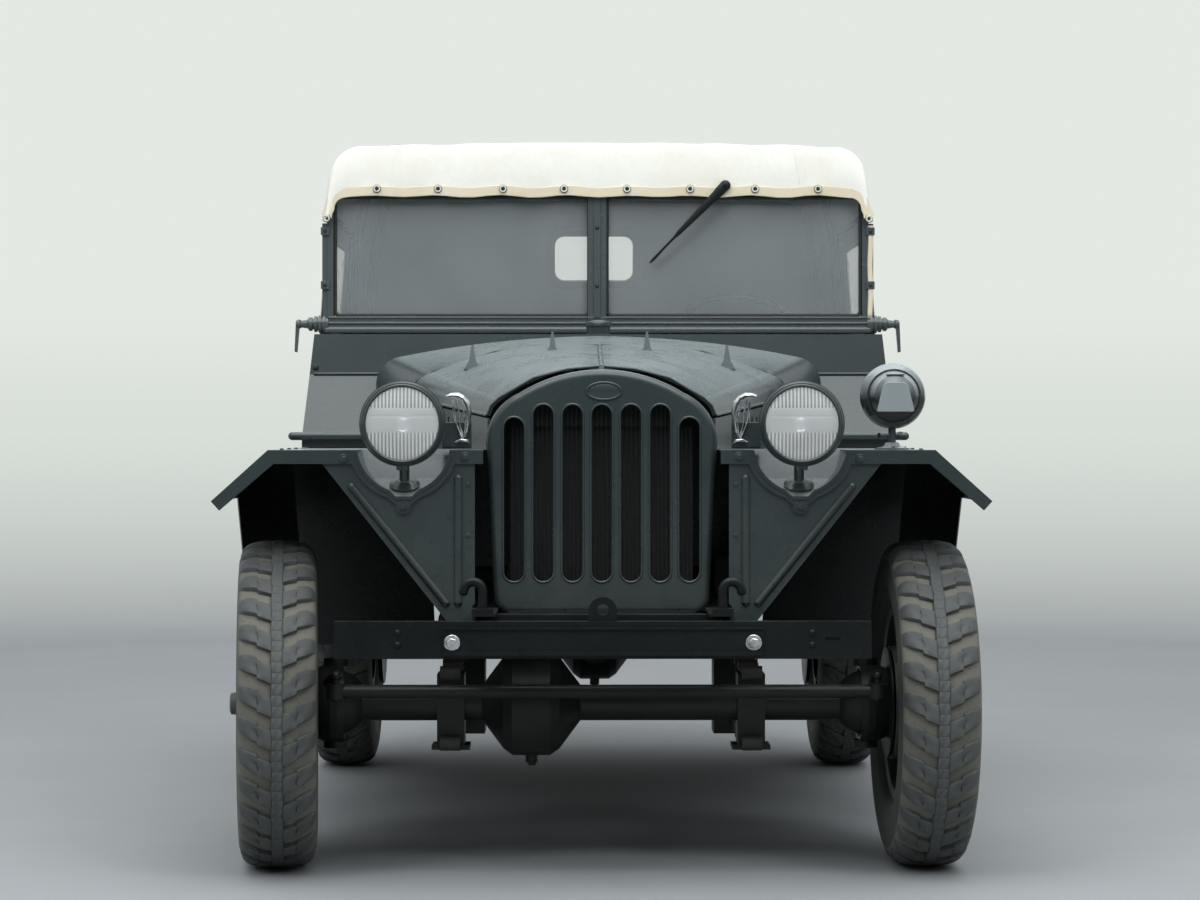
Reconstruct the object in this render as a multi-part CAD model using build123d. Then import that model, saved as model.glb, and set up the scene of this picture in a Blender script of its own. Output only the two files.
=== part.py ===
"""Open army 4x4 field car with a canvas top, as an assembly of separate pieces.

Millimetres. +Z is up, -Y is the front, +X is the car's left side. The origin is on the floor,
at the middle of the overall length, on the centre plane. Each entry that collect() gets is one node.
"""
import math
import os

from build123d import *

# ---------------------------------------------------------------- driving dimensions
LENGTH = 3350.0                 # bumper face to the end of the spare wheel's hub
FRONT_OVERHANG = 480.0
WHEELBASE = 2100.0
TRACK = 1448.0
KINGPIN_INSET = 130.0           # wheel centre plane to kingpin axis
OVERALL_WIDTH = 1690.0          # over the wings
GAP = 6.0                       # working gap between pieces that move past each other

TYRE_RADIUS = 365.0
TYRE_WIDTH = 175.0
RIM_RADIUS = 203.0              # bead seat of the 16 inch rim
TOE_RIGHT = 5.0                 # how far each front wheel stands turned, degrees, about +Z
TOE_LEFT = 1.0

RAIL_X = 250.0                  # centre of each frame rail
RAIL_WIDTH = 50.0
RAIL_BOTTOM = 500.0
RAIL_HEIGHT = 90.0
RAIL_WALL = 6.0

SHEET = 6.0                     # pressed panels
WALL = 18.0                     # body walls with their folded edges
FLOOR_THICKNESS = 12.0
CANVAS = 8.0

TUB_HALF_WIDTH = 743.0          # at the waist
WAIST_Z = 958.0
SHOULDER_HALF_WIDTH = 727.0
SHOULDER_Z = 1115.0
SCUTTLE_HALF_WIDTH = 716.0
COWL_TAPER = 21.0               # how much narrower the body is at the cowl's face than at the doors
SCUTTLE_Z = 1215.0
SILL_Z = 430.0
TUB_EDGE_Z = 1020.0             # top of the rear sides and back

WING_TOP_Z = 934.0
WING_FOLD_X = 722.0             # where the flat of the wing turns down
WING_FLARE_DEG = 42.0
WING_SLOPE_DEG = 50.0
WING_LIP = 30.0

GRILLE_HALF_WIDTH = 252.0
GRILLE_TOP_Z = 1110.0
GRILLE_BOTTOM_Z = 574.0
GRILLE_DEPTH = 60.0
SLOT_COUNT = 7
SLOT_PITCH = 63.8
SLOT_WIDTH = 48.0
SLOT_BOTTOM_Z = 645.0
SLOT_TOP_Z = 1034.0
OUTER_SLOT_TOP_Z = 1006.0

LAMP_X = 429.0
LAMP_Z = 991.0
LAMP_RADIUS = 91.0

SCREEN_HALF_WIDTH = 684.0
SCREEN_BOTTOM_Z = 1226.0
SCREEN_TOP_Z = 1600.0
SCREEN_DEPTH = 34.0
SCREEN_BAR = 24.0
ROOF_Z = 1703.0
ROOF_HALF_WIDTH = 696.0

FRONT_DIFF_X = -156.0
AXLE_TUBE_RADIUS = 40.0

# ---------------------------------------------------------------- places along the car
FRONT_AXLE_Y = -LENGTH / 2 + FRONT_OVERHANG
REAR_AXLE_Y = FRONT_AXLE_Y + WHEELBASE
AXLE_Z = TYRE_RADIUS
WHEEL_X = TRACK / 2
KINGPIN_X = WHEEL_X - KINGPIN_INSET
BUMPER_Y = FRONT_AXLE_Y - 470.0
LAMP_Y = FRONT_AXLE_Y - 300.0
WING_FRONT_Y = FRONT_AXLE_Y - 260.0
GRILLE_Y = FRONT_AXLE_Y - 200.0
HOOD_FRONT_Y = FRONT_AXLE_Y - 134.0
WING_BEND_Y = FRONT_AXLE_Y + 300.0
HOOD_REAR_Y = FRONT_AXLE_Y + 450.0
SCUTTLE_Y = FRONT_AXLE_Y + 620.0
BULKHEAD_Y = FRONT_AXLE_Y + 700.0
SCREEN_Y = FRONT_AXLE_Y + 850.0
DOOR_FRONT_Y = FRONT_AXLE_Y + 960.0
DOOR_REAR_Y = REAR_AXLE_Y - 480.0
BACK_Y = REAR_AXLE_Y + 520.0
TAPER_Y = DOOR_FRONT_Y - 45.0   # where the body starts to narrow
COWL_FACE_Y = FRONT_AXLE_Y + 560.0
REAR_END_Y = LENGTH / 2
WING_HALF_WIDTH = OVERALL_WIDTH / 2


# ---------------------------------------------------------------- small helpers
def block(x, y, z):
    """A box from its (low, high) pairs along X, Y and Z."""
    size = [high - low for low, high in (x, y, z)]
    centre = [(high + low) / 2 for low, high in (x, y, z)]
    return Pos(*centre) * Box(*size)


def prism(plane, points, start, end):
    """A polygon drawn in a plane, extruded between two distances along the plane's normal."""
    face = make_face(Polyline(*points, close=True))
    return extrude(plane.offset(start) * face, amount=end - start)


ALONG_X = Plane((0, 0, 0), x_dir=(0, 1, 0), z_dir=(1, 0, 0))    # local x is Y, local y is Z
ALONG_Y = Plane((0, 0, 0), x_dir=(1, 0, 0), z_dir=(0, -1, 0))   # local x is X, local y is Z


def prism_x(points_yz, x0, x1):
    return prism(ALONG_X, points_yz, x0, x1)


def prism_y(points_xz, y0, y1):
    return prism(ALONG_Y, points_xz, -y1, -y0)


def rod(start, end, radius):
    """A round bar between two points."""
    start, end = Vector(*start), Vector(*end)
    axis = end - start
    plane = Plane(origin=start, z_dir=axis)
    return extrude(plane * Circle(radius), amount=axis.length)


def ball(centre, radius):
    return Pos(*centre) * Sphere(radius)


def bent_rod(points, radius):
    """Round bars from point to point, with a ball at each bend."""
    shape = rod(points[0], points[1], radius)
    for start, end in zip(points[1:], points[2:]):
        shape += ball(start, radius)
        shape += rod(start, end, radius)
    return shape


def spun(profiles, centre, axis):
    """Closed profiles of (along the axis, radius) points, joined and turned about an axis."""
    if not isinstance(profiles[0], list):
        profiles = [profiles]
    across = (0, 0, 1) if abs(axis[2]) < 0.9 else (1, 0, 0)
    normal = Vector(*axis).cross(Vector(*across))
    plane = Plane(origin=centre, x_dir=axis, z_dir=normal)
    sketch = make_face(Polyline(*profiles[0], close=True))
    for profile in profiles[1:]:
        sketch += make_face(Polyline(*profile, close=True))
    return revolve(plane * sketch, axis=Axis(centre, axis))


def quad_plate(corners, thickness):
    """A flat four-cornered plate. The corners run anticlockwise seen from the thickened side."""
    outline = Polyline(*corners, close=True)
    return extrude(make_face(outline), amount=thickness)


def mirrored(shape):
    return mirror(shape, about=Plane.YZ)


def both_sides(shape):
    return [shape, mirrored(shape)]


NODES = {}


def collect(name, *shapes):
    """Keeps a node's solids under its name."""
    solids = []
    for shape in shapes:
        items = shape if isinstance(shape, (list, tuple)) else [shape]
        for item in items:
            solids.extend(item.solids())
    NODES[name] = solids


# ---------------------------------------------------------------- chassis
def rail(side):
    """One frame rail, a channel open towards the centre of the car."""
    outer = side * (RAIL_X + RAIL_WIDTH / 2)
    inner = side * (RAIL_X - RAIL_WIDTH / 2)
    span = (BUMPER_Y + 40, BACK_Y - 10)
    body = block(sorted((inner, outer)), span, (RAIL_BOTTOM, RAIL_BOTTOM + RAIL_HEIGHT))
    pocket_x = sorted((inner - side, outer - side * RAIL_WALL))
    pocket_z = (RAIL_BOTTOM + RAIL_WALL, RAIL_BOTTOM + RAIL_HEIGHT - RAIL_WALL)
    return body - block(pocket_x, (span[0] - 1, span[1] + 1), pocket_z)


def frame():
    shape = rail(1) + rail(-1)
    reach = RAIL_X + RAIL_WIDTH / 2 - RAIL_WALL + 1
    # y, depth, low and high of each crossmember
    members = [
        (FRONT_AXLE_Y - 300, 60, 10, 80),
        (FRONT_AXLE_Y + 480, 50, 6, 40),
        (FRONT_AXLE_Y + 1010, 60, 60, 84),
        (REAR_AXLE_Y - 420, 50, 10, 80),
        (BACK_Y - 60, 60, 10, 80),
    ]
    for y, depth, low, high in members:
        shape += block((-reach, reach), (y, y + depth), (RAIL_BOTTOM + low, RAIL_BOTTOM + high))
    top = RAIL_BOTTOM + RAIL_HEIGHT
    for y, short in ((BULKHEAD_Y + 60, 12), (DOOR_REAR_Y - 60, 0), (BACK_Y - 80, 0)):
        for side in (1, -1):
            span = sorted((side * (RAIL_X + 10), side * (TUB_HALF_WIDTH - WALL - short)))
            arm = block(span, (y, y + 50), (top - 45, top))
            shape += arm
    for piece in spring_brackets() + spring_hangers():
        shape += piece
    return shape


def bumper():
    high, low, half = 576.0, 498.0, 563.0
    face_y = BUMPER_Y
    channel = block((-half, half), (face_y, face_y + 40), (low, high))
    channel -= block((-half - 1, half + 1), (face_y + 5, face_y + 41), (low + 5, high - 5))
    # slot for the starting handle strap, on the left half
    channel -= block((465, 497), (face_y - 1, face_y + 6), (537, 543))
    plate = block((-335, 335), (face_y - 5, face_y), (505, 564))
    plate += block((-335, 335), (face_y - 10, face_y - 5), (560, 564))
    plate += block((-335, 335), (face_y - 10, face_y - 5), (505, 515))
    eye_y = (face_y + 12, face_y + 24)
    eye = block((-30, 30), eye_y, (high, 597))
    eye += Pos(0, (eye_y[0] + eye_y[1]) / 2, 597) * (Rot(90, 0, 0) * Cylinder(30, 12))
    eye -= Pos(0, (eye_y[0] + eye_y[1]) / 2, 600) * (Rot(90, 0, 0) * Cylinder(12, 14))
    return channel + plate + eye


def tow_hooks():
    """A forged hook standing on each frame horn, its tip curling outwards."""
    base = (RAIL_X + 4, FRONT_AXLE_Y - 405, RAIL_BOTTOM + RAIL_HEIGHT)
    x, y, z = base
    radius, reach = 10.0, 20.0
    path = Line((x, y, z + 8), (x, y, z + 46))
    bend = ThreePointArc((x, y, z + 46), (x + reach, y, z + 46 + reach), (x + 2 * reach, y, z + 46))
    wire = path + bend
    hook = sweep(Plane(origin=(x, y, z + 8), z_dir=(0, 0, 1)) * Circle(radius), path=wire)
    hook += ball((x + 2 * reach, y, z + 46), radius)
    hook += block((x - 22, x + 22), (y - 24, y + 24), (z, z + 10))
    return both_sides(hook)


def axle_case(y, diff_x, pinion_sign, half_length):
    """Axle tubes with the round differential housing and its pinion nose."""
    half, bulge, radius = 110.0, 63.0, 103.0
    shape = rod((-half_length, y, AXLE_Z), (half_length, y, AXLE_Z), AXLE_TUBE_RADIUS)
    profile = [
        (-half, 0), (-half, AXLE_TUBE_RADIUS), (-bulge, radius), (-42, 118),
        (42, 118), (bulge, radius), (half, AXLE_TUBE_RADIUS), (half, 0),
    ]
    shape += spun(profile, (diff_x, y, AXLE_Z), (1, 0, 0))
    nose = [(60, 0), (60, 78), (120, 62), (170, 42), (182, 42), (182, 0)]
    shape += spun(nose, (diff_x, y, AXLE_Z), (0, pinion_sign, 0))
    shape += rod((diff_x, y, AXLE_Z - 134), (diff_x, y, AXLE_Z - 100), 14)
    return shape


SPRING_X = 336.0
SPRING_WIDTH = 45.0
FRONT_LEAF_TOP_Z = 440.0
FRONT_LEAF_LOW_Z = 283.0
KNUCKLE_BALL = 72.0
PIN_RADIUS = 12.0
RUNNING_FIT = 0.05              # radial clearance of a pin in its bore
SPINDLE_RADIUS = 20.0


def front_axle():
    shape = axle_case(FRONT_AXLE_Y, FRONT_DIFF_X, 1, KINGPIN_X)
    for side in (1, -1):
        pin = (side * KINGPIN_X, FRONT_AXLE_Y)
        shape += ball((*pin, AXLE_Z), KNUCKLE_BALL)
        shape -= rod((*pin, AXLE_Z - 80), (*pin, AXLE_Z - 45), PIN_RADIUS + RUNNING_FIT)
        shape -= rod((*pin, AXLE_Z + 45), (*pin, AXLE_Z + 80), PIN_RADIUS + RUNNING_FIT)
        x = (side * SPRING_X - SPRING_WIDTH / 2 - 8, side * SPRING_X + SPRING_WIDTH / 2 + 8)
        y = (FRONT_AXLE_Y - 45, FRONT_AXLE_Y + 45)
        seat = block(x, y, (FRONT_LEAF_LOW_Z, FRONT_LEAF_TOP_Z - 8))
        shape += seat
        clip = block((x[0] - 12, x[1] + 12), (y[0], y[1]), (FRONT_LEAF_LOW_Z - 20, FRONT_LEAF_LOW_Z - 10))
        clip += block((x[0], x[0] + 6), y, (FRONT_LEAF_LOW_Z - 12, FRONT_LEAF_LOW_Z + 20))
        clip += block((x[1] - 6, x[1]), y, (FRONT_LEAF_LOW_Z - 12, FRONT_LEAF_LOW_Z + 20))
        shape += clip
    return shape


def quarter_spring(side, z, drop):
    """One quarter-elliptic pack, thickest at its frame bracket, running forward to the axle."""
    x0, x1 = side * SPRING_X - SPRING_WIDTH / 2, side * SPRING_X + SPRING_WIDTH / 2
    y_eye = FRONT_AXLE_Y - 63
    y_root = FRONT_AXLE_Y + 520
    leaf = 8.0
    shape = None
    for number in range(4):
        tip = y_eye + number * 130
        low = z - 8 - number * leaf if drop else z - 8 + number * leaf
        piece = block((x0, x1), (tip, y_root), (low, low + leaf))
        shape = piece if shape is None else shape + piece
    eye = Pos(side * SPRING_X, y_eye, z - 4) * (Rot(0, 90, 0) * Cylinder(16, SPRING_WIDTH))
    return shape + eye


def front_springs():
    return [quarter_spring(side, z, drop) for side in (1, -1)
            for z, drop in ((FRONT_LEAF_TOP_Z, False), (FRONT_LEAF_LOW_Z, False))]


def spring_brackets():
    """The brackets that hold the roots of the front springs, bolted to the rails."""
    shapes = []
    for side in (1, -1):
        x = sorted((side * (RAIL_X + RAIL_WIDTH / 2 - 2), side * (SPRING_X + SPRING_WIDTH / 2 + 14)))
        y = (FRONT_AXLE_Y + 420, FRONT_AXLE_Y + 530)
        body = block(x, y, (FRONT_LEAF_LOW_Z - 30, RAIL_BOTTOM + RAIL_HEIGHT - 20))
        for z in (FRONT_LEAF_TOP_Z, FRONT_LEAF_LOW_Z):
            x_leaf = (side * SPRING_X - SPRING_WIDTH / 2, side * SPRING_X + SPRING_WIDTH / 2)
            body -= block(x_leaf, (y[0] - 1, FRONT_AXLE_Y + 520), (z - 8, z + 24))
        shapes.append(body)
    return shapes


REAR_SPRING_HALF = 440.0


def rear_springs():
    """Semi-elliptic packs over the rear axle, with an eye at each end."""
    shapes = []
    seat_z = AXLE_Z + AXLE_TUBE_RADIUS + 8
    leaf, leaves = 9.0, 5
    for side in (1, -1):
        x0, x1 = side * SPRING_X - SPRING_WIDTH / 2, side * SPRING_X + SPRING_WIDTH / 2
        pack = None
        for number in range(leaves):
            half = REAR_SPRING_HALF - (leaves - 1 - number) * 85
            rise = 52 * (half / REAR_SPRING_HALF) ** 2
            low = seat_z + number * leaf
            centre = (REAR_AXLE_Y, low)
            left, right = (REAR_AXLE_Y - half, low + rise), (REAR_AXLE_Y + half, low + rise)
            left_up, right_up = (left[0], left[1] + leaf), (right[0], right[1] + leaf)
            outline = ThreePointArc(left, centre, right) + Line(right, right_up)
            outline += ThreePointArc(right_up, (REAR_AXLE_Y, low + leaf), left_up) + Line(left_up, left)
            piece = extrude(ALONG_X.offset(x0) * make_face(outline), amount=x1 - x0)
            pack = piece if pack is None else pack + piece
        top = seat_z + (leaves - 1) * leaf + 52 + leaf / 2
        for end in (-1, 1):
            centre = (side * SPRING_X, REAR_AXLE_Y + end * REAR_SPRING_HALF, top)
            pack += Pos(*centre) * (Rot(0, 90, 0) * Cylinder(16, SPRING_WIDTH))
        shapes.append(pack)
    return shapes


def spring_hangers():
    """Plates from the rails down to the eyes of the rear springs."""
    shapes = []
    eye_z = AXLE_Z + AXLE_TUBE_RADIUS + 8 + 36 + 52 + 4.5
    for side in (1, -1):
        for end in (-1, 1):
            y = REAR_AXLE_Y + end * REAR_SPRING_HALF
            x = sorted((side * (RAIL_X + RAIL_WIDTH / 2 - 2), side * (SPRING_X - SPRING_WIDTH / 2)))
            shapes.append(block(x, (y - 28, y + 28), (eye_z - 22, RAIL_BOTTOM + RAIL_HEIGHT - 15)))
    return shapes


def rear_axle():
    shape = axle_case(REAR_AXLE_Y, 0.0, -1, WHEEL_X - 95)
    top = AXLE_Z + AXLE_TUBE_RADIUS + 8
    for side in (1, -1):
        x = (side * SPRING_X - SPRING_WIDTH / 2, side * SPRING_X + SPRING_WIDTH / 2)
        shape += block(x, (REAR_AXLE_Y - 40, REAR_AXLE_Y + 40), (AXLE_Z, top))
        end = side * (WHEEL_X - 95)
        shape += rod((end - side * 12, REAR_AXLE_Y, AXLE_Z), (end, REAR_AXLE_Y, AXLE_Z), 130)
        shape += rod((end, REAR_AXLE_Y, AXLE_Z), (end + side * 110, REAR_AXLE_Y, AXLE_Z), SPINDLE_RADIUS)
    return shape


def powertrain():
    """Engine, gearbox and transfer case as one plain mass at their real places."""
    engine = block((-150, 150), (FRONT_AXLE_Y - 20, FRONT_AXLE_Y + 560), (525, 930))
    engine += block((-95, 95), (FRONT_AXLE_Y + 140, FRONT_AXLE_Y + 500), (455, 525))
    engine -= block((-160, 160), (FRONT_AXLE_Y + 470, FRONT_AXLE_Y + 540), (440, 545))
    gearbox = block((-95, 95), (FRONT_AXLE_Y + 560, FRONT_AXLE_Y + 860), (545, 720))
    gearbox += block((-80, 80), (FRONT_AXLE_Y + 860, FRONT_AXLE_Y + 1000), (480, 585))
    transfer = block((FRONT_DIFF_X - 60, 60), (FRONT_AXLE_Y + 780, FRONT_AXLE_Y + 930), (430, 585))
    return engine + gearbox + transfer


def propshafts():
    front = rod((FRONT_DIFF_X, FRONT_AXLE_Y + 183, AXLE_Z), (FRONT_DIFF_X, FRONT_AXLE_Y + 779, 470), 24)
    rear = rod((0, FRONT_AXLE_Y + 1001, 525), (0, REAR_AXLE_Y - 183, AXLE_Z + 4), 24)
    front &= block((-400, 400), (FRONT_AXLE_Y + 183, FRONT_AXLE_Y + 779), (200, 700))
    rear &= block((-400, 400), (FRONT_AXLE_Y + 1001, REAR_AXLE_Y - 183), (200, 700))
    return [front, rear]


def exhaust():
    """Down pipe from the engine, passing under the right frame rail to the silencer."""
    x = -RAIL_X - 110
    x_down = -203
    silencer = rod((x, 0, 470), (x, 420, 470), 60)
    points = [(-151, FRONT_AXLE_Y + 435, 640), (x_down, FRONT_AXLE_Y + 435, 640),
              (x_down, FRONT_AXLE_Y + 435, 455), (x_down, FRONT_AXLE_Y + 575, 455),
              (x, FRONT_AXLE_Y + 595, 455), (x, 10, 470)]
    return silencer + bent_rod(points, 18)


# ---------------------------------------------------------------- front sheet metal
def grille_outline(inset):
    """Closed outline of the radiator shell in X and Z: an arch on tapering legs."""
    w, top, low = GRILLE_HALF_WIDTH - inset, GRILLE_TOP_Z - inset, GRILLE_BOTTOM_Z + inset
    foot = GRILLE_HALF_WIDTH - 16 - inset
    spring_z = 930.0
    corner = 40.0 - inset / 2
    diag = corner * (1 - math.sqrt(0.5))
    k_x, k_z = w * 0.72, spring_z + (top - spring_z) * 0.71
    lines = Line((foot, low + corner), (w, spring_z))
    lines += ThreePointArc((w, spring_z), (w * 0.925, spring_z + (top - spring_z) * 0.47), (k_x, k_z))
    lines += ThreePointArc((k_x, k_z), (0, top), (-k_x, k_z))
    lines += ThreePointArc((-k_x, k_z), (-w * 0.925, spring_z + (top - spring_z) * 0.47), (-w, spring_z))
    lines += Line((-w, spring_z), (-foot, low + corner))
    lines += ThreePointArc((-foot, low + corner), (-foot + diag, low + diag), (-foot + corner, low))
    lines += Line((-foot + corner, low), (foot - corner, low))
    lines += ThreePointArc((foot - corner, low), (foot - diag, low + diag), (foot, low + corner))
    return make_face(lines)


def extrude_y(face, y0, y1):
    """A face drawn in X and Z, extruded from y0 back to y1."""
    return extrude(ALONG_Y.offset(-y1) * face, amount=y1 - y0)


def grille():
    shell = extrude_y(grille_outline(0), GRILLE_Y, GRILLE_Y + GRILLE_DEPTH)
    front_edges = shell.faces().sort_by(Axis.Y)[0].edges()
    shell = fillet(front_edges, 16)
    shell -= extrude_y(grille_outline(SHEET), GRILLE_Y + SHEET, GRILLE_Y + GRILLE_DEPTH + 1)
    middle = SLOT_COUNT // 2
    for number in range(SLOT_COUNT):
        x = (number - middle) * SLOT_PITCH
        top = OUTER_SLOT_TOP_Z if number in (0, SLOT_COUNT - 1) else SLOT_TOP_Z
        slot = SlotOverall(top - SLOT_BOTTOM_Z, SLOT_WIDTH, rotation=90)
        face = Pos(x, (top + SLOT_BOTTOM_Z) / 2) * slot
        shell -= extrude_y(face, GRILLE_Y - 1, GRILLE_Y + 2 * SHEET)
    for side in (1, -1):
        rail_x = sorted((side * (RAIL_X - RAIL_WIDTH / 2 - 2), side * (RAIL_X + RAIL_WIDTH)))
        shell -= block(rail_x, (GRILLE_Y - 1, GRILLE_Y + 99), (560, RAIL_BOTTOM + RAIL_HEIGHT + 2))
    return shell


def radiator():
    y0 = GRILLE_Y + 34
    core = block((-200, 200), (y0, y0 + 60), (640, 985))
    core += block((-168, 168), (y0 - 8, y0 + 66), (985, 1044))
    core += block((-195, 195), (y0 - 8, y0 + 66), (606, 640))
    core += block((-150, 150), (y0 + 10, y0 + 50), (RAIL_BOTTOM + RAIL_HEIGHT, 606))
    return core


# half cross-sections: crown, a point on it, where the shoulder starts to roll, a point on the roll, the side
HOOD_FRONT = dict(top=1118.0, mid=(150.0, 1092.0), edge=(226.0, 1047.0), bend=(243.0, 1031.0), side=(251.0, 1009.0))
HOOD_REAR = dict(top=1180.0, mid=(250.0, 1164.0), edge=(398.0, 1116.0), bend=(437.0, 1093.0), side=(457.0, 1055.0))
SCUTTLE = dict(top=1208.0, mid=(330.0, 1184.0), edge=(488.0, 1157.0), bend=(528.0, 1135.0), side=(545.0, 1095.0))
HINGE_GAP = 3.0
HINGE_RADIUS = 5.0
HINGE_CLEARANCE = 0.4


def hinge_rod(radius):
    """The line that both halves of the hood turn about, along the seam, as a round bar."""
    y0, y1 = HOOD_FRONT_Y, HOOD_REAR_Y - 3
    slope = (HOOD_REAR["top"] - HOOD_FRONT["top"]) / (y1 - y0)
    reach = 40.0
    return rod((0, y0 - reach, HOOD_FRONT["top"] - slope * reach), (0, y1 + reach, HOOD_REAR["top"] + slope * reach),
               radius)


def skin_section(section, y, start_x):
    """Half of a panel's cross-section, as a thin closed face at one place along the car."""
    top, (mid_x, mid_z), (edge_x, edge_z) = section["top"], section["mid"], section["edge"]
    (bend_x, bend_z), (side_x, side_z) = section["bend"], section["side"]
    lift = top - (top - mid_z) * (start_x / mid_x) ** 2
    inner_edge, inner_side = (edge_x - 2, edge_z - SHEET), (side_x - SHEET, side_z)
    lines = ThreePointArc((start_x, lift), (mid_x, mid_z), (edge_x, edge_z))
    lines += ThreePointArc((edge_x, edge_z), (bend_x, bend_z), (side_x, side_z))
    lines += Line((side_x, side_z), inner_side)
    lines += ThreePointArc(inner_side, (bend_x - SHEET * 0.75, bend_z - SHEET * 0.75), inner_edge)
    lines += ThreePointArc(inner_edge, (mid_x - 2, mid_z - SHEET), (start_x, lift - SHEET))
    lines += Line((start_x, lift - SHEET), (start_x, lift))
    return ALONG_Y.offset(-y) * make_face(lines)


def upright_panel(start, end):
    """A thin upright panel that stands at the wing's height; each end is its X, Y and top."""
    sections = []
    for x, y, top in (start, end):
        outline = Polyline((x, WING_TOP_Z), (x, top), (x - SHEET, top), (x - SHEET, WING_TOP_Z), close=True)
        sections.append(ALONG_Y.offset(-y) * make_face(outline))
    return loft(sections, ruled=True)


def hood_half():
    """Left half of the hood, with the two rests that the folded windscreen lies on."""
    front = skin_section(HOOD_FRONT, HOOD_FRONT_Y, HINGE_GAP)
    rear = skin_section(HOOD_REAR, HOOD_REAR_Y - 3, HINGE_GAP)
    shape = loft([front, rear], ruled=True)
    # x, foot height of each rest
    for x, foot in ((111.0, 1151.0), (299.0, 1120.0)):
        y = HOOD_REAR_Y - 147
        shape += prism_y([(x - 20, foot), (x + 20, foot), (x + 8, foot + 20), (x + 2, foot + 58), (x - 2, foot + 58),
                          (x - 8, foot + 20)], y, y + 26)
    return shape - hinge_rod(HINGE_RADIUS + HINGE_CLEARANCE)


def hood_hinge():
    """The hinge pin between the hood halves, from a foot on the grille shell to the scuttle."""
    front = HOOD_FRONT_Y - 20
    pin = hinge_rod(HINGE_RADIUS) & block((-20, 20), (front, HOOD_REAR_Y + 3), (1000, 1300))
    return pin + block((-6, 6), (front, front + 12), (GRILLE_TOP_Z, GRILLE_TOP_Z + 6))


def scuttle():
    """The panel between the hood and the body, with its upright sides."""
    front, rear, end = HOOD_REAR_Y + 3, SCUTTLE_Y, SCUTTLE_Y + 75
    half = loft([skin_section(HOOD_REAR, front, 0.0), skin_section(SCUTTLE, rear, 0.0)], ruled=True)
    half += loft([skin_section(SCUTTLE, rear, 0.0), skin_section(SCUTTLE, end, 0.0)], ruled=True)
    (x0, top0), (x1, top1) = HOOD_REAR["side"], SCUTTLE["side"]
    half += upright_panel((x0, front, top0), (x1, rear, top1)) + upright_panel((x1, rear, top1), (x1, end, top1))
    return half + mirrored(half)


def hull_section(shrink):
    """The space inside the body's walls in X and Z, brought in by an amount on each side."""
    half = [(TUB_HALF_WIDTH, SILL_Z), (TUB_HALF_WIDTH, WAIST_Z), (SHOULDER_HALF_WIDTH, SHOULDER_Z),
            (SCUTTLE_HALF_WIDTH, SCUTTLE_Z), (SCUTTLE_HALF_WIDTH, SCUTTLE_Z + 20)]
    half = [(x - WALL - shrink, z) for x, z in half]
    return half + [(-x, z) for x, z in reversed(half)]


def narrowing_front(section):
    """The body forwards of the doors, where it narrows; section gives its outline for a shrinkage."""
    places = ((TAPER_Y, 0.0), (COWL_FACE_Y, COWL_TAPER), (FRONT_AXLE_Y + 100, COWL_TAPER))
    cuts = [ALONG_Y.offset(-y) * make_face(Polyline(*section(shrink), close=True)) for y, shrink in places]
    return loft(cuts[:2], ruled=True) + loft(cuts[1:], ruled=True)


def cowl():
    """Body front: sloping lower face, upright upper face, top shelf and bulkhead."""
    t = 12.0
    outer = [
        (COWL_FACE_Y, WING_TOP_Z + 2), (COWL_FACE_Y, WAIST_Z), (FRONT_AXLE_Y + 672, SHOULDER_Z),
        (FRONT_AXLE_Y + 690, SCUTTLE_Z), (SCREEN_Y + 30, SCUTTLE_Z + 6), (SCREEN_Y + 30, SCUTTLE_Z - t),
        (FRONT_AXLE_Y + 690 + t, SCUTTLE_Z - t), (FRONT_AXLE_Y + 674 + t, SHOULDER_Z - 4),
        (COWL_FACE_Y + 2 + t, WAIST_Z - 4), (COWL_FACE_Y + t, WING_TOP_Z + 2),
    ]
    reach = TUB_HALF_WIDTH
    shape = prism_x(outer, -reach, reach)
    shape += block((-reach, reach), (BULKHEAD_Y, BULKHEAD_Y + t), (640, SCUTTLE_Z - t))
    shape &= narrowing_front(hull_section)
    # clear the engine bay under the scuttle
    tunnel = [(-505, 900), (505, 900), (505, 1085), (330, 1160), (0, 1186), (-330, 1160), (-505, 1085)]
    shape -= prism_y(tunnel, COWL_FACE_Y - 10, FRONT_AXLE_Y + 700)
    shape -= block((-110, 110), (BULKHEAD_Y - 1, BULKHEAD_Y + t + 1), (600, 760))
    shape += scuttle()
    shape -= rod(along_column(560), along_column(680), 23)
    # moulding along the foot of the lower face, its rounded ends standing out past the sides
    y, z, bead = COWL_FACE_Y - 12, WAIST_Z + 5, 10.0
    for side in (1, -1):
        start, end = (side * 516, y, z), (side * (TUB_HALF_WIDTH + 1), y, z)
        shape += rod(start, end, bead) + ball(end, bead)
        shape += block(sorted((side * 516, side * 700)), (y, COWL_FACE_Y + 4), (z - bead, z - 5))
    return shape + Pos(0, FRONT_AXLE_Y + 735, 1222) * Cylinder(30, 26)


def offset_line(points, distance):
    """A (y, z) polyline moved sideways by a distance, with mitred corners."""
    moved = []
    normals = []
    for (y0, z0), (y1, z1) in zip(points, points[1:]):
        length = math.hypot(y1 - y0, z1 - z0)
        normals.append(((z1 - z0) / length, -(y1 - y0) / length))
    for index, (y, z) in enumerate(points):
        before = normals[max(index - 1, 0)]
        after = normals[min(index, len(normals) - 1)]
        scale = distance / (1 + before[0] * after[0] + before[1] * after[1])
        moved.append((y + (before[0] + after[0]) * scale, z + (before[1] + after[1]) * scale))
    return moved


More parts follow.
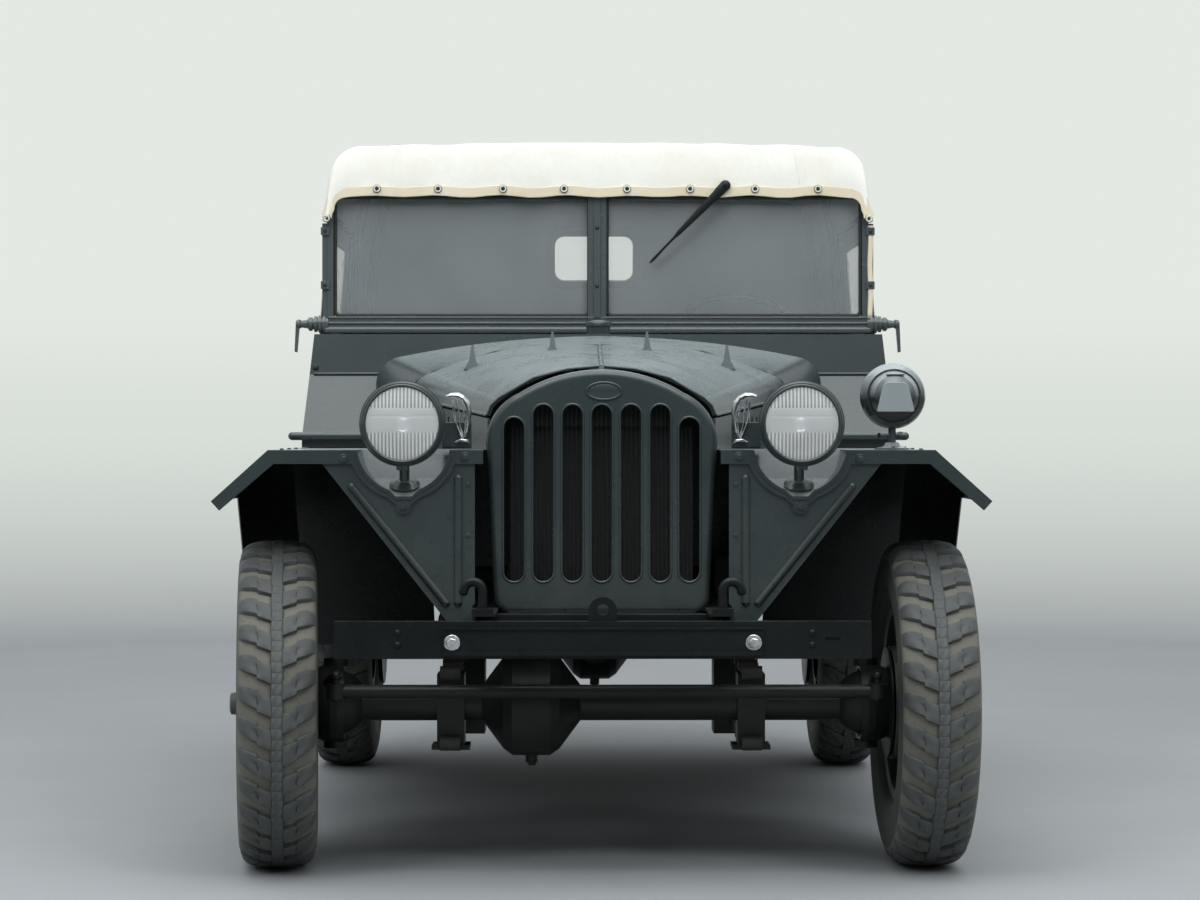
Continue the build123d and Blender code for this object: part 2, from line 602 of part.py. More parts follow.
def wing_sheet(line, inner_x, fold_x, edge_x):
    """A wing of flat plates along a (y, z) line, with its outer flare folded down."""
    drop = (edge_x - fold_x) * math.tan(math.radians(WING_FLARE_DEG))
    edge = offset_line(line, drop)
    under = offset_line(line, SHEET)
    shape = None
    for index in range(len(line) - 1):
        flat = [line[index], line[index + 1], under[index + 1], under[index]]
        a0, a1 = (fold_x, *line[index]), (fold_x, *line[index + 1])
        b0, b1 = (edge_x, *edge[index]), (edge_x, *edge[index + 1])
        c0, c1 = (fold_x, *under[index]), (fold_x, *under[index + 1])
        plate = prism_x(flat, inner_x[index], fold_x + 1)
        outline = make_face(Polyline(a0, a1, b1, b0, close=True)).face()
        direction = (Vector(*c0) - Vector(*a0)).normalized()
        if outline.normal_at().dot(direction) < 0:
            outline = -outline
        plate += extrude(outline, amount=SHEET * 0.8)
        shape = plate if shape is None else shape + plate
    return shape, edge


WING_FOOT_Z = 450.0
WING_RUN = (WING_TOP_Z - WING_FOOT_Z) / math.tan(math.radians(WING_SLOPE_DEG))


RECESS_HALF_WIDTH = 100.0
RECESS_LENGTH = 175.0
NOTCH_Z = 834.0


def recess_face(grow):
    """The round cut in the wing front under the headlamp, with a notch at its lowest place, in X and Z."""
    reach, top = RECESS_HALF_WIDTH + grow, WING_TOP_Z + 40
    right, left = LAMP_X - reach, LAMP_X + reach
    bend, floor, notch = 72 + grow * 0.7, NOTCH_Z + 15 - grow, NOTCH_Z - grow
    lines = Line((right, top), (left, top)) + Line((left, top), (left, WING_TOP_Z))
    lines += ThreePointArc((left, WING_TOP_Z), (LAMP_X + bend, 875 - grow * 0.7), (LAMP_X + 34, floor))
    lines += Polyline((LAMP_X + 34, floor), (LAMP_X + 17, notch), (LAMP_X - 17, notch), (LAMP_X - 34, floor))
    lines += ThreePointArc((LAMP_X - 34, floor), (LAMP_X - bend, 875 - grow * 0.7), (right, WING_TOP_Z))
    lines += Line((right, WING_TOP_Z), (right, top))
    return make_face(lines)


def recess_floor_z(y):
    """Height of the bowl's rising floor at a place near its front."""
    return NOTCH_Z - 2 + (y - WING_FRONT_Y + 3) * 38 / 75


def recess(grow):
    """The bowl under the headlamp: its floor rises from the wing's front edge and fades out behind."""
    y0 = WING_FRONT_Y - 3
    shape = extrude_y(recess_face(grow), y0, y0 + RECESS_LENGTH)
    slope = [(y0 - 1, recess_floor_z(y0 - 1) - grow), (y0 + 78, recess_floor_z(y0 + 78) - grow),
             (y0 + RECESS_LENGTH - 5 + grow, WING_TOP_Z), (y0 + RECESS_LENGTH - 5 + grow, WING_TOP_Z + 45),
             (y0 - 1, WING_TOP_Z + 45)]
    return shape & prism_x(slope, 280, 560)


def front_wing():
    """Left front wing with the bowl for the headlamp pressed into it."""
    t = SHEET
    line = [(WING_FRONT_Y, WING_TOP_Z), (WING_BEND_Y, WING_TOP_Z), (WING_BEND_Y + WING_RUN, WING_FOOT_Z)]
    shape, edge = wing_sheet(line, (500.0, 404.0), WING_FOLD_X, WING_HALF_WIDTH)
    inner = [(257.0, WING_FRONT_Y), (258.0, HOOD_FRONT_Y), (HOOD_REAR["side"][0] + 8, HOOD_REAR_Y),
             (522.0, FRONT_AXLE_Y + 558)]
    wall_x = TUB_HALF_WIDTH - COWL_TAPER - WALL - 2
    top_plan = inner + [(wall_x, FRONT_AXLE_Y + 558), (wall_x, WING_BEND_Y - 1), (WING_FOLD_X, WING_BEND_Y - 1),
                        (WING_FOLD_X, WING_FRONT_Y)]
    shape += prism(Plane.XY, top_plan, WING_TOP_Z - t, WING_TOP_Z)
    lip_outline = [
        (inner[0][0], WING_TOP_Z), (WING_FOLD_X, WING_TOP_Z), (WING_HALF_WIDTH, edge[0][1]),
        (WING_HALF_WIDTH - 18, edge[0][1] - 20), (WING_FOLD_X - 12, WING_TOP_Z - WING_LIP),
        (inner[0][0], WING_TOP_Z - WING_LIP),
    ]
    shape += prism_y(lip_outline, WING_FRONT_Y, WING_FRONT_Y + t)
    below = block((280, 560), (WING_FRONT_Y, WING_FRONT_Y + RECESS_LENGTH + 20), (700, WING_TOP_Z))
    bowl = (recess(t) & below) - recess(0)
    # flange round the bowl, in front of the apron, with its rolled inner edge
    flange = extrude_y(recess_face(18), WING_FRONT_Y - 1, WING_FRONT_Y + t - 0.6)
    flange += extrude_y(recess_face(7), WING_FRONT_Y - 4, WING_FRONT_Y)
    flange += rod((LAMP_X, WING_FRONT_Y - 1, NOTCH_Z - 22), (LAMP_X, WING_FRONT_Y + t - 0.6, NOTCH_Z - 22), 16)
    flange &= block((300, 560), (WING_FRONT_Y - 10, WING_FRONT_Y + 10), (780, WING_TOP_Z))
    flange -= extrude_y(recess_face(0), WING_FRONT_Y - 10, WING_FRONT_Y + 10)
    return (shape - recess(0)) + bowl + flange


def splash_shield():
    """Upright panel between the left wheel arch and the engine, from the apron back to the wing's rear slope."""
    run = [(281, WING_FRONT_Y + 14), (290, HOOD_FRONT_Y), (396, WING_BEND_Y), (425, WING_BEND_Y + 271)]
    shape = prism(Plane.XY, run + [(x + 4, y) for x, y in reversed(run)], 592, WING_TOP_Z - SHEET - 2)
    slope = [(WING_FRONT_Y, 592), (WING_FRONT_Y, WING_TOP_Z), (WING_BEND_Y - 15, WING_TOP_Z),
             (WING_BEND_Y + 271, 593), (WING_BEND_Y + 271, 592)]
    return shape & prism_x(slope, 270, 440)


def apron():
    """The braced triangular panel under the wing's front edge."""
    y0 = WING_FRONT_Y + SHEET
    outline = [(275, WING_TOP_Z - SHEET), (605, WING_TOP_Z - SHEET), (605, 904), (333, 560), (281, 560), (281, 596),
               (275, 602)]
    panel = prism_y(outline, y0, y0 + SHEET)
    for start, end in (((541, 855), (338, 603)), ((311, 873), (311, 604))):
        rib = rod((start[0], y0, start[1]), (end[0], y0, end[1]), 9)
        rib += ball((start[0], y0, start[1]), 9) + ball((end[0], y0, end[1]), 9)
        panel += rib
    return panel - recess(SHEET + 0.5)


# ---------------------------------------------------------------- lamps
def headlamp():
    """Left headlamp shell on its ball foot, hollow behind the lens."""
    centre = (LAMP_X, LAMP_Y, LAMP_Z)
    r = LAMP_RADIUS
    profile = [
        (-9, r - 12), (-9, r - 4), (-4, r), (8, r), (12, r - 6), (40, r - 12), (80, r - 38), (104, 30), (108, 0),
        (104, 0), (100, 28), (76, r - 44), (36, r - 18), (10, r - 12),
    ]
    shell = spun(profile, centre, (0, 1, 0))
    # domed base on the bowl's rising floor, stalk and ball joint
    foot_y = WING_FRONT_Y + 45
    base = (LAMP_X, foot_y, recess_floor_z(foot_y) + 0.4)
    foot = spun([(0, 0), (0, 33), (4, 33), (9, 26), (14, 15), (14, 0)], base, (0, -0.45, 0.89))
    foot += rod((base[0], foot_y - 3, base[2] + 8), (LAMP_X, LAMP_Y + 72, LAMP_Z - 48), 11)
    foot += ball((LAMP_X, LAMP_Y + 76, LAMP_Z - 74), 20)
    return shell + foot


def lens():
    """Domed glass of a headlamp."""
    r = LAMP_RADIUS - 12.5
    profile = [(-9, r), (-14, r * 0.8), (-18, r * 0.4), (-19, 0), (-15, 0), (-14, r * 0.4), (-10, r * 0.78), (-5, r)]
    return spun(profile, (LAMP_X, LAMP_Y, LAMP_Z), (0, 1, 0))


MARKER_X = 648.0
MARKER_Y = FRONT_AXLE_Y - 100.0
MARKER_Z = 1053.0


def marker_lamp():
    """Blackout lamp on the left wing: a bulging shell with a hood over most of its face, on a clamped post."""
    centre = (MARKER_X, MARKER_Y, MARKER_Z)
    r = 73.0
    shape = spun([(-4, 0), (-4, 59), (-1, 62), (4, 62), (10, 69), (24, r), (44, r - 4), (68, r - 20), (88, r - 42),
                  (96, 0)], centre, (0, 1, 0))
    hood = spun([(-2, 56), (-20, 53), (-32, 45), (-38, 30), (-40, 0), (-37, 0), (-35, 28), (-29, 42), (-18, 50),
                 (-2, 53)], centre, (0, 1, 0))
    shape += hood & block((MARKER_X - 90, MARKER_X + 90), (MARKER_Y - 60, MARKER_Y + 1),
                          (MARKER_Z - 36, MARKER_Z + 90))
    post_y = MARKER_Y + 34
    shape += rod((MARKER_X, post_y, WING_TOP_Z + 3), (MARKER_X, post_y, MARKER_Z - r + 6), 8.5)
    shape += rod((MARKER_X - 28, post_y, 965), (MARKER_X + 22, post_y, 965), 4.5)
    shape += rod((MARKER_X + 14, post_y, 965), (MARKER_X + 22, post_y, 965), 9)
    return shape + spun([(0, 0), (0, 39), (3, 39), (7, 20), (16, 14), (16, 0)], (MARKER_X, post_y, WING_TOP_Z),
                        (0, 0, 1))


def tail_lamp():
    x, y, z = TUB_HALF_WIDTH - 130, BACK_Y, 770.0
    return rod((x, y, z), (x, y + 42, z), 38) + block((x - 20, x + 20), (y, y + 10), (z - 60, z))


# ---------------------------------------------------------------- hood sides, cowl fittings
def hood_side():
    """Left hood side with its row of louvre openings."""
    (front_x, front_z), (rear_x, rear_z) = HOOD_FRONT["side"], HOOD_REAR["side"]
    y0, y1 = HOOD_FRONT_Y, HOOD_REAR_Y - 3
    side = upright_panel((front_x, y0, front_z - GAP), (rear_x, y1, rear_z - GAP))
    count, pitch = 9, 36.0
    for number in range(count):
        y = y0 + 232 + number * pitch
        side -= block((200, 480), (y, y + 12), (WING_TOP_Z + 20, WING_TOP_Z + 74))
    return side


# ---------------------------------------------------------------- body
def side_section(shrink=0.0):
    """Cross-section of the left body side wall in X and Z, brought in by an amount."""
    outer = [(TUB_HALF_WIDTH, SILL_Z), (TUB_HALF_WIDTH, WAIST_Z), (SHOULDER_HALF_WIDTH, SHOULDER_Z),
             (SCUTTLE_HALF_WIDTH, SCUTTLE_Z)]
    outer = [(x - shrink, z) for x, z in outer]
    inner = [(x - WALL, z) for x, z in reversed(outer)]
    return outer + inner


def body_side():
    arch_front, arch_rear = REAR_AXLE_Y - 420, REAR_AXLE_Y + 430
    front, rear = DOOR_FRONT_Y - GAP, DOOR_REAR_Y + GAP
    sill = 560.0 - GAP
    profile = [
        (WING_BEND_Y, WING_TOP_Z), (COWL_FACE_Y, WING_TOP_Z + 2), (COWL_FACE_Y, WAIST_Z),
        (FRONT_AXLE_Y + 672, SHOULDER_Z), (FRONT_AXLE_Y + 690, SCUTTLE_Z), (front, SCUTTLE_Z),
        (front, sill + 110), (front + 90, sill), (rear - 90, sill), (rear, sill + 110), (rear, TUB_EDGE_Z),
        (BACK_Y, TUB_EDGE_Z), (BACK_Y, 560), (arch_rear, 560), (arch_rear, WHEELHOUSE_Z),
        (arch_front + 120, WHEELHOUSE_Z), (arch_front, WHEELHOUSE_Z - 130), (arch_front, SILL_Z),
        (WING_BEND_Y + WING_RUN, SILL_Z), (WING_BEND_Y + WING_RUN, WING_FOOT_Z),
    ]
    shape = prism_y(side_section(), TAPER_Y, BACK_Y + 10) + narrowing_front(side_section)
    shape &= prism_x(profile, 600, 800)
    # hinge lugs on the front door post
    for z in DOOR_HINGE_Z:
        lug = block((TUB_HALF_WIDTH - 4, HINGE_X + 8), (HINGE_Y - 8, HINGE_Y + 8), (z - 20, z - 6.2))
        shape += lug
    return shape


WHEELHOUSE_Z = 815.0
WHEELHOUSE_X = 600.0
DOOR_HINGE_Z = (720.0, 900.0)
HINGE_X = TUB_HALF_WIDTH + 14
HINGE_Y = DOOR_FRONT_Y - 27
FLOOR_TOP_Z = RAIL_BOTTOM + RAIL_HEIGHT + FLOOR_THICKNESS


def floor_pan():
    """Floor on the frame, with the cover over the gearbox and the toe board."""
    low, high = RAIL_BOTTOM + RAIL_HEIGHT, FLOOR_TOP_Z
    inside = TUB_HALF_WIDTH - WALL
    start = BULKHEAD_Y + 12
    shape = block((-inside, inside), (start, TAPER_Y), (low, high)) & narrowing_front(hull_section)
    shape += block((-inside, inside), (TAPER_Y, REAR_AXLE_Y - 420), (low, high))
    shape += block((-WHEELHOUSE_X, WHEELHOUSE_X), (REAR_AXLE_Y - 420, BACK_Y - WALL), (low, high))
    shape += block((-122, 122), (start, FRONT_AXLE_Y + 880), (low, 748))
    shape -= block((-112, 112), (start - 1, FRONT_AXLE_Y + 870), (low - 1, 738))
    for side in (1, -1):
        edge = sorted((side * (inside - 9), side * (inside + 1)))
        shape -= block(edge, (DOOR_FRONT_Y - GAP, DOOR_REAR_Y + GAP), (low - 1, high + 1))
    return shape


def wheelhouse():
    """Left inner wheel arch, the box beside the rear seat."""
    inside = TUB_HALF_WIDTH - WALL
    y0, y1 = REAR_AXLE_Y - 420, BACK_Y - WALL
    shape = block((WHEELHOUSE_X, inside), (y0, y1), (FLOOR_TOP_Z - FLOOR_THICKNESS, WHEELHOUSE_Z + SHEET))
    shape -= block((WHEELHOUSE_X + SHEET, inside + 1), (y0 + SHEET, REAR_AXLE_Y + 430), (500, WHEELHOUSE_Z))
    shape -= block((WHEELHOUSE_X + SHEET, inside - 1), (REAR_AXLE_Y + 436, y1 - SHEET), (595, WHEELHOUSE_Z))
    return shape


def rear_panel():
    """Back wall of the body with a pressed stiffening field."""
    inside = TUB_HALF_WIDTH - WALL
    low = RAIL_BOTTOM + RAIL_HEIGHT
    edge = inside - (TUB_HALF_WIDTH - SHOULDER_HALF_WIDTH) * (TUB_EDGE_Z - WAIST_Z) / (SHOULDER_Z - WAIST_Z) - 0.2
    outline = [(-inside, low), (-inside, WAIST_Z), (-edge, TUB_EDGE_Z), (edge, TUB_EDGE_Z), (inside, WAIST_Z),
               (inside, low)]
    shape = prism_y(outline, BACK_Y - WALL, BACK_Y)
    for x0, x1 in ((-660, -330), (330, 660)):
        field = block((x0, x1), (BACK_Y - 5, BACK_Y + 1), (640, 700))
        shape -= field
        field = block((x0, x1), (BACK_Y - 5, BACK_Y + 1), (850, 960))
        shape -= field
    return shape


def rear_wing():
    """Left rear wing outside the body."""
    top = 846.0
    line = [(REAR_AXLE_Y - 452, WING_FOOT_Z), (REAR_AXLE_Y - 300, top), (REAR_AXLE_Y + 400, top),
            (REAR_AXLE_Y + 470, 640)]
    shape, _ = wing_sheet(line, (TUB_HALF_WIDTH,) * 3, 796.0, WING_HALF_WIDTH)
    return shape


def running_board():
    y0, y1 = WING_BEND_Y + WING_RUN, REAR_AXLE_Y - 456
    board = block((TUB_HALF_WIDTH, WING_HALF_WIDTH - 2), (y0, y1), (WING_FOOT_Z - 12, WING_FOOT_Z - 6))
    board += block((WING_HALF_WIDTH - 8, WING_HALF_WIDTH - 2), (y0, y1), (WING_FOOT_Z - 34, WING_FOOT_Z - 6))
    for y in (y0 + 120, y1 - 160):
        board += block((TUB_HALF_WIDTH, WING_HALF_WIDTH - 8), (y, y + 6), (WING_FOOT_Z - 34, WING_FOOT_Z - 12))
    return board


def door_side_points(reach):
    """Left door panel in X and Z, leaning in from the waist to the roof; reach is its thickness."""
    outer = [(737, 560), (737, 955), (721, 1112), (710, 1215), (688, 1530)]
    inner = [(x - reach, z) for x, z in reversed(outer)]
    return outer + inner


def door_profile(inset):
    """Door outline in Y and Z, brought in by an amount all round."""
    front, rear, low, high = DOOR_FRONT_Y, DOOR_REAR_Y, 560.0, 1530.0
    i = inset
    return [
        (front - 60 + i, 1232 + i), (front - 60 + i, high - i), (rear - i, high - i), (rear - i, low + 110 + i * 0.4),
        (rear - 90 - i * 0.4, low + i), (front + 90 + i * 0.4, low + i), (front + i, low + 110 + i * 0.4),
        (front + i, 1232 + i),
    ]


WINDOW = dict(y0=DOOR_FRONT_Y + 50, y1=DOOR_REAR_Y - 90, z0=1260.0, z1=1470.0)


def door():
    """Left door: canvas over a tube frame, with a window opening and hinge straps."""
    y0, y1 = DOOR_FRONT_Y - 70, DOOR_REAR_Y + 10
    ring = prism_y(door_side_points(14), y0, y1) & (prism_x(door_profile(0), 600, 800)
                                                    - prism_x(door_profile(16), 599, 801))
    skin = prism_y(door_side_points(4), y0, y1) & prism_x(door_profile(8), 600, 800)
    waist = prism_y(door_side_points(14), y0, y1) & prism_x(
        [(DOOR_FRONT_Y, 1215), (DOOR_FRONT_Y, 1231), (DOOR_REAR_Y, 1231), (DOOR_REAR_Y, 1215)], 600, 800)
    opening = prism_x([(WINDOW["y0"], WINDOW["z0"]), (WINDOW["y1"], WINDOW["z0"]),
                       (WINDOW["y1"], WINDOW["z1"]), (WINDOW["y0"], WINDOW["z1"])], 600, 800)
    shape = ring + (skin - opening) + waist
    for z in DOOR_HINGE_Z:
        shape += block((730, TUB_HALF_WIDTH + 6), (DOOR_FRONT_Y + 1, DOOR_FRONT_Y + 60), (z - 5, z + 15))
        shape += block((TUB_HALF_WIDTH + 6, HINGE_X + 6), (HINGE_Y, DOOR_FRONT_Y + 60), (z - 5, z + 15))
        shape += rod((HINGE_X, HINGE_Y, z - 5), (HINGE_X, HINGE_Y, z + 15), 8)
    return shape


def door_window():
    y0, y1 = DOOR_FRONT_Y - 70, DOOR_REAR_Y + 10
    w = WINDOW
    pane = prism_x([(w["y0"] - 8, w["z0"] - 8), (w["y1"] + 8, w["z0"] - 8), (w["y1"] + 8, w["z1"] + 8),
                    (w["y0"] - 8, w["z1"] + 8)], 600, 800)
    outer = prism_y([(x - 4.2, z) for x, z in door_side_points(2)], y0, y1)
    return outer & pane


# ---------------------------------------------------------------- windscreen and top
def screen_panes():
    bar, half = SCREEN_BAR, SCREEN_HALF_WIDTH
    return [sorted((side * bar * 0.8, side * (half - 16))) for side in (1, -1)]


def windscreen_frame():
    y = (SCREEN_Y, SCREEN_Y + SCREEN_DEPTH)
    half = SCREEN_HALF_WIDTH
    shape = block((-half, half), y, (SCREEN_BOTTOM_Z, SCREEN_TOP_Z))
    glass_z = (SCREEN_BOTTOM_Z + 38, SCREEN_TOP_Z - 30)
    for x in screen_panes():
        shape -= block(x, (y[0] - 1, y[1] + 1), glass_z)
    corner = block((-800, 800), (y[0] - 1, y[1] + 1), (1480, SCREEN_TOP_Z + 10))
    shape -= corner - extrude_y(roof_face(CANVAS + 2), y[0] - 2, y[1] + 2)
    # hinge tube along the foot, and on each side a clamp of stacked rings with its hanging lever
    z = SCREEN_BOTTOM_Z + 20
    shape += rod((-half - 6, y[0] + 4, SCREEN_BOTTOM_Z + 5), (half + 6, y[0] + 4, SCREEN_BOTTOM_Z + 5), 9)
    rings = [(-3, 0), (-3, 20), (4, 20), (4, 23.5), (11, 23.5), (11, 18), (15, 18), (15, 22.5), (22, 22.5),
             (22, 17), (26, 17), (26, 20.5), (33, 20.5), (33, 14), (38, 14), (38, 17.5), (46, 17.5), (51, 11),
             (66, 9), (70, 12), (77, 11), (80, 7), (80, 0)]
    for side in (1, -1):
        shape += spun(rings, (side * half, y[0] + 14, z), (side, 0, 0))
        lever = [(half + 70, z), (half + 80, z), (half + 83, z - 70), (half + 76, z - 72)]
        shape += prism_y([(side * x, height) for x, height in lever], y[0] + 7, y[0] + 20)
    return shape


def windscreen_glass():
    y = (SCREEN_Y + 14, SCREEN_Y + 20)
    z = (SCREEN_BOTTOM_Z + 38, SCREEN_TOP_Z - 30)
    return [block(x, y, z) for x in screen_panes()]


ROOF_FRONT_Y = SCREEN_Y - 14
ROOF_BOW_Y = REAR_AXLE_Y + 250
FLAP_Z = 1540.0
HEM_Z = 1566.0


def roof_face(inset):
    """Cross-section of the canvas top in X and Z."""
    i = inset
    top = ROOF_Z - i
    points = [(738 - i, TUB_EDGE_Z + 3), (ROOF_HALF_WIDTH - i, 1503), (678 - i, 1620 - i * 0.3), (662 - i, 1668 - i * 0.7),
              (628 - i * 0.6, top - 12)]
    left = [(-x, z) for x, z in reversed(points)]
    lines = Polyline(*points) + ThreePointArc(points[-1], (0, top), left[0]) + Polyline(*left)
    lines += Line(left[-1], points[0])
    return make_face(lines)


def roof_side_profile(inset):
    """Side view of the canvas top in Y and Z."""
    i = inset
    top = ROOF_Z + 5
    return [(ROOF_FRONT_Y + i, top), (ROOF_BOW_Y - i, top), (ROOF_BOW_Y + 60 - i, 1620),
            (BACK_Y - 12 - i, TUB_EDGE_Z + 3), (ROOF_FRONT_Y + i, TUB_EDGE_Z + 3)]


def rear_window_frame():
    """Plane of the back curtain, x across the car and y up the slope, at the window's middle."""
    run, rise = BACK_Y - 12 - (ROOF_BOW_Y + 60), 1620 - (TUB_EDGE_Z + 3)
    part = (1503 - (TUB_EDGE_Z + 3)) / rise
    y = BACK_Y - 12 - run * part
    normal = Vector(0, rise, run).normalized()
    return Plane(origin=(0, y, 1503), x_dir=(-1, 0, 0), z_dir=normal)


def soft_top():
    """Canvas roof, rear quarters and back curtain, open at the windscreen and the doors."""
    front, back = ROOF_FRONT_Y - 10, BACK_Y + 10
    outer = extrude_y(roof_face(0), front, back) & prism_x(roof_side_profile(0), -800, 800)
    inner = extrude_y(roof_face(CANVAS), front, back) & prism_x(roof_side_profile(CANVAS), -800, 800)
    shape = outer - inner
    shape -= block((-800, 800), (ROOF_FRONT_Y + 36, DOOR_REAR_Y + GAP), (900, FLAP_Z))
    shape -= block((-800, 800), (ROOF_FRONT_Y - 20, ROOF_FRONT_Y + 37), (900, 1500))
    opening = [(-690, 1400), (690, 1400), (690, 1504), (664, 1530), (620, HEM_Z), (-620, HEM_Z),
               (-664, 1530), (-690, 1504)]
    shape -= prism_y([(x * 0.985, z) for x, z in opening], ROOF_FRONT_Y - 20, ROOF_FRONT_Y + 20)
    window = rear_window_frame() * RectangleRounded(240, 140, 30)
    shape -= extrude(window, amount=20, both=True)
    return shape


def rear_window():
    plane = rear_window_frame().offset(-CANVAS / 2 - 1)
    return extrude(plane * RectangleRounded(239, 139, 29.5), amount=2)


def top_bows():
    """The two hoops that carry the canvas, standing on the body sides."""
    shapes = []
    for y in (DOOR_REAR_Y + 30, ROOF_BOW_Y - 20):
        points = [(696, y, TUB_EDGE_Z + 12), (ROOF_HALF_WIDTH - 30, y, 1503), (636, y, 1650), (600, y, ROOF_Z - 38),
                  (300, y, ROOF_Z - 29), (0, y, ROOF_Z - 26)]
        points += [(-x, y, z) for x, y, z in reversed(points[:-1])]
        shapes.append(bent_rod(points, 12))
    return shapes


# ---------------------------------------------------------------- inside
SEAT_X = 352.0


def front_seat_frame(side):
    x0, x1 = side * SEAT_X - 205, side * SEAT_X + 205
    y0, y1 = DOOR_FRONT_Y + 290, DOOR_FRONT_Y + 730
    z = 760.0
    pan = block((x0, x1), (y0, y1), (z - 12, z))
    back = block((x0, x1), (y1 - 6, y1 + 6), (z - 12, 1190))
    legs = None
    for x in (x0 + 12, x1 - 12):
        for y in (y0 + 16, y1 - 16):
            leg = rod((x, y, FLOOR_TOP_Z), (x, y, z - 10), 11)
            legs = leg if legs is None else legs + leg
    return pan + back + legs


def cushion(x, y, z, edge=22.0):
    shape = block(x, y, z)
    return fillet(shape.edges(), edge)


def front_seat_cushions():
    shapes = []
    for side in (1, -1):
        x = (side * SEAT_X - 200, side * SEAT_X + 200)
        y0, y1 = DOOR_FRONT_Y + 290, DOOR_FRONT_Y + 730
        shapes.append(cushion(x, (y0 - 4, y1 - 84), (760, 850)))
        shapes.append(cushion(x, (y1 - 82, y1 - 6), (764, 1186)))
    return shapes


REAR_SEAT_Y = REAR_AXLE_Y - 10.0


def rear_seat_frame():
    half = WHEELHOUSE_X - 20
    y0, y1 = REAR_SEAT_Y - 40, REAR_SEAT_Y + 400
    shape = block((-half, half), (y0, y1), (740, 752))
    shape += block((-half, half), (y0, y0 + 12), (FLOOR_TOP_Z, 752))
    shape += block((-half, half), (y1 - 12, y1), (FLOOR_TOP_Z, 1180))
    return shape


def rear_seat_cushions():
    half = WHEELHOUSE_X - 26
    y0, y1 = REAR_SEAT_Y - 40, REAR_SEAT_Y + 400
    return [cushion((-half, half), (y0 - 6, y1 - 96), (752, 850)),
            cushion((-half, half), (y1 - 94, y1 - 12), (756, 1176))]


def dashboard():
    half = SCUTTLE_HALF_WIDTH - WALL - 2
    y = SCREEN_Y + 44
    shape = block((-half, half), (y, y + 6), (1056, SCUTTLE_Z))
    shape += block((-half, half), (SCREEN_Y + 30, y), (SCUTTLE_Z - 10, SCUTTLE_Z))
    for x, r in ((0, 46), (-95, 28), (95, 28), (-165, 24), (165, 24)):
        shape += rod((x, y + 5, 1140), (x, y + 14, 1140), r)
    shape += block((-600, -330), (y + 5, y + 9), (1075, 1175))
    return shape


COLUMN_DEG = 35.0
STEERING_X = SEAT_X + 8
STEERING_CENTRE = (STEERING_X, SCREEN_Y + 350, 1154.0)
STEERING_RADIUS = 207.0


def along_column(distance):
    """A point on the steering column, a distance ahead of the wheel's centre."""
    angle = math.radians(COLUMN_DEG)
    x, y, z = STEERING_CENTRE
    return (x, y - distance * math.cos(angle), z - distance * math.sin(angle))


def steering_column():
    shape = rod(along_column(44), along_column(900), 20)
    shape += rod(along_column(4), along_column(60), 10)
    x, y, z = along_column(900)
    shape += block((RAIL_X + RAIL_WIDTH / 2 + 2, x + 40), (y - 50, y + 60), (RAIL_BOTTOM + RAIL_HEIGHT, z + 36))
    return shape


def steering_wheel():
    angle = math.radians(COLUMN_DEG)
    axis = (0, math.cos(angle), math.sin(angle))
    plane = Plane(origin=STEERING_CENTRE, x_dir=(1, 0, 0), z_dir=axis)
    shape = plane * Torus(STEERING_RADIUS, 10)
    hub_start, hub_end = along_column(36), along_column(-14)
    shape += rod(hub_start, hub_end, 28)
    for number in range(4):
        turn = math.radians(45 + 90 * number)
        local = (math.cos(turn) * STEERING_RADIUS, math.sin(turn) * STEERING_RADIUS, 0)
        inner = plane.from_local_coords((local[0] * 0.08, local[1] * 0.08, -12))
        outer = plane.from_local_coords(local)
        shape += rod(inner, outer, 6)
    shape -= rod(along_column(37), along_column(2), 10 + RUNNING_FIT)
    return shape


def control_levers():
    """Gear and transfer levers, hand brake and the three pedals."""
    top = 752.0
    y = FRONT_AXLE_Y + 820
    gear = bent_rod([(0, y, top), (0, y + 40, top + 90), (20, y + 150, 990)], 7) + ball((20, y + 150, 1000), 20)
    low = rod((-60, y, top), (-75, y + 90, 900), 6) + ball((-75, y + 92, 905), 14)
    brake = rod((70, y, top), (85, y + 60, 930), 8)
    shapes = [gear, low, brake]
    for x in (SEAT_X - 110, SEAT_X - 20, SEAT_X + 90):
        pedal = rod((x, BULKHEAD_Y + 16, 730), (x, BULKHEAD_Y + 90, 690), 7)
        pedal += Pos(x, BULKHEAD_Y + 92, 690) * (Rot(35, 0, 0) * Box(48, 10, 70))
        shapes.append(pedal)
    return shapes


# ---------------------------------------------------------------- wheels
def tyre(centre, heading):
    """A tyre as a solid of revolution: tread, shoulders, bulging sidewalls and beads."""
    r, half = TYRE_RADIUS, TYRE_WIDTH / 2
    profile = [
        (-56.8, RIM_RADIUS), (-59.5, RIM_RADIUS + 14.5), (-78, RIM_RADIUS + 30), (-half, RIM_RADIUS + 78),
        (-half + 2, r - 48), (-half + 9, r - 22), (-half + 24, r - 8), (-34, r - 1), (0, r), (34, r - 1),
        (half - 24, r - 8), (half - 9, r - 22), (half - 2, r - 48), (half, RIM_RADIUS + 78),
        (78, RIM_RADIUS + 30), (59.5, RIM_RADIUS + 14.5), (56.8, RIM_RADIUS),
        (52, RIM_RADIUS), (52, RIM_RADIUS + 20), (half - 14, RIM_RADIUS + 80), (half - 22, r - 34),
        (0, r - 22), (-half + 22, r - 34), (-half + 14, RIM_RADIUS + 80), (-52, RIM_RADIUS + 20), (-52, RIM_RADIUS),
    ]
    return placed(spun(profile, (0, 0, 0), (1, 0, 0)), centre, heading)


def placed(shape, centre, heading):
    """A wheel piece modelled about +X, turned to its heading about +Z and moved to its centre."""
    return Pos(*centre) * (Rot(0, 0, heading) * shape)


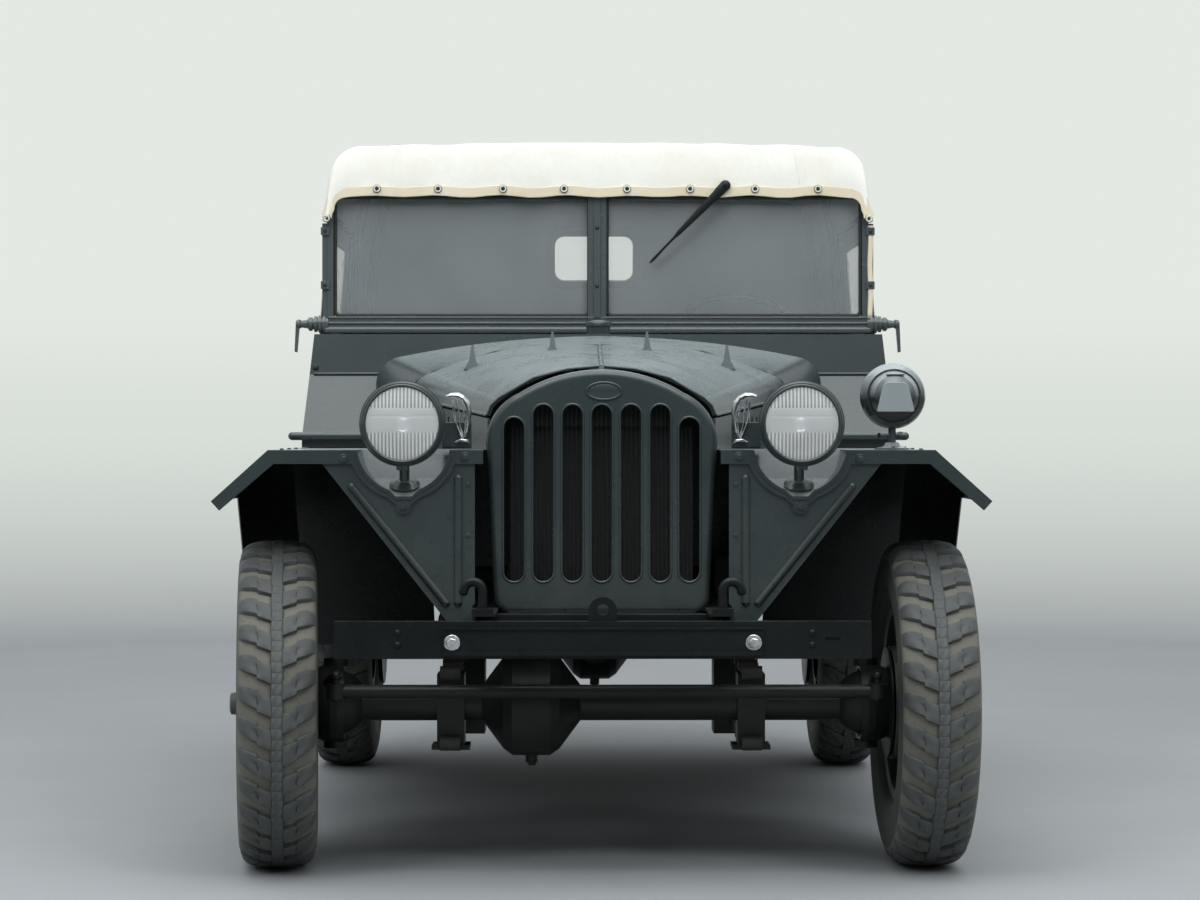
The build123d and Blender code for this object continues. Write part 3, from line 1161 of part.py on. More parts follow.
def rim(centre, heading, bore, root, cap):
    """Pressed disc wheel with its hub and drum; the hub runs from root, inboard, to cap, outboard."""
    seat = RIM_RADIUS
    barrel = [
        (-66, seat + 13), (-60, seat + 13), (-57, seat), (-28, seat - 2), (-22, seat - 24), (22, seat - 24),
        (28, seat - 2), (57, seat), (60, seat + 13), (66, seat + 13), (63, seat - 6), (30, seat - 8),
        (26, seat - 30), (-26, seat - 30), (-30, seat - 8), (-63, seat - 6),
    ]
    disc = [
        (4, seat - 26), (12, seat - 26), (14, seat - 50), (34, seat - 86), (36, 100), (22, 82), (22, 40),
        (14, 40), (14, 84), (28, 102), (26, seat - 88), (6, seat - 52),
    ]
    hub = [(root, bore), (root, 48), (14, 56), (34, 56), (36, 42), (cap - 22, 36), (cap - 20, 26), (cap - 3, 24),
           (cap, 18), (cap, 0), (18, 0), (18, bore)]
    drum = [(-74, 126), (-2, 126), (6, 118), (14, 60), (14, 40), (4, 40), (-4, 110), (-10, 118), (-74, 118)]
    shape = spun([barrel, disc, hub, drum], (0, 0, 0), (1, 0, 0))
    # five hand holes in the disc
    for number in range(5):
        turn = math.radians(72 * number + 36)
        spot = (126 * math.cos(turn), 126 * math.sin(turn))
        shape -= rod((10, *spot), (44, *spot), 11)
    return placed(shape, centre, heading)


def turned(shape, side, angle):
    """A front wheel piece turned about its kingpin."""
    axis = Axis((side * KINGPIN_X, FRONT_AXLE_Y, 0), (0, 0, 1))
    return shape.rotate(axis, angle)


ARM_X = 12.0
ARM_Y = -165.0
TIE_ROD_Z = 404.0


def knuckle(side, angle):
    """Steering knuckle: cup over the axle ball, kingpins, spindle, back plate and track arm."""
    x, y, z = side * KINGPIN_X, FRONT_AXLE_Y, AXLE_Z
    inner = KNUCKLE_BALL + GAP
    outer = inner + 12
    steps = [math.radians(100 - 10 * number) for number in range(11)]
    cup = [(outer * math.cos(a), outer * math.sin(a)) for a in steps]
    cup += [(inner * math.cos(a), inner * math.sin(a)) for a in reversed(steps)]
    plate = [(47, 60), (47, 124), (51, 124), (51, 60)]
    spindle = [(inner + 4, 0), (inner + 4, SPINDLE_RADIUS), (140, SPINDLE_RADIUS), (140, 0)]
    shape = spun([cup, plate, spindle], (x, y, z), (side, 0, 0))
    for sign in (1, -1):
        shape += rod((x, y, z + sign * 50), (x, y, z + sign * 96), PIN_RADIUS)
        shape += rod((x, y, z + sign * 83), (x, y, z + sign * 100), 28)
    shape = turned(shape, side, angle)
    end = (x + ARM_X, y + ARM_Y)
    high = TIE_ROD_Z + 34
    points = [(x + side * 14, y - 66, z + 50), (x + ARM_X, y + ARM_Y + 30, high), (*end, high)]
    shape += bent_rod(points, 11)
    shape += ball((*end, high), 11)
    shape += rod((*end, TIE_ROD_Z - 22), (*end, high), 8)
    return shape


def tie_rod():
    """Track rod from knuckle to knuckle, with an eye at each end."""
    y = FRONT_AXLE_Y + ARM_Y
    ends = [side * KINGPIN_X + ARM_X for side in (-1, 1)]
    shape = rod((ends[0], y, TIE_ROD_Z), (ends[1], y, TIE_ROD_Z), 15)
    for x in ends:
        shape += rod((x, y, TIE_ROD_Z - 16), (x, y, TIE_ROD_Z + 16), 21)
        shape -= rod((x, y, TIE_ROD_Z - 30), (x, y, TIE_ROD_Z + 30), 8 + RUNNING_FIT)
    return shape


def spare_carrier():
    """Bracket on the back panel that holds the spare wheel, with its clamp nut."""
    y0, hub = BACK_Y, REAR_END_Y - SPARE_HUB
    shape = block((-70, 70), (y0, y0 + 8), (SPARE_Z - 90, SPARE_Z + 90))
    shape += rod((0, y0 + 8, SPARE_Z), (0, hub + 13, SPARE_Z), 38)
    return shape


SPARE_Z = 905.0
SPARE_HUB = 95.0                # how far the spare wheel's hub stands out behind it


def rear_bumpers():
    """Two short bumpers and the towing jaw between them."""
    shapes = []
    for side in (1, -1):
        x = sorted((side * 400, side * 640))
        shape = block(x, (BACK_Y + 40, BACK_Y + 46), (500, 590))
        shape += block(x, (BACK_Y + 20, BACK_Y + 46), (584, 590)) + block(x, (BACK_Y + 20, BACK_Y + 46), (500, 506))
        bracket = sorted((side * (RAIL_X + 25), side * 420))
        shape += block(bracket, (BACK_Y - 28, BACK_Y - 14), (520, 556))
        shape += block(sorted((side * 400, side * 420)), (BACK_Y - 28, BACK_Y + 46), (520, 556))
        shapes.append(shape)
    jaw = block((-40, 40), (BACK_Y, BACK_Y + 8), (510, 580))
    jaw += block((-14, 14), (BACK_Y + 8, BACK_Y + 62), (512, 534))
    jaw -= rod((0, BACK_Y + 44, 500), (0, BACK_Y + 44, 545), 8)
    shapes.append(jaw)
    return shapes


SPARE_CENTRE = (0.0, REAR_END_Y - SPARE_HUB, SPARE_Z)


# ---------------------------------------------------------------- every node
def build():
    collect("frame", frame())
    collect("front_bumper", bumper())
    collect("tow_hooks", tow_hooks())
    collect("front_axle", front_axle())
    collect("rear_axle", rear_axle())
    collect("leaf_springs", front_springs(), rear_springs())
    collect("powertrain", powertrain())
    collect("propshafts", propshafts())
    collect("exhaust", exhaust())
    collect("grille", grille())
    collect("radiator", radiator())
    hood = hood_half()
    collect("hood_left", hood)
    collect("hood_right", mirrored(hood))
    collect("hood_hinge", hood_hinge())
    collect("hood_sides", both_sides(hood_side()))
    collect("cowl", cowl())
    wing = front_wing()
    collect("front_wing_left", wing)
    collect("front_wing_right", mirrored(wing))
    collect("wing_aprons", both_sides(apron()), both_sides(splash_shield()))
    collect("headlamps", both_sides(headlamp()))
    collect("headlamp_lenses", both_sides(lens()))
    collect("marker_lamp", marker_lamp())
    collect("tail_lamp", tail_lamp())
    side = body_side()
    collect("body_side_left", side)
    collect("body_side_right", mirrored(side))
    collect("rear_panel", rear_panel())
    collect("floor_pan", floor_pan())
    collect("wheelhouses", both_sides(wheelhouse()))
    collect("rear_wings", both_sides(rear_wing()))
    collect("running_boards", both_sides(running_board()))
    left_door, pane = door(), door_window()
    collect("door_left", left_door)
    collect("door_right", mirrored(left_door))
    collect("door_window_left", pane)
    collect("door_window_right", mirrored(pane))
    collect("windscreen_frame", windscreen_frame())
    collect("windscreen_glass", windscreen_glass())
    collect("soft_top", soft_top())
    collect("rear_window", rear_window())
    collect("top_bows", top_bows())
    collect("seat_frames", front_seat_frame(1), front_seat_frame(-1), rear_seat_frame())
    collect("seat_cushions", front_seat_cushions(), rear_seat_cushions())
    collect("dashboard", dashboard())
    collect("steering_column", steering_column())
    collect("steering_wheel", steering_wheel())
    collect("control_levers", control_levers())
    collect("rear_bumpers", rear_bumpers())
    collect("spare_carrier", spare_carrier())
    collect("spare_tyre", tyre(SPARE_CENTRE, 90))
    collect("spare_rim", rim(SPARE_CENTRE, 90, 38.5, -64.0, SPARE_HUB))
    collect("tie_rod", tie_rod())
    # name, side, axle y, kingpin angle, where the hub starts and ends from the wheel's centre plane
    corners = [
        ("front_left", 1, FRONT_AXLE_Y, TOE_LEFT, -34.0, 108.0),
        ("front_right", -1, FRONT_AXLE_Y, TOE_RIGHT, -34.0, 108.0),
        ("rear_left", 1, REAR_AXLE_Y, 0.0, -64.0, 62.0),
        ("rear_right", -1, REAR_AXLE_Y, 0.0, -64.0, 62.0),
    ]
    for name, sign, y, angle, root, cap in corners:
        centre, heading = (sign * WHEEL_X, y, AXLE_Z), 0 if sign > 0 else 180
        parts = [tyre(centre, heading), rim(centre, heading, SPINDLE_RADIUS + RUNNING_FIT, root, cap)]
        if angle:
            parts = [turned(part, sign, angle) for part in parts]
        collect("tyre_" + name, parts[0])
        collect("rim_" + name, parts[1])
    collect("knuckle_left", knuckle(1, TOE_LEFT))
    collect("knuckle_right", knuckle(-1, TOE_RIGHT))


def main():
    os.makedirs("parts", exist_ok=True)
    build()
    for name, solids in NODES.items():
        shape = solids[0] if len(solids) == 1 else Compound(children=solids)
        export_step(shape, f"parts/{name}.step")


main()
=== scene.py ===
"""Dressing of an open army 4x4 field car: finishes, canvas, tyre treads and small fittings."""
from __future__ import annotations

import logging
import math
from dataclasses import dataclass, field, replace
from enum import Enum
from typing import Callable, Iterable, Sequence

import bmesh
import bpy
from mathutils import Matrix, Vector, noise

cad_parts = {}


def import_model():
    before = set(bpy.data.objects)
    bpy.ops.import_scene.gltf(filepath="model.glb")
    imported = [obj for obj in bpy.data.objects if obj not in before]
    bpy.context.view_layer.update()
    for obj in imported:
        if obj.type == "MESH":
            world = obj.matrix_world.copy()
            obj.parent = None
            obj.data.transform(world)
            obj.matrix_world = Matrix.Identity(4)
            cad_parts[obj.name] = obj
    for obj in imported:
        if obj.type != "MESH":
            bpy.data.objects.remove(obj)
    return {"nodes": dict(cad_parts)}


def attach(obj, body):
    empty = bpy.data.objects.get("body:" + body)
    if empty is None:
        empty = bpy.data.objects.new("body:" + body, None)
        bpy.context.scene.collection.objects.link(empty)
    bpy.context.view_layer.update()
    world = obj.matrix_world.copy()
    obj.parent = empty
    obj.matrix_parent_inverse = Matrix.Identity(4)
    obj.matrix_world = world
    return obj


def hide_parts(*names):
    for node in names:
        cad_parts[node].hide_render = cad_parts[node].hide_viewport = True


log = logging.getLogger("field_car")

Point = tuple[float, float, float]
Pair = tuple[float, float]
Colour = tuple[float, float, float]
Socket = bpy.types.NodeSocket

# what several finishes share
FRESH_GREEN = (0.021, 0.031, 0.0315)
FADED_GREEN = (0.027, 0.0385, 0.039)
# near-black for the wheel arches and the faces that look down
NEAR_BLACK = (0.0015, 0.0016, 0.0016)
# pale blue-grey mixed into paint that faces up: painted reflection of the sky
PAINTED_SKY_REFLECTION = (0.40, 0.455, 0.475)
# pale grey for the painted highlight on the hood's windscreen rests
PAINTED_REST_HIGHLIGHT = (0.17, 0.19, 0.20)
# ways to face
LEFTWARD = (1, 0, 0)
BACKWARD = (0, 1, 0)
FORWARD = (0, -1, 0)
UPWARD = (0, 0, 1)
SIDES = ((1, "left"), (-1, "right"))
# corners of a box's faces, with X changing slowest and Z fastest
BOX_FACES = ((0, 1, 3, 2), (4, 6, 7, 5), (0, 4, 5, 1), (2, 3, 7, 6), (0, 2, 6, 4), (1, 5, 7, 3))

FRONT_AXLE_Y = -1.195
REAR_AXLE_Y = 0.905
SCREEN_Y = FRONT_AXLE_Y + 0.850
BACK_Y = REAR_AXLE_Y + 0.520
DOOR_BOW_Y = REAR_AXLE_Y - 0.450


class Body(str, Enum):
    """The moving groups of the car."""

    CHASSIS = "chassis"
    HOOD_LEFT = "hood_lid_left"
    HOOD_RIGHT = "hood_lid_right"
    DOOR_LEFT = "door_left_side"
    DOOR_RIGHT = "door_right_side"
    FRONT_LEFT = "wheel_front_left"
    FRONT_RIGHT = "wheel_front_right"
    REAR_LEFT = "wheel_rear_left"
    REAR_RIGHT = "wheel_rear_right"


def steps(start: float, end: float, count: int) -> list[float]:
    """Evenly spaced values from start to end, both included."""
    return [start + (end - start) * k / count for k in range(count + 1)]


def around(count: int) -> list[float]:
    """Evenly spaced turns in radians, once round."""
    return [2 * math.pi * k / count for k in range(count)]


def curve(start: Vector, pull: Vector, end: Vector, share: float) -> Vector:
    """A point of the curve from start to end that bends toward pull, with share from 0 to 1."""
    return start * (1 - share) ** 2 + pull * 2 * share * (1 - share) + end * share * share


def along_profile(profile: Sequence[Pair], place: float) -> float:
    """The second value of a broken line at a place, held past its ends.

    Args:
        profile: the line's points, with the first value rising.
        place: where to read it.

    Returns:
        The value there.
    """
    for (a0, b0), (a1, b1) in zip(profile, profile[1:]):
        if place <= a1:
            return b0 + (b1 - b0) * (max(place, a0) - a0) / (a1 - a0)
    return profile[-1][1]


def times_colour(colour: Colour, factor: float) -> Colour:
    """A colour made lighter or darker, held at white."""
    return tuple(min(1.0, c * factor) for c in colour)


# ---------------------------------------------------------------------------- finishes
class Nodes:
    """A node tree, with short calls for the nodes that finishes and sky share."""

    def __init__(self, tree: bpy.types.NodeTree) -> None:
        """Empties a tree.

        Args:
            tree: the tree to build in.
        """
        self.tree = tree
        tree.nodes.clear()

    def add(self, kind: str) -> bpy.types.Node:
        """A new node of a kind, named without its ShaderNode."""
        return self.tree.nodes.new("ShaderNode" + kind)

    def link(self, source: Socket, target: Socket) -> None:
        """Links two sockets."""
        self.tree.links.new(source, target)

    def feed(self, target: Socket, value: Socket | float | Colour) -> None:
        """Gives a socket a link, a number or a colour."""
        if isinstance(value, bpy.types.NodeSocket):
            self.link(value, target)
        else:
            target.default_value = (*value, 1.0) if isinstance(value, tuple) else value

    def part_of(self, vector: Socket, axis: str) -> Socket:
        """One axis of a vector."""
        node = self.add("SeparateXYZ")
        self.link(vector, node.inputs[0])
        return node.outputs[axis]

    def span(self, value: Socket, source: Pair, target: Pair = (0.0, 1.0), kind: str = "LINEAR") -> Socket:
        """Maps a value from one range to another, clamped.

        Args:
            value: the socket to map.
            source: its low and high.
            target: what those become.
            kind: LINEAR or SMOOTHSTEP.

        Returns:
            The mapped value's socket.
        """
        node = self.add("MapRange")
        node.interpolation_type = kind
        node.inputs["From Min"].default_value, node.inputs["From Max"].default_value = source
        node.inputs["To Min"].default_value, node.inputs["To Max"].default_value = target
        self.link(value, node.inputs["Value"])
        return node.outputs[0]

    def times(self, a: Socket | float, b: Socket | float, how: str = "MULTIPLY") -> Socket:
        """Joins two values.

        Args:
            a: first value or a number.
            b: second value or a number.
            how: MULTIPLY, ADD, DIVIDE or MAXIMUM.

        Returns:
            The result's socket.
        """
        node = self.add("Math")
        node.operation = how
        self.feed(node.inputs[0], a)
        self.feed(node.inputs[1], b)
        return node.outputs[0]

    def mix(self, factor: Socket, low: Colour | Socket, high: Colour) -> Socket:
        """Mixes two colours.

        Args:
            factor: 0 gives low and 1 gives high.
            low: a colour or a colour socket.
            high: a colour.

        Returns:
            The mixed colour's socket.
        """
        node = self.add("Mix")
        node.data_type = "RGBA"
        self.link(factor, node.inputs["Factor"])
        self.feed(node.inputs["A"], low)
        self.feed(node.inputs["B"], high)
        return node.outputs["Result"]

    def ramp(self, value: Socket, source: Pair, low: Colour | Socket, high: Colour) -> Socket:
        """A colour that runs smoothly from one to another as a value rises.

        Args:
            value: the socket to follow.
            source: where the run starts and ends.
            low: colour at the start, or its socket.
            high: colour at the end.

        Returns:
            The colour's socket.
        """
        return self.mix(self.span(value, source, kind="SMOOTHSTEP"), low, high)

    def blend(self, factor: Socket, low: Socket, high: Socket) -> Socket:
        """Mixes two shaders.

        Args:
            factor: 0 gives low and 1 gives high.
            low: a shader.
            high: a shader.

        Returns:
            The mixed shader's socket.
        """
        node = self.add("MixShader")
        for socket, value in zip(node.inputs, (factor, low, high)):
            self.link(value, socket)
        return node.outputs[0]


class Bench(Nodes):
    """A material's node tree round one Principled shader."""

    def __init__(self, name: str) -> None:
        """Starts an empty material with one Principled shader.

        Args:
            name: name of the material.
        """
        self.material = bpy.data.materials.new(name)
        self.material.use_nodes = True
        super().__init__(self.material.node_tree)
        self.output = self.add("OutputMaterial")
        self.shader = self.add("BsdfPrincipled")
        self.link(self.shader.outputs[0], self.output.inputs[0])
        self.where = self.add("TexCoord").outputs["Object"]

    def stretched(self, factors: Point) -> Socket:
        """Object coordinates scaled along each axis.

        Args:
            factors: the scale along X, Y and Z.

        Returns:
            The scaled coordinates' socket.
        """
        node = self.add("Mapping")
        node.inputs["Scale"].default_value = factors
        self.link(self.where, node.inputs["Vector"])
        return node.outputs[0]

    def noise(
        self, scale: float, detail: float = 4.0, rough: float = 0.55, stretch: Point = (1, 1, 1)
    ) -> Socket:
        """Noise over the object's coordinates.

        Args:
            scale: cycles to the metre.
            detail: octaves.
            rough: weight of the fine octaves.
            stretch: scale along each axis.

        Returns:
            The noise value's socket.
        """
        node = self.add("TexNoise")
        node.inputs["Scale"].default_value = scale
        node.inputs["Detail"].default_value = detail
        node.inputs["Roughness"].default_value = rough
        self.link(self.stretched(stretch), node.inputs["Vector"])
        return node.outputs["Fac"]

    def waves(self, scale: float, direction: str) -> Socket:
        """Sine bands along one axis.

        Args:
            scale: bands to the metre.
            direction: X, Y or Z.

        Returns:
            The band value's socket.
        """
        node = self.add("TexWave")
        node.bands_direction = direction
        node.inputs["Scale"].default_value = scale
        self.link(self.where, node.inputs["Vector"])
        return node.outputs["Fac"]

    def height(self) -> Socket:
        """Height above the floor in metres."""
        return self.part_of(self.where, "Z")

    def along_car(self) -> Socket:
        """Place along the car in metres, growing toward the back."""
        return self.part_of(self.where, "Y")

    def up_facing(self) -> Socket:
        """The surface normal's Z, 1 where the surface faces up."""
        return self.part_of(self.add("NewGeometry").outputs["Normal"], "Z")

    def bump(self, height: Socket, depth: float, strength: float = 1.0) -> None:
        """Adds relief to the shader.

        Args:
            height: the relief's value.
            depth: its depth in metres.
            strength: how much of it shows.
        """
        node = self.add("Bump")
        node.inputs["Distance"].default_value = depth
        node.inputs["Strength"].default_value = strength
        self.link(height, node.inputs["Height"])
        normal = self.shader.inputs["Normal"]
        if normal.is_linked:
            self.link(normal.links[0].from_socket, node.inputs["Normal"])
        self.link(node.outputs[0], normal)

    def set(self, **values: Socket | float) -> None:
        """Feeds the shader's own sockets, named with underscores for spaces."""
        for key, value in values.items():
            self.feed(self.shader.inputs[key.replace("_", " ")], value)


@dataclass(frozen=True)
class Paint:
    """Painted sheet metal with faint mottling, road dust low down and worn gloss."""

    name: str
    base: Colour
    mottle: Colour
    dust: Colour = (0.21, 0.20, 0.175)
    dust_height: Pair = (0.95, 0.30)
    dust_most: float = 0.35
    gloss: Pair = (0.24, 0.42)
    coat: float = 0.0
    # how far up a surface must face for the painted reflection of pale sky, and how much of it there is at
    # most
    sky_reflection_from: Pair = (0.80, 0.98)
    sky_reflection_most: float = 0.0
    shine: float = 0.5
    # where along Y the colour turns near-black, on pieces that reach back inside the wheel arch
    near_black_from_y: float | None = None
    # whether the faces that look down are near-black
    under_dark: bool = False
    # height over which the steep faces, the hood's windscreen rests, get a painted pale highlight
    rests_over: float | None = None

    def make(self) -> bpy.types.Material:
        """Builds the paint.

        Returns:
            The material.
        """
        bench = Bench(self.name)
        patch = bench.span(bench.noise(2.2, 5, 0.6), (0.35, 0.68))
        colour = bench.mix(patch, self.base, self.mottle)
        grime = bench.noise(14.0, 8, 0.68)
        low = bench.span(bench.height(), self.dust_height, (0.0, self.dust_most))
        flat = bench.span(bench.up_facing(), (0.3, 1.0), (0.0, 0.09))
        film = bench.times(bench.times(low, flat, "ADD"), bench.span(grime, (0.35, 0.66), (0.15, 1.0)))
        colour = bench.mix(film, colour, self.dust)
        chips = bench.span(bench.noise(95.0, 3, 0.5), (0.735, 0.76), (0.0, 0.5))
        colour = bench.mix(chips, colour, times_colour(self.base, 0.45))
        # painted reflection: faces that look up are mixed toward pale sky colour, broken up by noise
        if self.sky_reflection_most:
            sky = bench.span(bench.up_facing(), self.sky_reflection_from, (0.0, self.sky_reflection_most))
            sky = bench.times(sky, bench.span(grime, (0.2, 0.6), (0.85, 1.0)))
            colour = bench.mix(sky, colour, PAINTED_SKY_REFLECTION)
        # painted highlight: steep faces high on the hood turn pale grey
        if self.rests_over is not None:
            high = bench.span(bench.height(), (self.rests_over, self.rests_over + 0.004))
            steep = bench.span(bench.up_facing(), (0.55, 0.75), (0.8, 0.0))
            colour = bench.mix(bench.times(high, steep), colour, PAINTED_REST_HIGHLIGHT)
        if self.near_black_from_y is not None:
            inside = bench.span(bench.along_car(), (self.near_black_from_y, self.near_black_from_y + 0.004), (0.0, 0.94))
            colour = bench.mix(inside, colour, NEAR_BLACK)
        if self.under_dark:
            under = bench.span(bench.up_facing(), (-0.16, -0.06), (0.94, 0.0))
            colour = bench.mix(under, colour, NEAR_BLACK)
        rough = bench.span(bench.noise(7.0, 6, 0.6), (0.3, 0.7), self.gloss)
        rough = bench.times(rough, bench.times(film, 0.9), "ADD")
        bench.set(Base_Color=colour, Roughness=rough)
        bench.bump(bench.noise(260.0, 2, 0.5), 0.00025, 0.10)
        bench.bump(bench.noise(9.0, 2, 0.4), 0.0016, 0.30)
        bench.set(Coat_Weight=self.coat, Coat_Roughness=0.18, Specular_IOR_Level=self.shine)
        return bench.material


@dataclass(frozen=True)
class Metal:
    """Bare metal, from bright plating to rusty steel."""

    name: str
    base: Colour
    stain: Colour
    gloss: Pair = (0.15, 0.30)
    metallic: float = 1.0
    stain_from: float = 0.55

    def make(self) -> bpy.types.Material:
        """Builds the metal.

        Returns:
            The material.
        """
        bench = Bench(self.name)
        spots = bench.span(bench.noise(38.0, 7, 0.66), (self.stain_from, self.stain_from + 0.14))
        colour = bench.mix(spots, self.base, self.stain)
        rough = bench.span(bench.noise(60.0, 4), (0.3, 0.7), self.gloss)
        bench.bump(bench.noise(220.0, 4, 0.6), 0.0003, 0.3)
        bench.set(Base_Color=colour, Roughness=rough, Metallic=self.metallic)
        return bench.material


@dataclass(frozen=True)
class Canvas:
    """Heavy cotton canvas: plain weave, soft creases and weather stains."""

    name: str
    base: Colour
    stain: Colour
    thread: float = 420.0
    sheen: float = 0.25

    def make(self) -> bpy.types.Material:
        """Builds the canvas.

        Returns:
            The material.
        """
        bench = Bench(self.name)
        blotch = bench.span(bench.noise(3.4, 7, 0.66), (0.40, 0.78))
        colour = bench.mix(blotch, self.base, self.stain)
        slub = bench.span(bench.noise(60.0, 3, 0.5, (1, 9, 1)), (0.35, 0.75), (0.0, 0.22))
        colour = bench.mix(slub, colour, times_colour(self.base, 0.86))
        weave = bench.times(bench.waves(self.thread, "X"), bench.waves(self.thread, "Y"), "MAXIMUM")
        weave = bench.times(weave, bench.waves(self.thread, "Z"), "ADD")
        bench.bump(weave, 0.0005, 0.30)
        bench.bump(bench.noise(16.0, 4, 0.55), 0.004, 0.35)
        bench.set(Base_Color=colour, Roughness=0.88, Sheen_Weight=self.sheen, Sheen_Roughness=0.5)
        return bench.material


@dataclass(frozen=True)
class Rubber:
    """Road-worn rubber, dusty where it is not rubbed clean."""

    name: str
    base: Colour
    dust: Colour
    dust_most: float = 0.8

    def make(self) -> bpy.types.Material:
        """Builds the rubber.

        Returns:
            The material.
        """
        bench = Bench(self.name)
        cloud = bench.span(bench.noise(9.0, 8, 0.7), (0.30, 0.70), (0.1, self.dust_most))
        colour = bench.mix(cloud, self.base, self.dust)
        speck = bench.span(bench.noise(130.0, 3), (0.60, 0.72), (0.0, 0.5))
        colour = bench.mix(speck, colour, times_colour(self.base, 0.6))
        bench.set(Base_Color=colour, Roughness=bench.span(cloud, (0.0, 1.0), (0.55, 0.92)))
        bench.bump(bench.noise(90.0, 6, 0.6), 0.0012, 0.4)
        return bench.material


@dataclass(frozen=True)
class Hide:
    """Coated leathercloth with a pebbled grain and worn high spots."""

    name: str
    base: Colour
    worn: Colour

    def make(self) -> bpy.types.Material:
        """Builds the leathercloth.

        Returns:
            The material.
        """
        bench = Bench(self.name)
        wear = bench.span(bench.noise(7.0, 6, 0.62), (0.42, 0.72), (0.0, 0.75))
        colour = bench.mix(wear, self.base, self.worn)
        bench.set(Base_Color=colour, Roughness=bench.span(wear, (0.0, 0.75), (0.42, 0.60)))
        bench.bump(bench.noise(330.0, 3, 0.5), 0.0006, 0.55)
        bench.bump(bench.noise(22.0, 4, 0.5), 0.003, 0.3)
        return bench.material


@dataclass(frozen=True)
class Glazing:
    """Glass or clear sheet with a film of dust on it."""

    name: str
    tint: Colour
    alpha: float
    gloss: float = 0.06
    # width of the upright flutes, whose refraction is painted as dark stripes, and the heights between which
    # the glass is plain and painted a little darker
    flute: float = 0.0
    plain: Pair = (0.9714, 1.0248)

    def make(self) -> bpy.types.Material:
        """Builds the glazing.

        Returns:
            The material.
        """
        bench = Bench(self.name)
        film = bench.span(bench.noise(6.0, 6, 0.6), (0.3, 0.75))
        colour = bench.mix(film, self.tint, times_colour(self.tint, 1.25))
        # painted shade: dark stripes along the flutes stand in for their refraction, and the plain band is
        # painted darker
        if self.flute:
            bands = bench.waves(2 * math.pi / (20 * self.flute), "X")
            low, high = self.plain
            below = bench.span(bench.height(), (low - 0.0008, low + 0.0008), (1.0, 0.0))
            above = bench.span(bench.height(), (high - 0.0008, high + 0.0008))
            fluted = bench.times(below, above, "MAXIMUM")
            shade = bench.times(bench.span(bands, (0.15, 0.85), (0.0, 0.72)), fluted)
            shade = bench.times(shade, bench.span(fluted, (0.0, 1.0), (0.30, 0.0)), "ADD")
            colour = bench.mix(shade, colour, times_colour(self.tint, 0.22))
        bench.set(Base_Color=colour, Alpha=self.alpha, Roughness=self.gloss, IOR=1.5)
        return bench.material


@dataclass(frozen=True)
class Core:
    """Radiator core: fine fins on upright tubes."""

    name: str
    base: Colour

    def make(self) -> bpy.types.Material:
        """Builds the core's finish.

        Returns:
            The material.
        """
        bench = Bench(self.name)
        fins = bench.times(bench.waves(120.0, "Z"), bench.waves(34.0, "X"))
        # the gaps between the fins are painted at a quarter of the base colour: painted shade
        colour = bench.mix(bench.span(fins, (0.0, 1.0)), times_colour(self.base, 0.25), self.base)
        bench.set(Base_Color=colour, Roughness=0.55, Metallic=0.35)
        bench.bump(fins, 0.003, 0.8)
        return bench.material


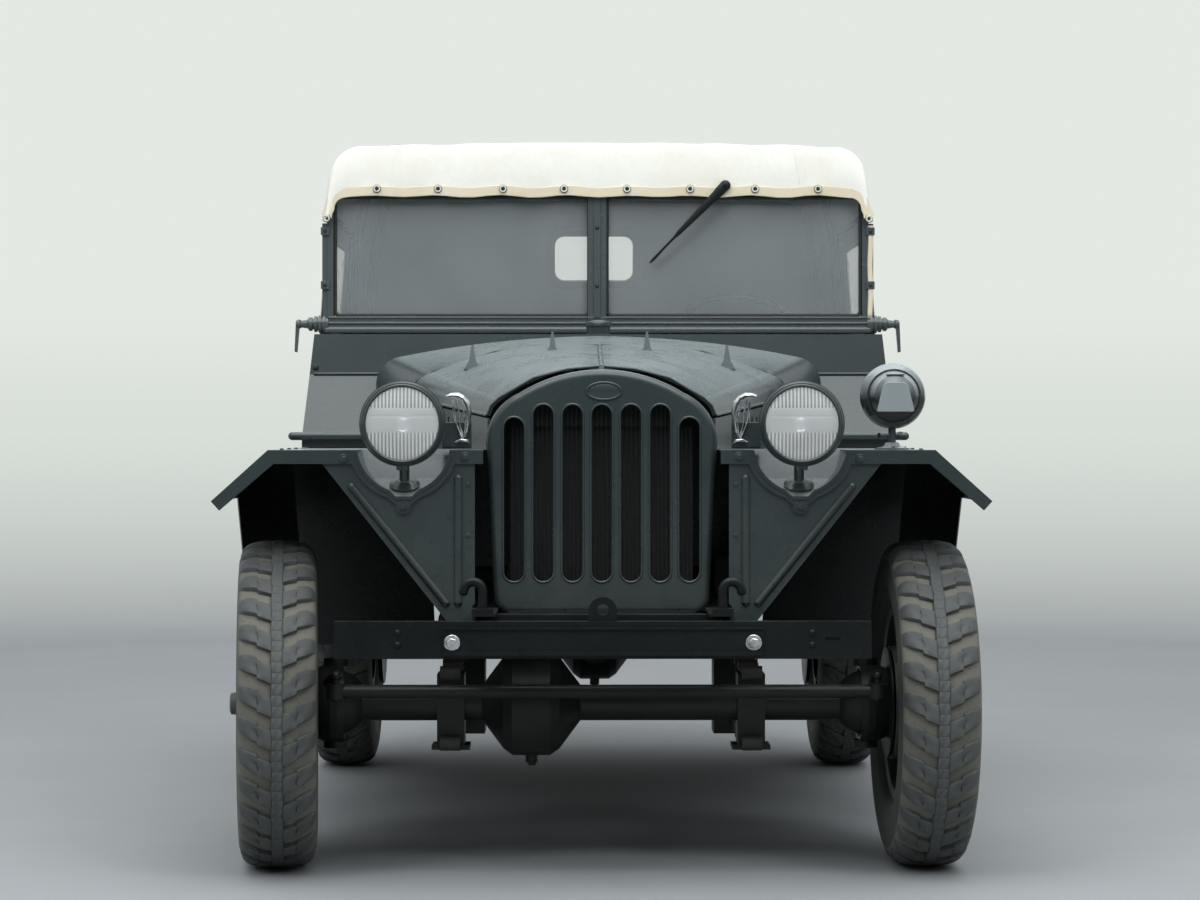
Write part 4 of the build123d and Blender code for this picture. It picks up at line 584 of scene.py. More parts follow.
class Finishes:
    """Every finish of the car, made once and handed out by name."""

    def __init__(self) -> None:
        """Builds all the materials."""
        satin = (0.17, 0.33)
        # body green, with a painted sky reflection on faces that look up
        body = Paint(
            "body_paint", FRESH_GREEN, FADED_GREEN,
            dust_height=(0.85, 0.30), dust_most=0.20, gloss=satin, coat=0.25, sky_reflection_most=0.44,
        )
        self.made: dict[str, bpy.types.Material] = {}
        for finish in (
            body,
            # hood: painted sky reflection reaching further down its shoulders, and a painted highlight on its
            # rests
            replace(body, name="hood_paint", sky_reflection_from=(0.60, 0.97), sky_reflection_most=0.46, rests_over=1.104),
            replace(body, name="wing_paint", under_dark=True),
            # a lighter copy of the body green: painted light on the windscreen frame and strips
            Paint(
                "screen_lit_paint", (0.058, 0.071, 0.073), (0.070, 0.084, 0.085), dust_most=0.12, gloss=satin,
                coat=0.25, sky_reflection_most=0.44
            ),
            # near-black for the floor pan and wheelhouses
            Paint(
                "near_black_under", (0.0022, 0.0024, 0.0024), (0.003, 0.0032, 0.0031), dust_height=(0.55, 0.15),
                dust_most=0.04, gloss=(0.5, 0.8), shine=0.12
            ),
            Paint(
                "apron_paint", FRESH_GREEN, FADED_GREEN, dust_most=0.16, gloss=satin, coat=0.10,
                near_black_from_y=FRONT_AXLE_Y - 0.248, under_dark=True
            ),
            # marker lamp shell: painted sky reflection on all but the faces that look down
            Paint(
                "marker_paint", (0.016, 0.021, 0.021), (0.022, 0.029, 0.029), dust_most=0.05,
                gloss=(0.12, 0.24), coat=0.4, sky_reflection_from=(-0.10, 0.60), sky_reflection_most=0.62
            ),
            Paint("wheel_paint", FRESH_GREEN, (0.036, 0.048, 0.045), dust_height=(1.1, 0.2), dust_most=0.40),
            Paint(
                "chassis_paint", (0.005, 0.0064, 0.0064), (0.008, 0.0096, 0.0093), dust_height=(0.55, 0.15),
                dust_most=0.07, gloss=(0.30, 0.5), shine=0.28
            ),
            Paint(
                "bumper_paint", (0.0045, 0.0062, 0.0068), (0.007, 0.0095, 0.010), dust_most=0.03,
                gloss=(0.20, 0.34), shine=0.18
            ),
            Paint("engine_grey", (0.05, 0.053, 0.05), (0.03, 0.03, 0.028), gloss=(0.45, 0.7)),
            Paint(
                "black_enamel", (0.012, 0.012, 0.013), (0.018, 0.018, 0.018), dust_most=0.05,
                gloss=(0.12, 0.25)
            ),
            Metal("bright_plate", (0.74, 0.76, 0.77), (0.30, 0.30, 0.29), (0.14, 0.34), stain_from=0.50),
            Metal("spring_steel", (0.045, 0.044, 0.041), (0.055, 0.038, 0.027), (0.45, 0.7), 0.6),
            Metal("rusty_steel", (0.13, 0.09, 0.065), (0.20, 0.09, 0.045), (0.6, 0.85), 0.35, 0.45),
            Metal("stud_brass", (0.70, 0.67, 0.58), (0.52, 0.47, 0.37), (0.30, 0.45), 0.15),
            Metal("reflector", (0.92, 0.93, 0.92), (0.80, 0.80, 0.78), (0.05, 0.12), stain_from=0.7),
            Canvas("roof_canvas", (0.93, 0.915, 0.85), (0.84, 0.80, 0.68)),
            Canvas("hem_canvas", (0.76, 0.68, 0.52), (0.62, 0.53, 0.38)),
            Canvas("door_canvas", (0.80, 0.76, 0.65), (0.68, 0.62, 0.50)),
            Rubber("tyre_rubber", (0.034, 0.037, 0.036), (0.085, 0.087, 0.078)),
            Rubber("tread_rubber", (0.048, 0.054, 0.056), (0.105, 0.108, 0.100), 0.6),
            Rubber("tread_dust", (0.105, 0.103, 0.086), (0.160, 0.155, 0.127), 0.9),
            Rubber("black_rubber", (0.012, 0.012, 0.012), (0.05, 0.05, 0.045), 0.4),
            Hide("seat_cloth", (0.052, 0.036, 0.024), (0.115, 0.085, 0.06)),
            Glazing("window_glass", (0.425, 0.465, 0.48), 0.24, 0.05),
            # near-white and half opaque: painted light, the bright reflector seen through the lens painted
            # into the glass
            Glazing("lens_glass", (0.97, 0.99, 0.98), 0.52, 0.06, 0.0078),
            Glazing("clear_sheet", (0.66, 0.67, 0.63), 0.32, 0.16),
            Glazing("rear_sheet", (0.80, 0.86, 0.90), 0.03, 0.12),
            Glazing("marker_glass", (0.23, 0.265, 0.275), 0.92, 0.10),
            Glazing("red_glass", (0.42, 0.012, 0.008), 0.85, 0.1),
            Core("radiator_core", (0.016, 0.018, 0.018)),
        ):
            self.made[finish.name] = finish.make()

    def __getitem__(self, name: str) -> bpy.types.Material:
        """The material of that name."""
        return self.made[name]


# ---------------------------------------------------------------------------- mesh work
class Form:
    """Vertices and faces of one piece, gathered in the car's frame in metres."""

    def __init__(self) -> None:
        """Starts with nothing."""
        self.points: list[Vector] = []
        self.faces: list[tuple[int, ...]] = []

    def add(self, points: Iterable[Sequence[float]], faces: Iterable[Sequence[int]]) -> None:
        """Adds faces over new points.

        Args:
            points: the new points.
            faces: corners of each face, counted from the first new point.
        """
        start = len(self.points)
        self.points.extend(Vector(p) for p in points)
        self.faces.extend(tuple(start + i for i in face) for face in faces)

    def box(self, low: Point, high: Point) -> "Form":
        """Adds a box.

        Args:
            low: lowest corner.
            high: highest corner.

        Returns:
            This form.
        """
        xs, ys, zs = zip(low, high)
        corners = [(x, y, z) for x in xs for y in ys for z in zs]
        self.add(corners, BOX_FACES)
        return self

    def grid(
        self, rows: Sequence[Sequence[Sequence[float]]], closed_across: bool = False,
        closed_along: bool = False
    ) -> "Form":
        """Adds a grid of faces through rows of points.

        Args:
            rows: rows of equally many points.
            closed_across: joins each row's end to its start.
            closed_along: joins the last row to the first.

        Returns:
            This form.
        """
        count = len(rows[0])
        across = count if closed_across else count - 1
        along = len(rows) if closed_along else len(rows) - 1
        faces = []
        for r in range(along):
            for c in range(across):
                r1, c1 = (r + 1) % len(rows), (c + 1) % count
                faces.append((r * count + c, r * count + c1, r1 * count + c1, r1 * count + c))
        self.add([p for row in rows for p in row], faces)
        return self

    def tube(
        self, path: Sequence[Sequence[float]], radius: float | Sequence[float], sides: int = 12,
        closed: bool = False
    ) -> "Form":
        """Adds a round tube along a path.

        Args:
            path: points of the centre line.
            radius: one radius, or one for each point.
            sides: faces around.
            closed: joins the last point to the first.

        Returns:
            This form.
        """
        line = [Vector(p) for p in path]
        radii = [radius] * len(line) if isinstance(radius, (int, float)) else list(radius)
        rows, side = [], None
        for i, here in enumerate(line):
            before = line[i - 1] if closed or i else here
            after = line[(i + 1) % len(line)] if closed or i + 1 < len(line) else here
            along = (after - before).normalized()
            if side is None:
                side = along.cross(Vector((0.31, 0.17, 0.94)) if abs(along.z) < 0.9 else Vector((1, 0.1, 0)))
            side = (side - along * side.dot(along)).normalized()
            up = along.cross(side)
            rows.append([here + (side * math.cos(a) + up * math.sin(a)) * radii[i] for a in around(sides)])
        start = len(self.points)
        self.grid(rows, closed_across=True, closed_along=closed)
        if not closed:
            last = start + (len(rows) - 1) * sides
            self.faces.append(tuple(start + k for k in reversed(range(sides))))
            self.faces.append(tuple(last + k for k in range(sides)))
        return self

    def turned(
        self, profile: Sequence[Pair], centre: Point, axis: Point, sides: int = 32, closed: bool = False
    ) -> "Form":
        """Adds a surface of revolution.

        Args:
            profile: (distance along the axis, radius) points.
            centre: where the axis starts.
            axis: its direction.
            sides: faces around.
            closed: joins the profile's end to its start.

        Returns:
            This form.
        """
        along = Vector(axis).normalized()
        side = along.orthogonal().normalized()
        up = along.cross(side)
        rows = []
        for a in around(sides):
            out = side * math.cos(a) + up * math.sin(a)
            rows.append([Vector(centre) + along * d + out * max(r, 1e-6) for d, r in profile])
        return self.grid(rows, closed_across=closed, closed_along=True)

    def moved(self, matrix: Matrix) -> "Form":
        """Moves every point so far.

        Args:
            matrix: the move.

        Returns:
            This form.
        """
        self.points = [matrix @ p for p in self.points]
        return self

    def join(self, other: "Form") -> "Form":
        """Adds another form's faces.

        Args:
            other: the form to add.

        Returns:
            This form.
        """
        self.add(other.points, other.faces)
        return self

    def mirror(self) -> "Form":
        """A copy of this form on the other side of the car.

        Returns:
            The new form.
        """
        twin = Form()
        twin.add([(-p.x, p.y, p.z) for p in self.points], [tuple(reversed(f)) for f in self.faces])
        return twin

    def on(self, side: str) -> "Form":
        """This form, built for the left, as it is on one side of the car.

        Args:
            side: left or right.

        Returns:
            This form on the left, its mirror image on the right.
        """
        return self if side == "left" else self.mirror()

    def without(self, cut: Callable[[Vector], bool]) -> "Form":
        """Drops some faces.

        Args:
            cut: says of a face's middle whether the face goes.

        Returns:
            This form.
        """
        middles_and_shadow_rings = [sum((self.points[i] for i in face), Vector()) / len(face) for face in self.faces]
        self.faces = [face for face, middle in zip(self.faces, middles_and_shadow_rings) if not cut(middle)]
        return self

    def make(
        self, name: str, body: Body, material: bpy.types.Material, slot: str, bevel: float = 0.0,
        smooth: float = 35.0, thick: float = 0.0
    ) -> bpy.types.Object:
        """Turns the form into a piece that rides on a body.

        Args:
            name: the piece's name.
            body: what it moves with.
            material: its finish.
            slot: not used.
            bevel: width of its rounded edges in metres.
            smooth: edges under this angle in degrees are shaded smooth.
            thick: thickness given to an open sheet, in metres.

        Returns:
            The new object.
        """
        mesh = bpy.data.meshes.new(name)
        bm = bmesh.new()
        made = [bm.verts.new(p) for p in self.points]
        for face in self.faces:
            if len(set(face)) > 2:
                try:
                    bm.faces.new([made[i] for i in face])
                except ValueError:
                    continue
        bmesh.ops.remove_doubles(bm, verts=bm.verts, dist=1e-5)
        bmesh.ops.recalc_face_normals(bm, faces=bm.faces)
        bm.to_mesh(mesh)
        bm.free()
        piece = bpy.data.objects.new(name, mesh)
        bpy.context.scene.collection.objects.link(piece)
        mesh.materials.append(material)
        if thick:
            shell = piece.modifiers.new("thickness", "SOLIDIFY")
            shell.thickness = thick
            shell.offset = 0.0
        if bevel:
            rounding = piece.modifiers.new("rounding", "BEVEL")
            rounding.width = bevel
            rounding.segments = 2
            rounding.limit_method = "ANGLE"
            rounding.angle_limit = math.radians(32)
        mesh.shade_smooth()
        mesh.set_sharp_from_angle(angle=math.radians(smooth))
        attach(piece, body.value)
        return piece


# ---------------------------------------------------------------------------- studio
@dataclass
class Studio:
    """Camera, sky, lamps and the plain floor under the car."""

    place: Point = (-0.0605, -7.995, 0.9735)
    lens: float = 90.78
    tilt: float = -0.345
    pan: float = -0.492
    pale: Colour = (0.775, 0.815, 0.768)
    haze: Colour = (0.69, 0.735, 0.69)
    ground: Colour = (0.255, 0.268, 0.275)
    # half the floor's width, and the distance up to which it shows without haze
    reach: float = 900.0
    clear_to: float = 6.5
    # each lamp: name, place, size, watts, colour; only the overhead one shows in reflections
    lamps: tuple = (
        ("overhead", (0.0, -2.6, 6.0), 7.0, 290.0, (0.96, 1.0, 1.0)),
        ("front_left", (4.4, -6.6, 5.4), 3.0, 165.0, (0.95, 0.98, 1.0)),
        ("front_right", (-4.4, -6.6, 5.4), 3.0, 165.0, (0.95, 0.98, 1.0)),
        ("behind", (0.0, 6.5, 5.8), 4.0, 25.0, (0.97, 1.0, 1.0)),
    )

    def camera(self) -> None:
        """Stands the camera in front of the car, low and far off."""
        data = bpy.data.cameras.new("front_view")
        data.lens = self.lens
        data.sensor_width = 36.0
        data.clip_end = 2500.0
        camera = bpy.data.objects.new("front_view", data)
        camera.location = self.place
        camera.rotation_euler = (math.radians(90.0 + self.tilt), 0.0, math.radians(self.pan))
        bpy.context.scene.collection.objects.link(camera)
        bpy.context.scene.camera = camera

    def lights(self) -> None:
        """Hangs large soft lamps round the car."""
        for name, place, size, watts, colour in self.lamps:
            data = bpy.data.lights.new(name, "AREA")
            data.shape = "DISK"
            data.size = size
            data.energy = watts
            data.color = colour
            lamp = bpy.data.objects.new(name, data)
            lamp.location = place
            aim = Vector((0.0, 0.0, 0.6)) - Vector(place)
            lamp.rotation_euler = aim.to_track_quat("-Z", "Y").to_euler()
            lamp.visible_glossy = name == "overhead"
            bpy.context.scene.collection.objects.link(lamp)

    def sky(self) -> None:
        """Overcast sky for light, and a plain pale backdrop for the camera."""
        world = bpy.data.worlds.new("sky")
        world.use_nodes = True
        nodes = Nodes(world.node_tree)
        where = nodes.add("TexCoord").outputs["Generated"]
        behind = nodes.ramp(nodes.part_of(where, "Y"), (-0.55, 0.35), (0.15, 0.17, 0.18), (0.80, 0.85, 0.84))
        up = nodes.part_of(where, "Z")
        overcast = nodes.ramp(up, (0.24, 0.95), (0.02, 0.024, 0.027), (1.85, 1.91, 1.95))
        shine = nodes.ramp(up, (0.02, 0.60), behind, (0.95, 1.0, 1.03))
        backdrop = nodes.ramp(up, (0.0, 0.045), self.haze, self.pale)
        rays = nodes.add("LightPath").outputs
        shown = None
        for kind, colour, strength in (
            ("", overcast, 0.74),
            ("Is Glossy Ray", shine, 0.85),
            ("Is Camera Ray", backdrop, 1.0),
            ("Is Transmission Ray", backdrop, 1.0),
        ):
            light = nodes.add("Background")
            nodes.feed(light.inputs["Color"], colour)
            nodes.feed(light.inputs["Strength"], strength)
            shown = nodes.blend(rays[kind], shown, light.outputs[0]) if kind else light.outputs[0]
        nodes.link(shown, nodes.add("OutputWorld").inputs[0])
        bpy.context.scene.world = world

    def floor(self) -> None:
        """Lays a plain floor that melts into the backdrop far off."""
        bench = Bench("floor")
        patches = bench.span(bench.noise(1.2, 8, 0.6), (0.3, 0.7))
        bench.set(Base_Color=bench.mix(patches, self.ground, times_colour(self.ground, 1.08)), Roughness=0.8)
        distance = bench.add("VectorMath")
        distance.operation = "LENGTH"
        bench.link(bench.where, distance.inputs[0])
        near = bench.times(self.clear_to, distance.outputs["Value"], "DIVIDE")
        seen = bench.times(bench.span(near, (1.0, 0.0)), bench.add("LightPath").outputs["Is Camera Ray"])
        glow = bench.add("Emission")
        bench.feed(glow.inputs["Color"], self.haze)
        bench.link(bench.blend(seen, bench.shader.outputs[0], glow.outputs[0]), bench.output.inputs[0])
        mesh = bpy.data.meshes.new("floor")
        reach = self.reach
        mesh.from_pydata(
            [(-reach, -reach, 0), (reach, -reach, 0), (reach, reach, 0), (-reach, reach, 0)], [],
            [(0, 1, 2, 3)]
        )
        mesh.materials.append(bench.material)
        piece = bpy.data.objects.new("floor", mesh)
        bpy.context.scene.collection.objects.link(piece)

    def build(self) -> None:
        """Sets up the whole studio."""
        self.camera()
        self.lights()
        self.sky()
        self.floor()
        bpy.context.scene.view_settings.view_transform = "Standard"


@dataclass
class Panels:
    """The finish that each rigid piece of the car wears."""

    finishes: Finishes
    wears: dict[str, tuple[str, ...]] = field(default_factory=lambda: {
        "body_paint": (
            "grille", "hood_sides", "cowl",
            "headlamps", "tail_lamp", "body_side_left", "body_side_right", "rear_panel",
            "running_boards", "seat_frames", "dashboard",
        ),
        "wing_paint": ("front_wing_left", "front_wing_right", "rear_wings"),
        "hood_paint": ("hood_left", "hood_right", "hood_hinge"),
        "screen_lit_paint": ("windscreen_frame",),
        "near_black_under": ("floor_pan", "wheelhouses"),
        "marker_paint": ("marker_lamp",),
        "apron_paint": ("wing_aprons",),
        "bumper_paint": ("front_bumper", "tow_hooks", "rear_bumpers"),
        "chassis_paint": (
            "frame", "front_axle", "rear_axle", "propshafts", "top_bows", "steering_column", "control_levers",
            "spare_carrier", "tie_rod", "knuckle_left", "knuckle_right",
        ),
        "wheel_paint": ("rim_front_left", "rim_front_right", "rim_rear_left", "rim_rear_right", "spare_rim"),
        "spring_steel": ("leaf_springs",),
        "engine_grey": ("powertrain",),
        "rusty_steel": ("exhaust",),
        "radiator_core": ("radiator",),
        "black_enamel": ("steering_wheel",),
        "window_glass": ("windscreen_glass",),
        "lens_glass": ("headlamp_lenses",),
        "clear_sheet": ("door_window_left", "door_window_right"),
        "rear_sheet": ("rear_window",),
        "roof_canvas": ("soft_top",),
        "door_canvas": ("door_left", "door_right"),
        "tyre_rubber": (
            "tyre_front_left", "tyre_front_right", "tyre_rear_left", "tyre_rear_right", "spare_tyre"
        ),
        "seat_cloth": ("seat_cushions",),
    })

    def build(self, nodes: dict[str, bpy.types.Object]) -> None:
        """Gives every rigid piece its finish.

        Args:
            nodes: the car's own pieces by name.
        """
        for finish, names in self.wears.items():
            for name in names:
                for slot in nodes[name].material_slots:
                    slot.material = self.finishes[finish]
        log.info("finishes on %d pieces", sum(len(names) for names in self.wears.values()))


@dataclass
class Dressing:
    """A group of small pieces that share the car's finishes."""

    finishes: Finishes

    def fit(
        self, form: Form, name: str, finish: str, slot: str, body: Body = Body.CHASSIS, **edges: float
    ) -> bpy.types.Object:
        """Makes a form into a piece of the car.

        Args:
            form: the piece's form.
            name: its name.
            finish: name of its finish.
            slot: passed on to Form.make, which does not use it.
            body: what it moves with.
            edges: bevel, smooth and thick, as Form.make takes them.

        Returns:
            The new object.
        """
        return form.make(name, body, self.finishes[finish], slot, **edges)

    def screws(self, name: str, spots: Iterable[tuple[Point, Point, float]]) -> None:
        """Makes a group of slotted screws, heads and slots apart.

        Args:
            name: what the screws hold.
            spots: place, way to face and head radius of each.
        """
        heads, slots = Form(), Form()
        for place, out, size in spots:
            screw_head(heads, place, out, size)
            screw_slot(slots, place, out, size)
        self.fit(heads, f"{name}_screws", "spring_steel", "body_paint", smooth=45)
        # the slots are black bars: painted shade
        self.fit(slots, f"{name}_screw_slots", "black_rubber", "body_paint")


# ---------------------------------------------------------------------------- wheels
@dataclass
class Tyres(Dressing):
    """Five bar-tread tyres, and the nuts and valves of their wheels."""

    bead: float = 0.203
    radius: float = 0.365
    groove: float = 0.011
    lugs: int = 32
    slant: float = math.tan(math.radians(22.0))
    # distance from the centre plane and radius of the tread's outer line
    crown: tuple = (
        (0.0, 0.365), (0.020, 0.3648), (0.034, 0.364), (0.050, 0.3615), (0.064, 0.357), (0.073, 0.351),
        (0.080, 0.343), (0.0855, 0.322), (0.087, 0.300)
    )
    spindle: float = 0.724
    kingpin: float = 0.594
    axle_z: float = 0.365
    spare: Point = (0.0, 1.580, 0.905)

    def top(self, across: float) -> float:
        """Radius of the tread's outer line at a distance from the centre plane."""
        return along_profile(self.crown, abs(across))

    def floor_of(self, across: float) -> float:
        """Radius of the carcass between the lugs."""
        depth = self.groove * min(1.0, max(0.0, (0.087 - abs(across)) / 0.014))
        return self.top(across) - depth

    def carcass(self) -> Form:
        """The tyre without its lugs, about +X at the origin.

        Returns:
            The form.
        """
        outer = [
            (-a, self.floor_of(a)) for a in (0.087, 0.0855, 0.083, 0.078, 0.070, 0.058, 0.045, 0.030, 0.015)
        ]
        outer += [(0.0, self.floor_of(0.0))] + [(-a, r) for a, r in reversed(outer)]
        wall = [
            (0.0875, 0.281), (0.088, 0.276), (0.0855, 0.262), (0.082, 0.252), (0.083, 0.249), (0.080, 0.240),
            (0.0745, 0.230), (0.065, 0.2215), (0.0585, 0.2165), (0.0570, self.bead)
        ]
        inner = [(0.052, self.bead), (0.052, 0.223), (0.074, 0.283), (0.066, 0.331), (0.0, 0.343)]
        inner += [(-a, r) for a, r in reversed(inner[:-1])]
        profile = outer + wall + inner + [(-a, r) for a, r in reversed(wall)]
        return Form().turned(profile, (0, 0, 0), LEFTWARD, sides=160, closed=True)

    def bed(self) -> Form:
        """The dusty floor between the tread bars, just proud of the carcass."""
        edge = [
            (a, self.floor_of(a) + 0.0006) for a in (0.0842, 0.082, 0.078, 0.070, 0.058, 0.045, 0.030, 0.015)
        ]
        under = [(a, r - 0.003) for a, r in edge]
        profile = [(-a, r) for a, r in edge] + edge[::-1] + under + [(-a, r) for a, r in under[::-1]]
        return Form().turned(profile, (0, 0, 0), LEFTWARD, sides=120, closed=True)

    def spot(self, across: float, turn: float, radius: float) -> Point:
        """A point of the tyre, with turn 0 facing the front."""
        return (across, -radius * math.cos(turn), radius * math.sin(turn))

    def lug(self, side: int, turn: float) -> Form:
        """One tread bar of one row.

        Args:
            side: which row, 1 or -1.
            turn: the bar's place round the tyre in radians.

        Returns:
            The form.
        """
        # distance across, share of the length, drop below the outer line, shift along the bar
        inner = (
            (0.0100, 0.98, 0.004, 0.0), (0.0128, 1.0, 0.0012, 0.0), (0.0160, 1.0, 0.0004, 0.0),
            (0.026, 1.0, 0.0, 0.0), (0.036, 1.0, 0.0, 0.0), (0.0415, 1.0, 0.0, 0.0)
        )
        outer = (
            (0.0425, 1.0, 0.0, 0.006), (0.052, 1.0, 0.0, 0.006), (0.062, 0.98, 0.0, 0.006),
            (0.070, 0.90, 0.0, 0.006), (0.077, 0.82, 0.0005, 0.006), (0.0825, 0.74, 0.001, 0.006),
            (0.0862, 0.66, 0.0035, 0.006), (0.0869, 0.62, 0.012, 0.006)
        )
        # place along the bar, drop of its edge
        cuts = (
            (-0.56, 0.013), (-0.50, 0.0008), (-0.475, 0.0), (-0.20, 0.0), (-0.07, 0.0), (0.07, 0.0),
            (0.20, 0.0), (0.475, 0.0), (0.50, 0.0008), (0.56, 0.013)
        )
        length = 0.0405
        rows = []
        for a, share, low, shift in inner + outer:
            middle = turn + (self.slant * (a - 0.044) + shift) / self.radius
            pit = 0.0045 if 0.040 < a < 0.044 else 0.0
            row = []
            for t, edge in cuts:
                drop = max(low, edge) + (pit if abs(t) < 0.1 else 0.0)
                row.append(self.spot(side * a, middle + t * share * length / self.radius, self.top(a) - drop))
            rows.append(row)
        return Form().grid(rows)

    def rib(self) -> Form:
        """The centre rib with its fine cross slits.

        Returns:
            The form.
        """
        # distance across and drop below the outer line
        half = ((0.0095, 0.0), (0.0108, 0.0), (0.0118, 0.0012), (0.0135, 0.011))
        section = [(-a, drop) for a, drop in reversed(half)] + [(0.0, 0.0), *half]
        rows = []
        count = 96
        for k in range(count):
            for part, slit in ((0.0, 0.0007), (0.06, 0.0007), (0.09, 0.0), (0.97, 0.0)):
                turn = 2 * math.pi * (k + part) / count
                swing = 0.0012 * math.sin(turn * self.lugs)
                row = []
                for a, drop in section:
                    low = drop + (slit if abs(a) < 0.010 else 0.0)
                    row.append(self.spot(a + swing, turn, self.top(a) - low))
                rows.append(row)
        return Form().grid(rows, closed_along=True)

    def tread(self) -> Form:
        """Both rows of bars and the centre rib.

        Returns:
            The form.
        """
        form = self.rib()
        pitch = 2 * math.pi / self.lugs
        for number in range(self.lugs):
            form.join(self.lug(1, number * pitch))
            form.join(self.lug(-1, (number + 0.5) * pitch))
        return form

    def fittings(self, out: int, face: float) -> Form:
        """Wheel nuts, hub bolts and the valve of one wheel.

        Args:
            out: 1 where the outer side is +X, else -1.
            face: how far the disc's face is from the centre plane.

        Returns:
            The form.
        """
        nut = (
            (-0.002, 0.013), (0.003, 0.0125), (0.0032, 0.0095), (0.014, 0.0095), (0.0155, 0.0078),
            (0.0155, 0.0045), (0.021, 0.0045), (0.0215, 0.0)
        )
        bolt = ((0.0, 0.0055), (0.005, 0.0055), (0.006, 0.0046), (0.006, 0.0))
        valve = (
            (-0.006, 0.005), (0.004, 0.0042), (0.012, 0.0034), (0.030, 0.0034), (0.0305, 0.0042),
            (0.038, 0.0042), (0.039, 0.0)
        )
        form = Form()
        # profile, how many, first one's turn in degrees, distance out and radius of the ring
        for profile, count, first, away, ring in ((nut, 5, 0, face, 0.069), (bolt, 6, 15, 0.0335, 0.047)):
            for number in range(count):
                turn = math.radians(360 // count * number + first)
                spot = (out * away, ring * math.cos(turn), ring * math.sin(turn))
                form.turned(profile, spot, (out, 0, 0), sides=6)
        return form.turned(valve, (out * 0.024, 0.0, 0.158), (out, 0.0, -0.35), sides=12)

    def build(self) -> None:
        """Makes the five tyres and their fittings."""
        carcass, tread = self.carcass(), self.tread()
        # name, body, side, Y, steered and rolled degrees
        places = (
            ("front_left", Body.FRONT_LEFT, 1, FRONT_AXLE_Y, 1.0, 3.0),
            ("front_right", Body.FRONT_RIGHT, -1, FRONT_AXLE_Y, 5.0, 0.0),
            ("rear_left", Body.REAR_LEFT, 1, REAR_AXLE_Y, 0.0, 31.0),
            ("rear_right", Body.REAR_RIGHT, -1, REAR_AXLE_Y, 0.0, 17.0),
        )
        for name, body, side, y, toe, rolled in places:
            pin = Matrix.Translation((side * self.kingpin, y, 0.0))
            steer = pin @ Matrix.Rotation(math.radians(toe), 4, "Z") @ pin.inverted()
            roll = Matrix.Rotation(math.radians(rolled), 4, "X")
            where = steer @ Matrix.Translation((side * self.spindle, y, self.axle_z)) @ roll
            self.place(name, body, where, carcass, tread, side, "tyre_" + name)
        where = Matrix.Translation(self.spare) @ Matrix.Rotation(math.radians(90.0), 4, "Z")
        self.place("spare", Body.CHASSIS, where, carcass, tread, 1, "spare_tyre")
        log.info("tyres with %d tread bars each", 2 * self.lugs)

    def place(
        self, name: str, body: Body, where: Matrix, carcass: Form, tread: Form, side: int, node: str
    ) -> None:
        """Stands one tyre in its place.

        Args:
            name: which wheel.
            body: what it turns with.
            where: its place.
            carcass: the tyre's form.
            tread: the tread's form.
            side: 1 where the outer side is +X before the move.
            node: the plain tyre that it stands for.
        """
        walls = Form().join(carcass).moved(where)
        tyre = self.fit(walls, f"tyre_walls_{name}", "tyre_rubber", "rubber_tyre", body, smooth=40)
        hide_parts(node)
        bars = Form().join(tread).moved(where)
        self.fit(bars, f"tread_{name}", "tread_rubber", "rubber_tyre", body, smooth=38)
        self.fit(self.bed().moved(where), f"tread_bed_{name}", "tread_dust", "rubber_tyre", body, smooth=40)
        nuts = self.fittings(side, 0.0225).moved(where)
        self.fit(nuts, f"wheel_nuts_{name}", "wheel_paint", "wheel_paint", body, smooth=30)


# ---------------------------------------------------------------------------- canvas
def cloth_noise(place: Vector, scale: float, seed: float = 0.0) -> float:
    """Smooth noise from -1 to 1 at a place, the same on every run."""
    return noise.noise(place * scale + Vector((seed, seed * 1.7, seed * 0.6)))


